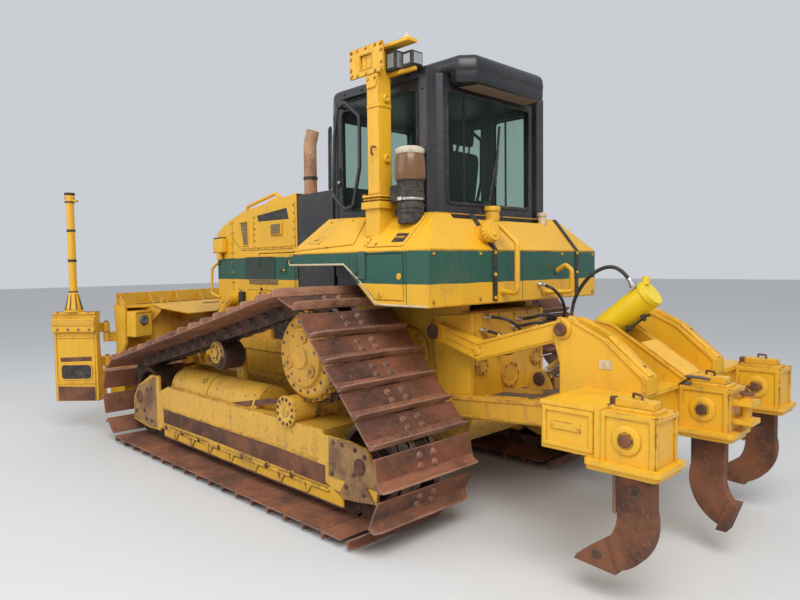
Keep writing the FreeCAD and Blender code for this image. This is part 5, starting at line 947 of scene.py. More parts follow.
def build_tank():
    """Fillers with their caps and chains, straps and seams of the rear tank."""
    kit = Surface()
    out = np.array([-250.0, 0, 204.0]) / math.hypot(250, 204)
    # Straps down the slope and the rear face
    for y in (345.0, -712.0):
        path = [(-781, y, 2060), (-985, y, 1810), (-985, y, 1462)]
        kit.strip(path[:2], out, 50, 8, 1)
        kit.strip(path[1:], BACK, 50, 8, 1)
        kit.bolts([(-992, y, z) for z in (1480, 1640, 1790)], BACK, 11, 9, 2)
    # Main filler: collar, ribbed cap and its hasp
    start, end = np.array([-850.0, 387, 1895]), np.array([-1005.0, 387, 1944])
    axis = unit(end - start)
    reach = np.linalg.norm(end - start)
    kit.turn(start, axis, [(20, 64), (reach - 62, 64), (reach - 60, 70), (reach - 50, 70), (reach - 48, 64)], 36)
    kit.turn(start, axis, [(reach - 48, 74), (reach - 44, 78), (reach - 12, 78), (reach - 3, 72),
        (reach, 60), (reach + 1, 20)], 36)
    u, v = across(axis)
    for angle in 2 * np.pi * np.arange(18) / 18:
        spoke = math.cos(angle) * u + math.sin(angle) * v
        kit.pipe([start + axis * (reach - 42) + spoke * 77, start + axis * (reach - 14) + spoke * 77], 4.5, 6)
    kit.strip([end + v * 45 + axis, end - v * 45 + axis], axis, 22, 12)
    # Upright neck and the small one with their caps
    kit.turn((-800, 130, 2020), UP, [(0, 52), (70, 52), (72, 60), (98, 60), (106, 52), (108, 20)])
    kit.turn((-800, -510, 2010), UP, [(0, 32), (70, 32), (72, 38), (92, 38), (100, 30), (101, 8)], 28, 3)
    kit.pipe([(-800, 75, 2100), (-760, 50, 2075), (-770, 20, 2062), (-800, 0, 2060)], 3, 6, 4, 8)
    # Rear seams; the upright one is a dark strip of painted shade for its groove
    kit.strip([(-985, 20, 1810), (-985, 20, 1450)], BACK, 5, 0.8, 5)
    kit.strip([(-985, -980, 1806), (-985, 980, 1806)], BACK, 8, 2.5)
    kit.strip([(-985, -980, 1455), (-985, 980, 1455)], BACK, 12, 3)
    kit.bolts([(-985, y, z) for y in (-960, -500, 500, 960) for z in (1480, 1780)], BACK, 10, 8, 2)
    for x in (-985, -781):
        z = 1810 if x == -985 else 2060
        half = 1000 if x == -985 else 735
        kit.weld([(x, -half + 10, z - 1), (x, half - 10, z - 1)], 4)
    # Plain yellow paint of the hand rails, and their cleats
    for route, bend in (([(-830, 260, 1960), (-950, 260, 1990), (-1108, 258, 1855), (-1108, 258, 1510),
        (-984, 258, 1524)], 40), ([(-984, -425, 1655), (-1060, -430, 1700), (-1108, -435, 1660), (-1108, -440, 1500),
        (-984, -262, 1500)], 25)):
        kit.pipe(route, 18.5, 14, 6, bend)
    for y, z in ((258, 1525), (-250, 1500), (-425, 1650)):
        kit.turn((-985, y, z), BACK, [(0, 30), (6, 30), (9, 20), (9, 15)], 24)
    kit.make("tank_details", "tractor", "yellow_paint", ("body", "black", "worn", "pale", "rubber", "seam", "yellow"))


# Cab and what stands around it

CAB_HALF = 650.0
ROOF_PLAN = ((-893, -395), (-783, -490), (550, -490), (640, -400), (640, 400), (550, 490), (-783, 490), (-893, 395))


def gasket(kit, corners, normal, slot, width=22.0, proud=5.0):
    """Rubber strip round an opening."""
    kit.strip(rounded(corners, 40, 4), normal, width, proud, slot, closed=True)


def build_roof():
    """Moulded roof: its plan carried UP through a rounded shoulder; rear overhang and its liner."""
    kit = Surface()
    plan = rounded(level(0, ROOF_PLAN), 70, 4)

    def ring(z, inward):
        return inset(plan, UP, inward) + (0, 0, z)

    kit.loft(np.array([ring(3021, 14), ring(3024, 4), ring(3034, 0), ring(3072, 0), ring(3100, 5),
        ring(3122, 17), ring(3137, 38), ring(3146, 80), ring(3150, 150)]))
    rear = [(-889, -392), (-783, -486), (-700, -486), (-700, 486), (-783, 486), (-889, 392)]
    rear = rounded(level(0, rear), 40, 4)
    kit.loft(np.array([inset(rear, UP, 24) + (0, 0, 2941), inset(rear, UP, 8) + (0, 0, 2950),
        rear + (0, 0, 2972), rear + (0, 0, 3045)]))
    liner = level(2941, [(-858, -345), (-720, -395), (-720, 395), (-858, 345)])
    kit.plate(liner, (0, 0, -1), -2, 4, 2, 1)
    # Raised ribs, edge seam and covers on top
    for y in (-300, 0, 300):
        kit.block((-640, y - 55, 3144), (380, y + 55, 3155), 5)
    seam = inset(plan, UP, -0.5) + (0, 0, 3046)
    kit.strip(seam, UP, 2.5, 3, 2, closed=True)
    kit.block((-560, 130, 3150), (-380, 240, 3166), 6)
    kit.make("cab_roof_dressed", "tractor", "cab_plastic", ("plastic", "liner", "rubber"), ("cab_roof",))


def build_cab():
    """Window gaskets, wiper, rails, bolts and the instruments seen through the glass."""
    kit = Surface()
    half = CAB_HALF
    rear = np.array([(-690, -490, 2140), (-690, 490, 2140), (-690, 490, 2920), (-690, -490, 2920)], float)
    gasket(kit, rear, BACK, 1, 26, 6)
    window = np.array([(-560, half, 2140), (-235, half, 2140), (-235, half, 2920), (-560, half, 2920)], float)
    door = np.array([(-166, half, 2079), (311, half, 2079), (311, half, 2961), (-166, half, 2961)], float)
    for mirror_y in (1, -1):
        turned = np.array([1, mirror_y, 1])
        gasket(kit, window * turned, (0, mirror_y, 0), 1, 22, 5)
        kit.strip(door * turned, (0, mirror_y, 0), 12, 4, 1, closed=True)
        # Cut front corner: its window's gasket
        a, b = np.array([330.0, half, 0]), np.array([575.0, 470, 0])
        along = unit(b - a)
        normal = np.array([-along[1], along[0], 0])
        normal = normal if normal[0] > 0 else -normal
        p, q = a + along * 75, b - along * 75
        corners = np.array([p + (0, 0, 2150), q + (0, 0, 2150), q + (0, 0, 2920), p + (0, 0, 2920)])
        gasket(kit, corners * turned, normal * turned, 1, 20, 5)
        # Small grab loop on the corner
        loop = [(352, 676, 2800), (420, 640, 2800), (430, 640, 2320), (372, 676, 2320)]
        loop = rounded(np.array(loop, float), 30, 4)
        kit.pipe(np.concatenate([loop, loop[:2]]) * turned, 9, 8, 1)
        # Seams of the side wall, bolts of the roll-over frame
        kit.strip(np.array([(-600, half, 2062), (330, half, 2062)]) * turned, (0, mirror_y, 0), 5, 0.9, 1)
        places = np.array([(x, 695, 3007) for x in (-560, -300, -40, 160)] ) * turned
        kit.bolts(places, (0, mirror_y, 0), 11, 8)
        places = np.array([(-657, 695, z) for z in (2110, 2170, 2500, 2900)]) * turned
        kit.bolts(places, (0, mirror_y, 0), 11, 8)
        foot = np.array([(-706, 585, 2061), (-606, 710, 2073)]) * turned
        kit.block(foot[0], foot[1])
    front = np.array([(575, -410, 2360), (575, 410, 2360), (575, 410, 2920), (575, -410, 2920)], float)
    gasket(kit, front, AHEAD, 1, 26, 6)
    # Rear wiper: motor cover, arm and blade
    kit.turn((-690, 60, 2120), BACK, [(0, 30), (18, 28), (24, 20), (24, 8)], 24, 1)
    kit.pipe([(-712, 60, 2120), (-708, 20, 2260), (-704, -60, 2520)], 7, 8, 1)
    kit.strip([(-700, -40, 2300), (-700, -90, 2740)], BACK, 16, 8, 1, 4)
    # Rails inside the rear glass, dashboard and instrument pod
    for y in (-250, 250):
        kit.pipe([(-640, y, 2142), (-640, y, 2918)], 8, 8, 1)
    kit.block((330, -330, 1990), (510, 330, 2260), 40, 2)
    kit.block((300, -150, 2250), (430, 150, 2360), 30, 2)
    kit.pipe([(250, 300, 1900), (240, 300, 2200), (215, 290, 2290)], 10, 10, 2)
    kit.turn((215, 290, 2290), (-0.2, 0, 1), [(0, 12), (20, 24), (60, 28), (85, 20), (92, 8)], 20, 2)
    kit.block((-230, 330, 2230), (110, 440, 2275), 18, 2)
    kit.pipe([(60, 385, 2270), (72, 385, 2330)], 9, 10, 2)
    kit.turn((72, 385, 2325), (0.1, 0, 1), [(0, 10), (18, 22), (60, 24), (82, 16), (86, 6)], 20, 2)
    # Door step below the cab
    for mirror_y in (1, -1):
        kit.block((-60, mirror_y * 652, 2068), (300, mirror_y * 735, 2078))
    kit.make("cab_details", "tractor", "charcoal_paint", ("charcoal", "rubber", "plastic"))


def build_cab_door(side_name, sign):
    """Gasket round the door glass, its handle, lock and the tall grab loop."""
    kit = Surface()
    y = CAB_HALF
    pane = np.array([(-107, y, 2140), (252, y, 2140), (252, y, 2900), (-107, y, 2900)], float)
    gasket(kit, pane, LEFT, 1, 18, 5)
    kit.block((268, y - 2, 2330), (296, y + 14, 2470), 5, 1)
    kit.turn((282, y + 12, 2360), LEFT, [(0, 11), (6, 11), (8, 8)], 16, 2)
    loop = [(213, 2921), (122, 2935), (-33, 2810), (-28, 2440), (53, 2158), (143, 2142), (288, 2257), (262, 2700)]
    loop = rounded(side(y + 66, loop), 45, 5)
    kit.pipe(np.concatenate([loop, loop[:2]]), 14, 10)
    for x, z in ((200, 2915), (120, 2158)):
        kit.pipe([(x, y + 2, z), (x, y + 66, z)], 12, 10)
    kit.make("cab_door_" + side_name + "_details", "cab_door_" + side_name, "charcoal_paint",
        ("charcoal", "rubber", "steel"), sign=sign)


def pillow(centre, size, lean, channels, swell=1.0):
    """Crowned cushion: superellipse rings stacked through its thickness, with pulled-in sides
    and sewn channels pressed in by a narrow bell curve. Thickness lies along the leaning axis."""
    m, n = 25, 72
    t = np.linspace(-1, 1, m)[:, None]
    angle = np.linspace(0, 2 * np.pi, n, endpoint=False)[None]
    c, s_ = np.cos(angle), np.sin(angle)
    u = np.sign(c) * np.abs(c) ** 0.32
    v = np.sign(s_) * np.abs(s_) ** 0.32
    round_off = (1 - np.abs(t) ** 3.2) ** (1 / 2.2)
    shrink = 0.35 + 0.65 * round_off
    pull = 1 - 0.035 * (np.abs(np.cos(2 * angle)) ** 2) * (1 - np.abs(t))
    a, b = u * shrink * pull * size[0] / 2, v * shrink * pull * size[1] / 2
    crown = t * (1 + 0 * angle) * size[2] / 2
    points = np.stack([a, b, crown], -1)
    # Flat ends become crowned faces that close on a point
    ends = []
    for where in (0, -1):
        edge = points[where]
        share = np.linspace(1, 0.02, 14)[:, None, None]
        cap = edge[None] * np.concatenate([share, share, np.ones_like(share)], -1)
        lift = np.sign(edge[0, 2]) * size[2] * 0.16 * swell * (1 - share[..., 0] ** 2)
        cap[..., 2] = edge[None, :, 2] + lift
        for at in channels:
            cap[..., 2] -= np.sign(edge[0, 2]) * size[2] * 0.10 * np.exp(-((cap[..., 0] / size[0] - at) / 0.022) ** 2)
        ends.append(cap)
    points = np.concatenate([ends[0][::-1], points[1:-1], ends[1]])
    tilt = math.radians(lean)
    x = points[..., 0] * math.cos(tilt) + points[..., 2] * math.sin(tilt)
    z = -points[..., 0] * math.sin(tilt) + points[..., 2] * math.cos(tilt)
    return np.stack([x, points[..., 1], z], -1) + np.array(centre, float)


def build_seat():
    """Operator's seat: cushions on a suspension base, with arm consoles and levers."""
    cushions = (
        # name, centre, size, lean, channels
        ("seat_cushion", (-205, 0, 2032), (500, 440, 105), -3, (-0.2, 0.08)),
        ("seat_back", (-365, 0, 2330), (520, 430, 88), 82, (-0.25, 0.0, 0.25)),
        ("seat_head_rest", (-420, 0, 2708), (170, 250, 60), 84, ()),
    )
    for name, centre, size, lean, channels in cushions:
        kit = Surface().loft(pillow(centre, size, lean, channels), 0)
        piece = kit.make(name, "tractor", "seat_fabric", ("cloth",), ("seat",), smooth=80)
    kit = Surface()
    kit.block((-420, -200, 1482), (-60, 200, 1760), 25)
    kit.loft(np.array([inset(rounded(level(z, [(-430, -215), (-60, -215), (-60, 215), (-430, 215)]), 50), UP, d)
        for z, d in ((1760, 12), (1785, 0), (1812, 12), (1838, 0), (1866, 12), (1892, 0), (1920, 12), (1960, 4))]), 1)
    kit.block((-440, -228, 1958), (10, 228, 1984), 10)
    for sign in (1, -1):
        kit.block((-400, sign * 262, 1962), (100, sign * 396, 2228), 30)
        kit.pipe([(60, sign * 330, 2220), (75, sign * 330, 2290)], 10, 10, 1)
        kit.turn((75, sign * 330, 2285), (0.15, 0, 1), [(0, 12), (22, 26), (60, 27), (86, 18), (92, 6)], 20, 1)
        kit.pipe([(-420, sign * 70, 2560), (-435, sign * 70, 2680)], 7, 8, 1)
    kit.make("seat_frame", "tractor", "seat_fabric", ("plastic", "rubber"), ("seat",))


POST = (-365.0, 825.0, 58.0, 3165.0)


def build_post():
    """Bolts, lamps, bosses, sleeve, flanges, hook and antenna of the equipment post."""
    x, y, half, top = POST
    kit = Surface()
    out = y + half
    # Bolted plate: rim, bolts and a bracket under it
    low, high = top - 153, top + 45
    places = [(-470, z) for z in (low + 16, low + 60, high - 60, high - 16)] \
        + [(-162, z) for z in (low + 16, low + 60, high - 60, high - 16)] \
        + [(px, z) for px in (-410, -316, -230) for z in (low + 14, high - 14)]
    kit.bolts(side(out + 14, places), LEFT, 9, 9, 2)
    kit.strip(side(out + 14, [(-378, low + 43), (-254, low + 43), (-254, high - 55), (-378, high - 55)]),
        LEFT, 8, 4, 0, closed=True)
    kit.plate(side(out - 2, [(-430, low - 2), (-300, low - 2), (-315, low - 92), (-400, low - 92)]), LEFT, 0, 12)
    kit.bolts(side(out + 10, [(-400, low - 30), (-330, low - 30)]), LEFT, 9, 8, 2)
    # Sleeve joint, welded rings and round bosses
    for z, grow, tall in ((2800, 6, 22), (2186, 34, 16), (2164, 30, 8)):
        corners = [(x - half - grow, y - half - grow), (x + half + grow, y - half - grow),
            (x + half + grow, y + half + grow), (x - half - grow, y + half + grow)]
        outline = rounded(level(0, corners), 14, 3)
        kit.loft(np.array([outline + (0, 0, z - tall / 2), outline + (0, 0, z + tall / 2)]))
    for z in (2850, 2442):
        kit.turn((x - half + 2, y - 10, z), BACK, [(0, 30), (14, 30), (20, 25), (20, 14), (15, 12), (15, 4)], 24)
    kit.bolts([(x + dx, y + dy, 2194) for dx in (-78, 78) for dy in (-78, 78)], UP, 9, 9, 2)
    kit.turn((x, y, 2104), UP, [(0, 84), (6, 90), (22, 90), (28, 84), (28, 70)], 36, 1)
    kit.weld(np.array([(x - half, out, 2205), (x + half, out, 2205)]))
    # Rusty hook
    kit.pipe([(x - 20, out + 2, 2520), (x - 20, out + 34, 2520), (x - 20, out + 40, 2480),
        (x - 20, out + 22, 2462)], 7, 8, 4, 12)
    # Lamps: housing with cooling ribs, bezel and lens that face rearwards
    for x0, x1, y0, y1, z0, z1 in ((x - 158, x - 67, y - 128, y - 7, top - 141, top - 12),
            (x - 303, x - 212, y - 123, y - 17, top - 141, top - 42)):
        kit.block((x0 - 1, y0 - 1, z0 - 1), (x1 + 1, y1 + 1, z1 + 1), 3, 1)
        for share in np.linspace(0.15, 0.85, 6):
            at = y0 + share * (y1 - y0)
            kit.block((x1 - 4, at - 3, z0 + 12), (x1 + 12, at + 3, z1 - 12), 2, 1)
        kit.block((x0 - 8, y0 + 6, z0 + 6), (x0 + 6, y1 - 6, z1 - 6), 6, 1)
        kit.block((x0 - 11, y0 + 14, z0 + 14), (x0 - 6, y1 - 14, z1 - 14), 3, 3)
        # Lens at the outer side as well
        kit.block((x0 + 14, y1 - 4, z0 + 16), (x1 - 14, y1 + 3, z1 - 16), 3, 3)
    # Antenna: dome and white cone tip on the flat plate
    kit.turn((x - 250, y - 30, top + 37), UP, [(0, 34), (8, 34), (20, 26), (26, 10), (50, 5), (52, 2)], 24, 5)
    kit.turn((x - 90, y - 30, top + 37), UP, [(0, 20), (10, 20), (14, 14), (14, 6)], 24, 1)
    kit.bolts([(x - 20, y - 55, top + 37), (x - 20, y - 5, top + 37)], UP, 8, 7, 2)
    kit.make("post_details", "tractor", "yellow_paint", ("yellow", "rubber", "worn", "lens", "rust", "pale"))


def build_bowl():
    """Air cleaner bowl: a turned profile in bands, with its clamp."""
    at, up = (-640, 805, 0), UP
    kit = Surface()
    kit.turn(at, up, [(1990, 70), (1990, 86), (2120, 88), (2130, 82), (2150, 82), (2160, 90), (2262, 90),
        (2270, 98), (2284, 98), (2284, 60)], 40)
    for z in (2060, 2090, 2200, 2225):
        kit.turn(at, up, [(z - 4, 84), (z - 4, 91), (z + 4, 91), (z + 4, 84)], 40)
    kit.turn(at, up, [(2276, 60), (2276, 98), (2290, 103), (2330, 104), (2400, 101), (2436, 96), (2448, 88),
        (2448, 40)], 48, 1)
    kit.turn(at, up, [(2446, 60), (2446, 92), (2456, 95), (2478, 92), (2490, 80), (2495, 60), (2495, 24),
        (2488, 20)], 48, 2)
    for angle in 2 * np.pi * np.arange(24) / 24:
        edge = np.array([-640 + 93 * math.cos(angle), 805 + 93 * math.sin(angle), 0])
        kit.pipe([edge + (0, 0, 2456), edge + (0, 0, 2480)], 3.5, 6, 2)
    kit.turn(at, up, [(2140, 88), (2140, 92), (2156, 92), (2156, 88)], 40, 3)
    kit.block((-660, 890, 2136), (-620, 912, 2160), 3, 3)
    kit.block((-560, 765, 2130), (-480, 850, 2250), 10)
    kit.make("air_bowl_dressed", "tractor", "bowl_plastic", ("rubber", "bowl", "beige", "steel"), ("air_bowl",))


# Ripper

def pin_end(kit, x, y, z, radius, ring=0, head=1, bolt=1, sign=1, proud=0.0):
    """A pin's end on an outer face: welded ring, stepped head, and a keeper plate with its bolt."""
    way = (0, sign, 0)
    kit.turn((x, y, z), way, [(-1, radius + 2), (-1, radius + 20), (9, radius + 20), (14, radius + 14),
        (14, radius + 2)], 36, ring)
    kit.turn((x, y + sign * proud, z), way, [(-1, radius), (13, radius), (19, radius - 7), (19, radius * 0.5),
        (15, radius * 0.42), (15, 4)], 32, head)
    keeper = side(y + sign * (proud + 13), [(x - 9, z + radius * 0.2), (x + 9, z + radius * 0.2),
        (x + 9, z + radius + 26), (x - 9, z + radius + 26)])
    kit.plate(keeper, way, -1, 7, 2, head)
    kit.bolts([(x, y + sign * (proud + 19), z + radius + 12)], way, 9, 8, bolt)


RAM_EYE, RAM_PIN = np.array([-1143.0, 0, 905]), np.array([-1600.0, 0, 1268])
POCKET_Y = (920.0, 0.0, -920.0)


def build_beam_details():
    """Beam: lip, side panels, pocket rims, caps, pins, bracket straps and the ram's cover plate."""
    kit = Surface()
    # Recessed end panel with its rim and blank raised plate
    y = 1027
    kit.strip(side(y, [(-1826, 965), (-2092, 965), (-2092, 784), (-1826, 784)]), LEFT, 26, 9, 0, closed=True)
    kit.plate(side(y, [(-1862, 860), (-2036, 860), (-2036, 904), (-1862, 904)]), LEFT, -1, 6, 2, 1)
    kit.bolts(side(y + 6, [(-1876, 882), (-2022, 882)]), LEFT, 6, 5, 1)
    # Bracket plates: straps UP the rear slope, blank label, pins
    for face in (562.0, 419.0):
        way = LEFT if face > 500 else (0, -1, 0)
        kit.strip(side(face, [(-2146, 1010), (-2146, 1080), (-1908, 1284), (-1708, 1378)]), way, 22, 6)
        kit.weld(side(face + way[1], [(-1812, 1000), (-2150, 1000)]), 7)
    kit.plate(side(562, [(-1880, 1115), (-1960, 1115), (-1960, 1165), (-1880, 1165)]), LEFT, -1, 3, 1, 4)
    pin_end(kit, -1645, 562, 1324, 40, 0, 3, 1, 1, 22)
    kit.strip([(-2150, 490, 1090), (-1912, 490, 1293)], unit([-204, 0, 238]), 66, 9, 0, 3)
    kit.bolts([np.array([-2100, 470, 1134]), np.array([-1960, 510, 1254])], unit([-204, 0, 238]), 9, 14, 1)
    # Upright pin beside the pocket
    kit.turn((-2160, 920, 994), UP, [(-2, 34), (12, 34), (14, 22), (52, 22), (56, 16)], 24, 3)
    kit.mirrored()
    # Lip of the top plate
    kit.plate(level(995, [(-2150, -1034), (-1797, -1034), (-1797, 1034), (-2150, 1034)]), UP, -14, 9, 3)
    kit.weld([(-2150, -1034, 980), (-2150, 1034, 980)], 6)
    for y in POCKET_Y:
        for sign in (1, -1):
            wall = y + sign * 115
            kit.strip(side(wall, [(-2162, 984), (-2407, 984), (-2407, 716), (-2162, 716)]),
                (0, sign, 0), 28, 8, 1, closed=True)
            kit.turn((-2281, wall, 872), (0, sign, 0), [(-1, 40), (-1, 74), (7, 74), (12, 66), (12, 40)], 36)
            kit.turn((-2281, wall + sign * 11, 872), (0, sign, 0), [(0, 30), (12, 30), (17, 24), (17, 6)], 28, 3)
        for sign in (1, -1):
            kit.strip([(-2420, y + sign * 100, 1000), (-2420, y + sign * 100, 700)], BACK, 30, 9, 1)
        kit.strip([(-2420, y - 116, 982), (-2420, y + 116, 982)], BACK, 28, 12, 1)
        kit.strip([(-2420, y - 116, 712), (-2420, y + 116, 712)], BACK, 24, 7, 1)
        # Rim of the slot and the painted top of the shank in it
        for x in (-2392, -2170):
            kit.block((x - 12, y - 62, 990), (x + 12, y + 62, 1014), 5, 1)
        for lean in (1, -1):
            kit.block((-2392, y + lean * 50 - 13, 990), (-2170, y + lean * 50 + 13, 1012), 5, 1)
        kit.plate(level(1044, [(-2382, y - 34), (-2180, y - 34), (-2180, y + 34), (-2382, y + 34)]), UP, -34, 8, 6, 1)
        kit.pipe([(-2252, y - 14, 1050), (-2252, y - 14, 1074), (-2310, y + 14, 1074), (-2310, y + 14, 1050)],
            7, 8, 3, 10)
    # Grey pin puller on the centre pocket
    kit.block((-2200, 62, 995), (-2130, 108, 1012), 4, 2)
    kit.pipe([(-2165, 85, 1005), (-2170, 92, 1046), (-2290, 132, 1052), (-2330, 150, 1052)], 9, 10, 2, 14)
    # Tow lugs: rounded front rim and the pin's cap
    for z in (828, 933):
        kit.turn((-2480, 0, z), UP, [(-1, 44), (6, 44), (9, 40), (9, 26)], 28)
    kit.turn((-2480, 0, 965), UP, [(-2, 38), (8, 38), (13, 32), (13, 6)], 28, 3)
    kit.pipe([(-2480, 0, 976), (-2480, 22, 1000), (-2480, 0, 1018), (-2480, -22, 1000), (-2480, 0, 976)], 5, 8, 3, 8)
    # Cover plate between the ram's cheeks, and the cheeks' rims
    kit.plate([(-2182, -102, 1044), (-2182, 102, 1044), (-1905, 102, 1220), (-1905, -102, 1220)],
        unit([-176, 0, 277]), -2, 10, 3)
    for sign in (1, -1):
        face = sign * 130.0
        kit.strip(side(face, [(-2180, 1040), (-1738, 1322), (-1628, 1346)]), (0, sign, 0), 20, 6)
        kit.weld(side(face + sign, [(-1812, 1000), (-2150, 1000)]), 7)
        pin_end(kit, -1600, face, 1268, 45, 0, 3, 1, sign, 0)
    kit.make("ripper_beam_details", "ripper", "yellow_paint", ("yellow", "worn", "grey", "rust", "pale"))


def build_shank_details():
    """Shanks: chipped face bars, pin holes along the blade and the wedge points' bright faces."""
    kit = Surface()
    for y in POCKET_Y[::2]:
        for sign in (1, -1):
            wall = y + sign * 30
            kit.turn((-2281, wall, 600), (0, sign, 0), [(-1, 30), (3, 30), (3, 22), (1, 20), (1, 4)], 28, 1)
            kit.strip(side(wall, [(-2368, 690), (-2368, 530)]), (0, sign, 0), 10, 3)
            kit.strip(side(wall, [(-2196, 690), (-2196, 530)]), (0, sign, 0), 10, 3)
            kit.turn((-2090, y + sign * 46, 242), (0, sign, 0), [(-1, 24), (5, 24), (8, 18), (8, 6)], 24, 1)
        kit.block((-2188, y - 40, 470), (-2168, y + 40, 700), 6, 2)
        kit.plate([(-2001, y - 38, 226), (-2001, y + 38, 226), (-1962, y + 30, 190), (-1962, y - 30, 190)],
            (0.68, 0, 0.73), -3, 4, 2, 2)
    kit.make("ripper_shank_details", "ripper", "shank_steel", ("rust", "link", "bright"))


def build_link_details():
    """Upper and lower links of the ripper: bosses, rims, welds, covers and grease fittings."""
    kit = Surface()
    path = [(-655, 1222), (-980, 1133), (-1585, 1309)]
    for shift in (48, -48):
        kit.strip(side(530, bent(side(0, path), 60)[:, ::2] + (0, shift)), LEFT, 13, 4)
    kit.turn((-980, 530, 1133), LEFT, [(-1, 30), (3, 30), (5, 26), (5, 4)], 28)
    kit.weld(side(531, [(-700, 1205), (-955, 1136)]), 4)
    kit.bolts([(-1000, 532, 1160), (-960, 532, 1110)], LEFT, 8, 5, 1)
    kit.turn((-1130, 490, 1236), (0.28, 0, 0.96), [(-4, 16), (8, 16), (12, 10), (22, 8)], 16, 1)
    kit.mirrored().make("ripper_upper_details", "ripper_upper", "yellow_paint", ("yellow", "worn"))
    kit = Surface()
    ends = np.array([(-760, 727.0), (-1640, 797.0)])
    for shift in (58, -58):
        kit.strip(side(530, ends + (0, shift)), LEFT, 14, 5)
    kit.turn((-1720, 560, 804), LEFT, [(0, 38), (0, 56), (10, 56), (15, 50), (15, 20), (11, 16), (11, 4)], 32, 2)
    kit.plate(side(574, [(-1729, 800), (-1711, 800), (-1711, 872), (-1729, 872)]), LEFT, -1, 6, 2, 2)
    kit.turn((-675, 530, 720), LEFT, [(-1, 40), (-1, 66), (5, 66), (5, 40)], 36)
    kit.weld([(-980, 455, 822), (-1330, 455, 850)], 7)
    kit.mirrored()
    # Dusty tread plate on the cross frame, stiffeners and lugs' bosses
    kit.plate([(-975, -430, 811), (-975, 430, 811), (-1325, 430, 839), (-1325, -430, 839)],
        unit([0.08, 0, 1]), -2, 6, 3, 1)
    for sign in (1, -1):
        kit.strip([(-990, sign * 250, 818), (-1310, sign * 250, 844)], (0.08, 0, 1), 16, 34)
        kit.turn((-1143, sign * 50, 905), (0, sign, 0), [(-1, 26), (-1, 48), (6, 48), (9, 42), (9, 8)], 32, 2)
    kit.make("ripper_lower_details", "ripper_link", "yellow_paint", ("grimy", "dust_and_shade", "rust"))


def dressed_cylinder(name, body, start, end, sections, radius, finish, gland=30.0, port=(0.0, 0.0, 1.0)):
    """Barrel trim between two places: gland nut, end ring, feed line in its clamps and ports.

    sections: distances of the gland's face and the base ring from start.
    """
    start, end = np.array(start, float), np.array(end, float)
    way = unit(end - start)
    face, base = sections
    kit = Surface()
    back = -1 if face > base else 1
    kit.turn(start + way * face, way * -back, [(-44, radius + 5), (-44, radius + 11), (-3, radius + 11),
        (4, radius + 4), (4, gland + 10), (9, gland + 8), (9, gland + 2)], 36, 1)
    for at in (face + back * 62, base - back * 26):
        kit.turn(start + way * at, way, [(-9, radius - 2), (-9, radius + 4), (9, radius + 4), (9, radius - 2)], 36)
    angles = 2 * np.pi * np.arange(8) / 8
    u, v = across(way)
    ring = start + way * face + (np.cos(angles)[:, None] * u + np.sin(angles)[:, None] * v) * (radius + 2)
    kit.bolts(ring, way * -back, 6, 7, 2)
    up = unit(np.array(port) - way * (np.array(port) @ way))
    line = radius + 17
    low, high = start + way * (face + back * 46), start + way * (base - back * 90)
    kit.pipe([low + up * (radius - 2), low + up * line, high + up * line, high + up * (radius + 30)], 8, 10, 2, 14)
    kit.turn(high + up * (radius - 4) - way * back * 40, up, [(0, 17), (26, 17), (28, 13), (38, 13)], 6, 2)
    for share in (0.3, 0.7):
        at = low + (high - low) * share + up * (line - 2)
        kit.strip([at - np.cross(way, up) * 20, at + np.cross(way, up) * 20], up, 16, 14, 2, 18)
    kit.make(name, body, "ram_yellow" if finish == "lemon" else "yellow_paint", (finish, "worn", "black"))


def build_ripper():
    """All of the ripper's trim and its ram."""
    build_beam_details()
    build_shank_details()
    build_link_details()
    to_pin = float(np.linalg.norm(RAM_PIN - RAM_EYE))
    dressed_cylinder("ripper_ram_details", "ripper_cylinder", RAM_EYE, RAM_PIN, (to_pin - 235, to_pin + 417),
        88.0, "lemon", 45.0, (-0.62, 0.25, -0.75))


# Blade and push frame

BLADE_SWIVEL_X, BLADE_ANGLE, WING_FOLD = 3640.0, math.radians(20.0), math.radians(65.7)


def on_blade(points):
    """Places (n, s, z), n forward and s left on the blade, turned about the swivel to the machine."""
    c, s = math.cos(BLADE_ANGLE), math.sin(BLADE_ANGLE)
    x, y, z = np.moveaxis(np.asarray(points, float), -1, 0)
    return np.stack([BLADE_SWIVEL_X + c * x - s * y, s * x + c * y, z], -1)


def on_wing(sign):
    """Change from places on the straight wing to the machine: hinge line to the origin, folded back."""
    angle = -sign * WING_FOLD

    def change(points):
        x, y, z = np.moveaxis(np.asarray(points, float), -1, 0)
        x, y = x - 300, sign * (y + 6)
        c, s = math.cos(angle), math.sin(angle)
        return on_blade(np.stack([300 + c * x - s * y, sign * 1258 + s * x + c * y, z], -1))
    return change


def face_n(z):
    """Distance of the moldboard's front from the swivel at a height: the arc through its three points."""
    return np.interp(z, (300, 500, 690, 880, 1100, 1320), (292, 262, 193, 165, 166, 190))


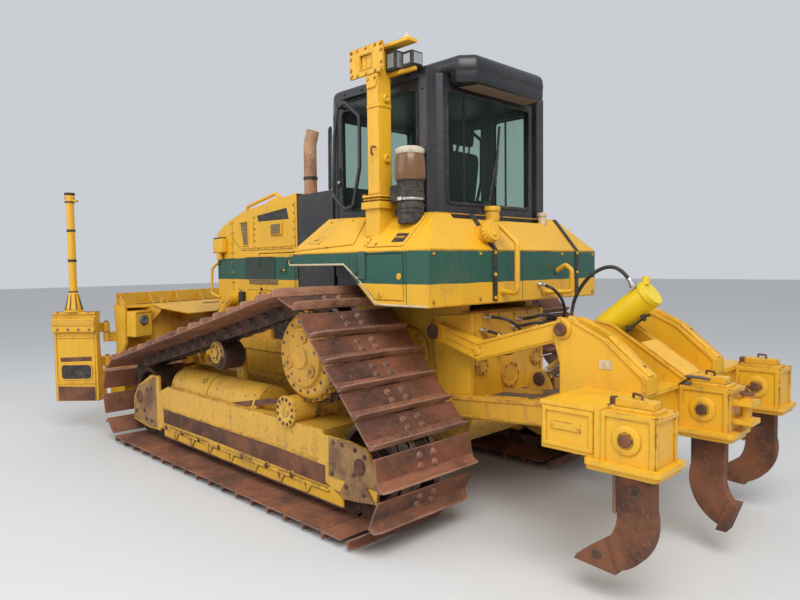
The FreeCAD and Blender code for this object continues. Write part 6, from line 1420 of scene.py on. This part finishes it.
def build_blade():
    """Blade: cutting edge bolts and joints, top plate, guard ribs, back stiffeners, welds, hinge pins."""
    kit = Surface()
    for z in (345, 430):
        n = face_n(z) + 1
        kit.bolts(np.linspace((n, -1160, z), (n, 1160, z), 12), (1, 0, 0.14), 15, 5, 2, 1.0)
    # Joints of the cutting edge: dark strips of painted shade for the gaps
    for s in (-620, 0, 620):
        kit.strip([(face_n(308) + 1, s, 308), (face_n(500) + 1, s, 500)], (1, 0, 0.14), 7, 1.2, 3)
    kit.weld([(face_n(512) + 1, -1246, 512), (face_n(512) + 1, 1246, 512)], 6)
    heights = np.linspace(520, 1300, 12)
    for s in (-830, -415, 0, 415, 830):
        kit.strip(np.stack([face_n(heights), np.full(12, s), heights], 1), AHEAD, 8, 1.5, 1)
    for s in (-1215, 1215):
        kit.strip(np.stack([face_n(heights), np.full(12, s), heights], 1), AHEAD, 62, 8)
    # Spill guard: top rail, ribs' rims and bolts
    kit.pipe([(180, -1218, 1440), (180, 1218, 1440)], 9, 10)
    for s in np.linspace(-1190, 1190, 7):
        kit.strip([(82, s, 1318), (166, s, 1434)], unit([-116, 0, 84]), 24, 5)
    kit.bolts(np.linspace((190, -1050, 1345), (190, 1050, 1345), 8), AHEAD, 10, 8, 2)
    # Top plate: rusty tread strip and lifting eyes
    kit.plate([(60, -1000, 1320), (60, 1000, 1320), (150, 1000, 1320), (150, -1000, 1320)], UP, -1, 4, 2, 4)
    for s in (-700, 700):
        kit.pipe([(20, s - 45, 1316), (20, s - 45, 1366), (20, s + 45, 1366), (20, s + 45, 1316)], 11, 10, 0, 22)
    # Sloping plate behind the top with its rusty middle, gussets under it and boxes at its ends
    drop = unit([-108, 0, 250])
    kit.plate([(-140, -1000, 1312), (-140, 1000, 1312), (-225, 1000, 1277.3), (-400, 770, 1206), (-400, -1000, 1206)],
        drop, -2, 12, 3)
    kit.plate([(-190, -260, 1303), (-190, 330, 1303), (-330, 250, 1243), (-330, -180, 1243)], drop, -2, 2, 1, 4)
    for s in (-980, -500, 0, 500, 980):
        reach = -385 if s < 900 else -215
        kit.plate([(-40, s, 1290), (-150, s, 1290), (reach, s, 1344 + 0.36 * reach), (reach, s, 1328 + 0.36 * reach),
            (-40, s, 1090)], LEFT, -7, 7, 2, 1)
    for sign in (1, -1):
        kit.block((-115, sign * 1012, 985), (70, sign * 1240, 1258), 8)
        kit.turn((-115, sign * 1130, 1165), BACK, [(-2, 58), (8, 58), (14, 50), (20, 46), (20, 24), (12, 18),
            (12, 4)], 32, 5)
        kit.strip([(-117, sign * 1025, 1250), (-117, sign * 1230, 1250)], BACK, 18, 5, 1)
    # Back: stiffeners of the upper box, long welds, lower box plates
    for s in (-940, -640, -340, 340, 640, 940):
        kit.block((-52, s - 8, 930), (-38, s + 8, 1280))
    for z in (908, 1308):
        kit.weld([(-41, -985, z), (-41, 985, z)], 6)
    kit.weld([(61, -1245, 520), (61, 1245, 520)], 6)
    kit.strip([(60, -1240, 455), (60, 1240, 455)], BACK, 26, 7, 1)
    for s in (-1080, -800, 800, 1080):
        kit.block((30, s - 9, 400), (62, s + 9, 515))
    # End plates: rims and the wing hinges' pin caps
    for sign in (1, -1):
        kit.strip([(70, sign * 1250, 400), (70, sign * 1250, 860), (30, sign * 1250, 920), (24, sign * 1250, 1300)],
            (0, sign, 0), 20, 5)
        for z in (674, 1038):
            kit.turn((300, sign * 1258, z + 108), UP, [(0, 20), (8, 20), (12, 15), (12, 4)], 20, 2)
        for z in (570, 934):
            kit.bolts([(150 + 40 * k, sign * 1170, z + 101) for k in range(2)], UP, 10, 8, 2)
    kit.points = [on_blade(points) for points in kit.points]
    kit.make("blade_details", "blade", "yellow_paint", ("worn", "grimy", "bright", "seam", "rust", "grey"))


def build_wing(side_name, sign):
    """Folding wing: back panel's rim and rust-rubbed plate, ribs, welds, edge bolts and the mast's foot."""
    kit = Surface()
    back = 90.0
    outline = rounded([(back, 62, 556), (back, 388, 556), (back, 388, 716), (back, 62, 716)], 45, 5)
    kit.plate(outline, BACK, -1, 3, 2, 5)
    kit.plate([(back, 20, 334), (back, 430, 334), (back, 430, 486), (back, 20, 478)], BACK, -1, 3, 2, 4)
    kit.strip([(back, 60, 775), (back, 390, 765)], BACK, 46, 1.6, 4)
    kit.strip(outline, BACK, 16, 7, 0, closed=True)
    for z in (520, 1000):
        kit.strip([(back, 24, z), (back, 428, z)], BACK, 20, 9)
    for s in (26, 424):
        kit.weld([(back - 1, s, 335), (back - 1, s, 1050)])
    kit.strip([(50, 8, 1150), (50, 440, 1150)], BACK, 60, 4, 1)
    kit.bolts([(50, s, 1085) for s in (60, 170, 280, 390)], BACK, 11, 9, 2)
    for z in (345, 430):
        kit.bolts([(face_n(z) + 1, s, z) for s in (60, 170, 280, 390)], (1, 0, 0.14), 15, 5, 2, 1.0)
    # Outer end plate with its pin disc and two lugs
    kit.strip([(200, 450, 340), (120, 450, 500), (110, 450, 1230)], LEFT, 18, 5)
    kit.turn((150, 448, 700), LEFT, [(0, 44), (8, 44), (13, 38), (13, 16), (9, 12), (9, 4)], 32, 2)
    for z in (520, 880):
        kit.block((120, 446, z - 40), (176, 470, z + 40), 5, 1)
        kit.bolts([(148, 470, z)], LEFT, 12, 10, 2)
    kit.bolts([(60, s, 1264) for s in (70, 390)], UP, 12, 9, 2)
    kit.strip([(face_n(1250) - 12, 5, 1262), (face_n(1250) - 12, 445, 1262)], UP, 26, 5, 4)
    # Mast: flange bolts, eight gussets, joint rings, and a cap with a socket, the cap dark brown as painted shade of
    # the socket
    n, s, low = 130.0, 247.5, 1264.0
    angles = 2 * np.pi * (np.arange(8) + 0.5) / 8
    kit.bolts(np.stack([n + 84 * np.cos(angles) * 0.97, s + 84 * np.sin(angles) * 0.97, np.full(8, low + 24)], 1),
        UP, 6, 8, 2)
    for angle in angles + np.pi / 8:
        spoke = np.array([math.cos(angle), math.sin(angle), 0])
        foot = np.array([n, s, low])
        kit.plate([foot + spoke * 74 + (0, 0, 24), foot + spoke * 90 + (0, 0, 24), foot + spoke * 60 + (0, 0, 150),
            foot + spoke * 44 + (0, 0, 205), foot + spoke * 38 + (0, 0, 205)], np.cross(spoke, UP), -4, 4, 1.5, 5)
    for z, grow in ((low + 206, 8), (1800, 5), (2110, 5)):
        kit.turn((n, s, z), UP, [(-12, 38), (-12, 38 + grow), (12, 38 + grow), (12, 38)], 32, 5)
    kit.turn((n, s, 2400), UP, [(0, 46), (0, 52), (12, 52), (12, 46)], 32, 5)
    kit.turn((n, s, 2495), UP, [(-20, 46), (-20, 51), (2, 51), (5, 47), (5, 26), (-40, 25)], 32, 3)
    kit.bolts([(n + 47 * math.cos(a), s + 47 * math.sin(a), 2445) for a in (0.4, 2.5, 4.6)],
        [(math.cos(a), math.sin(a), 0) for a in (0.4, 2.5, 4.6)], 7, 8, 2)
    change = on_wing(sign)
    kit.points = [change(points) for points in kit.points]
    kit.make("wing_" + side_name + "_details", "wing_" + side_name, "yellow_paint",
        ("worn", "grimy", "bright", "seam", "rust", "black"))


def build_push():
    """Push frame: trunnion caps, rims, welds, lugs' bosses and the cylinders' trim."""
    kit = Surface()
    y = 620.0
    kit.turn((850, y, 620), LEFT, [(-1, 66), (-1, 98), (10, 98), (15, 92), (15, 66), (11, 62), (11, 6)], 40)
    kit.bolts(upright((850, y + 11, 620), 46, 6), LEFT, 9, 9, 1)
    for z in (560, 680):
        kit.strip(side(y, [(950, z), (2740, z)]), LEFT, 16, 6)
    kit.weld([(960, 560, 696), (2740, 560, 696)])
    for x in (1300, 1800, 2250):
        kit.strip(side(y, [(x, 558), (x, 682)]), LEFT, 20, 8)
    kit.block((1240, 520, 694), (1420, 600, 702), 3, 1)
    for wall, sign in ((570 + 45, 1), (570 - 45, -1)):
        kit.turn((2800, wall, 790), (0, sign, 0), [(-1, 20), (-1, 48), (5, 48), (8, 42), (8, 6)], 32, 1)
    kit.turn((2500, 330, 820), UP, [(-1, 21), (-1, 40), (6, 40), (9, 34), (9, 6)], 28, 1)
    kit.mirrored()
    kit.weld([(2442, -495, 640), (2442, 495, 640)], 6)
    kit.strip([(2328, -480, 620), (2328, 480, 620)], BACK, 40, 7)
    kit.make("push_frame_details", "blade_frame", "yellow_paint", ("grimy", "worn"))
    for side_name, sign in (("left", 1), ("right", -1)):
        start, end = (2100, sign * 570, 1395), (2800, sign * 570, 790)
        dressed_cylinder("lift_" + side_name + "_details", "lift_cylinder_" + side_name, start, end, (670, 30),
            55.0, "yellow", 30.0, (0.6, 0, 0.8))
        start, end = (2500, sign * 330, 760), on_blade((-120, sign * 560, 760))
        dressed_cylinder("angle_" + side_name + "_details", "angle_cylinder_" + side_name, start, end, (620, 80),
            50.0, "yellow", 28.0)
    start, end = on_blade((-100, -150, 985)), on_blade((-100, 480, 985))
    dressed_cylinder("tilt_details", "tilt_cylinder", start, end, (440, 80), 42.0, "yellow", 24.0)


# Hull and hoses

# Free hoses: name, body, diameter in mm, control points of the route in the machine frame
HOSES = (
    ("hose_upper", "tractor", 24, ((-852, -92, 1300), (-955, -92, 1308), (-1055, -128, 1345), (-1108, -218, 1328),
    (-1062, -312, 1262), (-960, -352, 1230), (-852, -352, 1226))),
    ("hose_middle", "tractor", 22, ((-852, -30, 1250), (-950, -30, 1260), (-1040, -65, 1290), (-1085, -165, 1272),
    (-1045, -265, 1205), (-950, -300, 1177), (-852, -300, 1175))),
    ("hose_long", "tractor", 22, ((-987, -180, 1560), (-1085, -184, 1552), (-1145, -250, 1455), (-1125, -330, 1335),
    (-1045, -385, 1285), (-950, -400, 1284), (-852, -400, 1290))),
    ("hose_left", "tractor", 22, ((-852, 290, 1340), (-950, 290, 1346), (-1040, 252, 1325), (-1068, 165, 1265),
    (-1020, 88, 1208), (-940, 66, 1190), (-852, 70, 1190))),
    # Loop on the ram from its end port to the one by its gland
    ("hose_ram", "ripper_cylinder", 24, ((-1835, 60, 1563), (-1800, 75, 1640), (-1700, 90, 1700), (-1560, 95, 1640),
    (-1450, 90, 1500), (-1405, 70, 1360), (-1412, 50, 1260), (-1420, 50, 1205))),
    ("hose_low", "tractor", 22, ((-852, 330, 1250), (-941, 330, 1248), (-1028, 292, 1213), (-1053, 213, 1155),
    (-1015, 159, 1099), (-933, 140, 1066), (-852, 140, 1066))),
)


def build_hoses():
    """Free hydraulic hoses as NURBS lines, each with a crimped sleeve and nut where it ends."""
    fittings = {}
    for name, body, diameter, route in HOSES:
        curve = bpy.data.curves.new(name, "CURVE")
        curve.dimensions = "3D"
        curve.bevel_depth = diameter / 2000
        curve.bevel_resolution = 4
        curve.resolution_u = 10
        curve.use_fill_caps = True
        line = curve.splines.new("NURBS")
        line.points.add(len(route) - 1)
        places = np.array(route, float) / 1000 + SHIFT
        line.points.foreach_set("co", np.insert(places, 3, 1.0, axis=1).ravel())
        line.order_u = 3
        line.use_endpoint_u = True
        curve.materials.append(FINISHES["rubber"]())
        piece = bpy.data.objects.new(name, curve)
        bpy.context.scene.collection.objects.link(piece)
        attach(piece, body)
        for end, near in ((route[0], route[1]), (route[-1], route[-2])):
            way = unit(np.array(near, float) - np.array(end, float))
            profile = [(at, diameter * wide) for at, wide in ((-4, 0.95), (14, 0.95), (16, 0.75), (26, 0.75),
                (28, 0.62), (56, 0.62), (60, 0.52))]
            fittings.setdefault(body, Surface()).turn(end, way, profile, 12, 0)
    for body, kit in fittings.items():
        kit.make("hose_fittings_" + body, body, "charcoal_paint", ("steel",))


def build_hull():
    """Hull: rear case plate and covers, drive covers, ripper bracket rims and belly plates."""
    kit = Surface()
    x = -850.0
    panel = rounded([(x, 310, 1191), (x, 310, 1366), (x, -401, 1366), (x, -401, 1191)], 18, 3)
    kit.plate(panel, BACK, -1, 10, 3)
    kit.bolts([(x - 10, y, z) for y in (280, 130, -60, -220, -372) for z in (1210, 1347)], BACK, 10, 9, 1)
    # Seam down the plate: a dark strip of painted shade for its groove
    kit.strip([(x - 10, -45, 1200), (x - 10, -45, 1358)], BACK, 5, 1.2, 4)
    for y, z, radius in ((330, 1000, 70), (-330, 1000, 70), (0, 905, 105)):
        kit.turn((x, y, z), BACK, [(-1, radius), (12, radius), (18, radius - 8), (18, radius - 30),
            (13, radius - 36), (13, 8)], 36)
        kit.bolts(upright((y, x - 18, z), radius - 18, 8)[:, (1, 0, 2)], BACK, 8, 8, 1)
    kit.block((x - 60, -250, 700), (x + 5, 250, 760), 8)
    for y in (-400, 400):
        kit.weld([(x - 1, y, 640), (x - 1, y, 1360)], 6)
    # Bracket cheeks: rim along the front edge, pin bosses
    half = Surface()
    half.strip(side(442, [(-578, 660), (-505, 1150), (-505, 1330)]), LEFT, 16, 4)
    for at_x, z in ((-675, 720), (-600, 1240)):
        half.turn((at_x, 442, z), LEFT, [(-1, 39), (-1, 62), (6, 62), (6, 39)], 36)
        half.turn((at_x, 555, z), LEFT, [(-1, 54), (6, 54), (11, 47), (11, 20), (8, 16), (8, 4)], 36, 3)
        half.plate(side(564, [(at_x - 9, z + 12), (at_x + 9, z + 12), (at_x + 9, z + 70), (at_x - 9, z + 70)]),
            LEFT, -1, 6, 2, 3)
    # Drive covers on the inner side of the final drives
    half.turn((-260, 430, 1060), LEFT, [(0, 190), (20, 190), (28, 180), (28, 140), (18, 130), (18, 60)], 48)
    half.bolts(upright((-260, 458, 1060), 160, 14), LEFT, 11, 10, 1)
    # Belly guard plates
    for x0, x1 in ((-600, 60), (80, 760), (780, 1460), (1480, 2160)):
        half.block((x0, 4, 418), (x1, 424, 431), 4)
        half.bolts([(at_x, at_y, 418) for at_x in (x0 + 40, x1 - 40) for at_y in (60, 380)], (0, 0, -1), 13, 8, 1)
    for z in (520, 900):
        half.strip(side(430, [(-380, z), (2180, z)]), LEFT, 18, 6)
    for at_x in (300, 900, 1500):
        half.turn((at_x, 430, 700), LEFT, [(-1, 46), (8, 46), (12, 38), (12, 10)], 28)
    half.mirrored()
    kit.points += half.points
    kit.faces += [faces + kit.count for faces in half.faces]
    kit.slots += half.slots
    kit.count += half.count
    kit.make("hull_details", "tractor", "yellow_paint", ("grimy", "worn", "black", "rust", "seam"))


# Studio

CAMERA_PLACE = (-3717.94, 3930.90, 1715.48)
CAMERA_RIGHT = (-0.6999, -0.7142, 0.0)
CAMERA_FORWARD = (0.7133, -0.6990, -0.0539)
CAMERA_ROLL = 0.01236


def build_stage():
    """Floor, lights and the camera at the photograph's place."""
    size = 60.0
    mesh = bpy.data.meshes.new("floor")
    corners = [(-size, -size, 0), (size, -size, 0), (size, size, 0), (-size, size, 0)]
    mesh.from_pydata(corners, [], [(0, 1, 2, 3)])
    tree = Tree("floor_coat")
    tree.finish(tree.mix(tree.noise(0.8, 3), (0.60, 0.60, 0.59), (0.64, 0.64, 0.63)), 0.9)
    mesh.materials.append(tree.material)
    floor = bpy.data.objects.new("floor", mesh)
    bpy.context.scene.collection.objects.link(floor)
    world = bpy.data.worlds.new("studio")
    bpy.context.scene.world = world
    world.use_nodes = True
    world.node_tree.nodes["Background"].inputs[0].default_value = (0.90, 0.94, 1.0, 1.0)
    world.node_tree.nodes["Background"].inputs[1].default_value = 0.66
    # name, place, target, size, power
    for name, place, target, spread, power in (("key", (-7.0, 5.0, 9.0), (0.0, 0.0, 1.0), 7.0, look().key_power),
            ("fill", (3.0, 9.0, 6.0), (0.0, 0.0, 1.0), 8.0, 330.0)):
        light = bpy.data.lights.new(name, "AREA")
        light.size, light.energy = spread, power
        holder = bpy.data.objects.new(name, light)
        way = unit(np.array(target) - np.array(place))
        u, v = across(way)
        holder.matrix_world = Matrix([(*pair, at) for *pair, at in zip(u, np.cross(u, way), -way, place)]
            + [(0, 0, 0, 1)])
        bpy.context.scene.collection.objects.link(holder)
    forward = unit(CAMERA_FORWARD)
    right = unit(CAMERA_RIGHT)
    down = np.cross(forward, right)
    c, s = math.sqrt(1 - CAMERA_ROLL ** 2), CAMERA_ROLL
    x_axis, y_axis = c * right + s * down, s * right - c * down
    place = np.array(CAMERA_PLACE) / 1000 + SHIFT
    camera = bpy.data.cameras.new("camera")
    camera.sensor_width, camera.lens = 36.0, 29.44
    camera.clip_end = 200.0
    holder = bpy.data.objects.new("camera", camera)
    holder.matrix_world = Matrix([(x, y, -f, p) for x, y, f, p in zip(x_axis, y_axis, forward, place)]
        + [(0, 0, 0, 1)])
    bpy.context.scene.collection.objects.link(holder)
    bpy.context.scene.camera = holder
    bpy.context.scene.view_settings.view_transform = "Standard"


class Settings(bpy.types.PropertyGroup):
    """Sizes and colours of the machine's looks that a user would change."""
    paint_color: bpy.props.FloatVectorProperty(
        name="Machine paint", description="Colour of the main paint", subtype="COLOR", size=3, min=0.0, max=1.0,
        default=(0.83, 0.44, 0.018))
    band_color: bpy.props.FloatVectorProperty(
        name="Band", description="Colour of the band round hood, fenders and tank", subtype="COLOR", size=3,
        min=0.0, max=1.0, default=(0.006, 0.064, 0.042))
    cab_color: bpy.props.FloatVectorProperty(
        name="Cab", description="Colour of the cab's frame and the cowl", subtype="COLOR", size=3, min=0.0,
        max=1.0, default=(0.017, 0.018, 0.021))
    ram_color: bpy.props.FloatVectorProperty(
        name="Ripper ram", description="Colour of the newly painted ripper ram", subtype="COLOR", size=3,
        min=0.0, max=1.0, default=(0.86, 0.60, 0.010))
    rust_color: bpy.props.FloatVectorProperty(
        name="Rust", description="Colour of the light rust", subtype="COLOR", size=3, min=0.0, max=1.0,
        default=(0.20, 0.072, 0.030))
    band_low: bpy.props.FloatProperty(
        name="Band from", description="Height of the band's lower edge", unit="LENGTH", min=1.45, max=1.70,
        default=1.590)
    band_high: bpy.props.FloatProperty(
        name="Band to", description="Height of the band's upper edge", unit="LENGTH", min=1.71, max=1.95,
        default=1.800)
    wear: bpy.props.FloatProperty(
        name="Grouser wear", description="How far the grousers are worn down at their ends", unit="LENGTH",
        min=0.0, max=0.020, default=0.011)
    bolt_size: bpy.props.FloatProperty(
        name="Bolt size", description="Factor on every bolt head", subtype="FACTOR", min=0.5, max=1.3, default=1.0)
    weld_size: bpy.props.FloatProperty(
        name="Weld size", description="Factor on the thickness of the weld beads", subtype="FACTOR", min=0.5,
        max=1.5, default=1.0)
    chips: bpy.props.FloatProperty(
        name="Paint chips", description="How far chips spread from the paint's edges", subtype="FACTOR",
        min=0.0, max=2.0, default=1.0)
    key_power: bpy.props.FloatProperty(
        name="Key light", description="Power of the main lamp", unit="POWER", min=100.0, max=3000.0, default=950.0)


def look():
    """The values in the panel."""
    return bpy.context.scene.bulldozer


class BULLDOZER_OT_cad(bpy.types.Operator):
    """Give the CAD nodes their finishes"""
    bl_idname = "bulldozer.cad"
    bl_label = "CAD finishes"

    def execute(self, context):
        finish_cad()
        return {"FINISHED"}


class BULLDOZER_OT_tracks(bpy.types.Operator):
    """Build the shoes, links, pins and final drives of both tracks"""
    bl_idname = "bulldozer.tracks"
    bl_label = "Tracks"

    def execute(self, context):
        for side_name, sign in (("left", 1), ("right", -1)):
            build_track(side_name, sign)
            build_drive(side_name, sign)
        build_frame_details()
        return {"FINISHED"}


class BULLDOZER_OT_hood(bpy.types.Operator):
    """Build the hood's panels and the nose guard's bars"""
    bl_idname = "bulldozer.hood"
    bl_label = "Hood"

    def execute(self, context):
        build_hood()
        build_guard()
        return {"FINISHED"}


class BULLDOZER_OT_fenders(bpy.types.Operator):
    """Build the lids, trim, fillers and straps of the fenders and tank"""
    bl_idname = "bulldozer.fenders"
    bl_label = "Fenders and tank"

    def execute(self, context):
        build_fenders()
        build_tank()
        return {"FINISHED"}


class BULLDOZER_OT_cab(bpy.types.Operator):
    """Build the roof, gaskets, rails, doors' trim and seat of the cab"""
    bl_idname = "bulldozer.cab"
    bl_label = "Cab"

    def execute(self, context):
        build_roof()
        build_cab()
        for side_name, sign in (("left", 1), ("right", -1)):
            build_cab_door(side_name, sign)
        build_seat()
        return {"FINISHED"}


class BULLDOZER_OT_post(bpy.types.Operator):
    """Build the equipment post's fittings and the air cleaner bowl"""
    bl_idname = "bulldozer.post"
    bl_label = "Post and bowl"

    def execute(self, context):
        build_post()
        build_bowl()
        return {"FINISHED"}


class BULLDOZER_OT_ripper(bpy.types.Operator):
    """Build the trim of the ripper's beam, pockets, shanks, links and ram"""
    bl_idname = "bulldozer.ripper"
    bl_label = "Ripper"

    def execute(self, context):
        build_ripper()
        return {"FINISHED"}


class BULLDOZER_OT_blade(bpy.types.Operator):
    """Build the trim of the blade, its folding wings and the masts on them"""
    bl_idname = "bulldozer.blade"
    bl_label = "Blade and wings"

    def execute(self, context):
        build_blade()
        for side_name, sign in (("left", 1), ("right", -1)):
            build_wing(side_name, sign)
        return {"FINISHED"}


class BULLDOZER_OT_push(bpy.types.Operator):
    """Build the trim of the push frame and of the blade's cylinders"""
    bl_idname = "bulldozer.push"
    bl_label = "Push frame and cylinders"

    def execute(self, context):
        build_push()
        return {"FINISHED"}


class BULLDOZER_OT_hull(bpy.types.Operator):
    """Build the hull's plates and covers and the free hoses behind it"""
    bl_idname = "bulldozer.hull"
    bl_label = "Hull and hoses"

    def execute(self, context):
        build_hull()
        build_hoses()
        return {"FINISHED"}


class BULLDOZER_OT_stage(bpy.types.Operator):
    """Build the floor, the lights and the camera"""
    bl_idname = "bulldozer.stage"
    bl_label = "Studio"

    def execute(self, context):
        build_stage()
        return {"FINISHED"}


class BULLDOZER_PT_panel(bpy.types.Panel):
    """Buttons for each group of pieces"""
    bl_label = "Bulldozer"
    bl_space_type = "VIEW_3D"
    bl_region_type = "UI"
    bl_category = "Bulldozer"

    def draw(self, context):
        for name in Settings.__annotations__:
            self.layout.prop(look(), name)
        for operator in OPERATORS:
            self.layout.operator(operator.bl_idname)


OPERATORS = (BULLDOZER_OT_cad, BULLDOZER_OT_tracks, BULLDOZER_OT_hood, BULLDOZER_OT_fenders,
    BULLDOZER_OT_cab, BULLDOZER_OT_post, BULLDOZER_OT_ripper, BULLDOZER_OT_blade,
    BULLDOZER_OT_push, BULLDOZER_OT_hull, BULLDOZER_OT_stage)
CLASSES = (Settings, *OPERATORS, BULLDOZER_PT_panel)


def register():
    for entry in CLASSES:
        bpy.utils.register_class(entry)
    bpy.types.Scene.bulldozer = bpy.props.PointerProperty(type=Settings)


def unregister():
    del bpy.types.Scene.bulldozer
    for entry in reversed(CLASSES):
        bpy.utils.unregister_class(entry)


def main():
    """Registers the add-on and runs every operator."""
    register()
    for operator in OPERATORS:
        getattr(bpy.ops.bulldozer, operator.bl_idname.split(".")[1])()


if __name__ == "__main__":
    main()
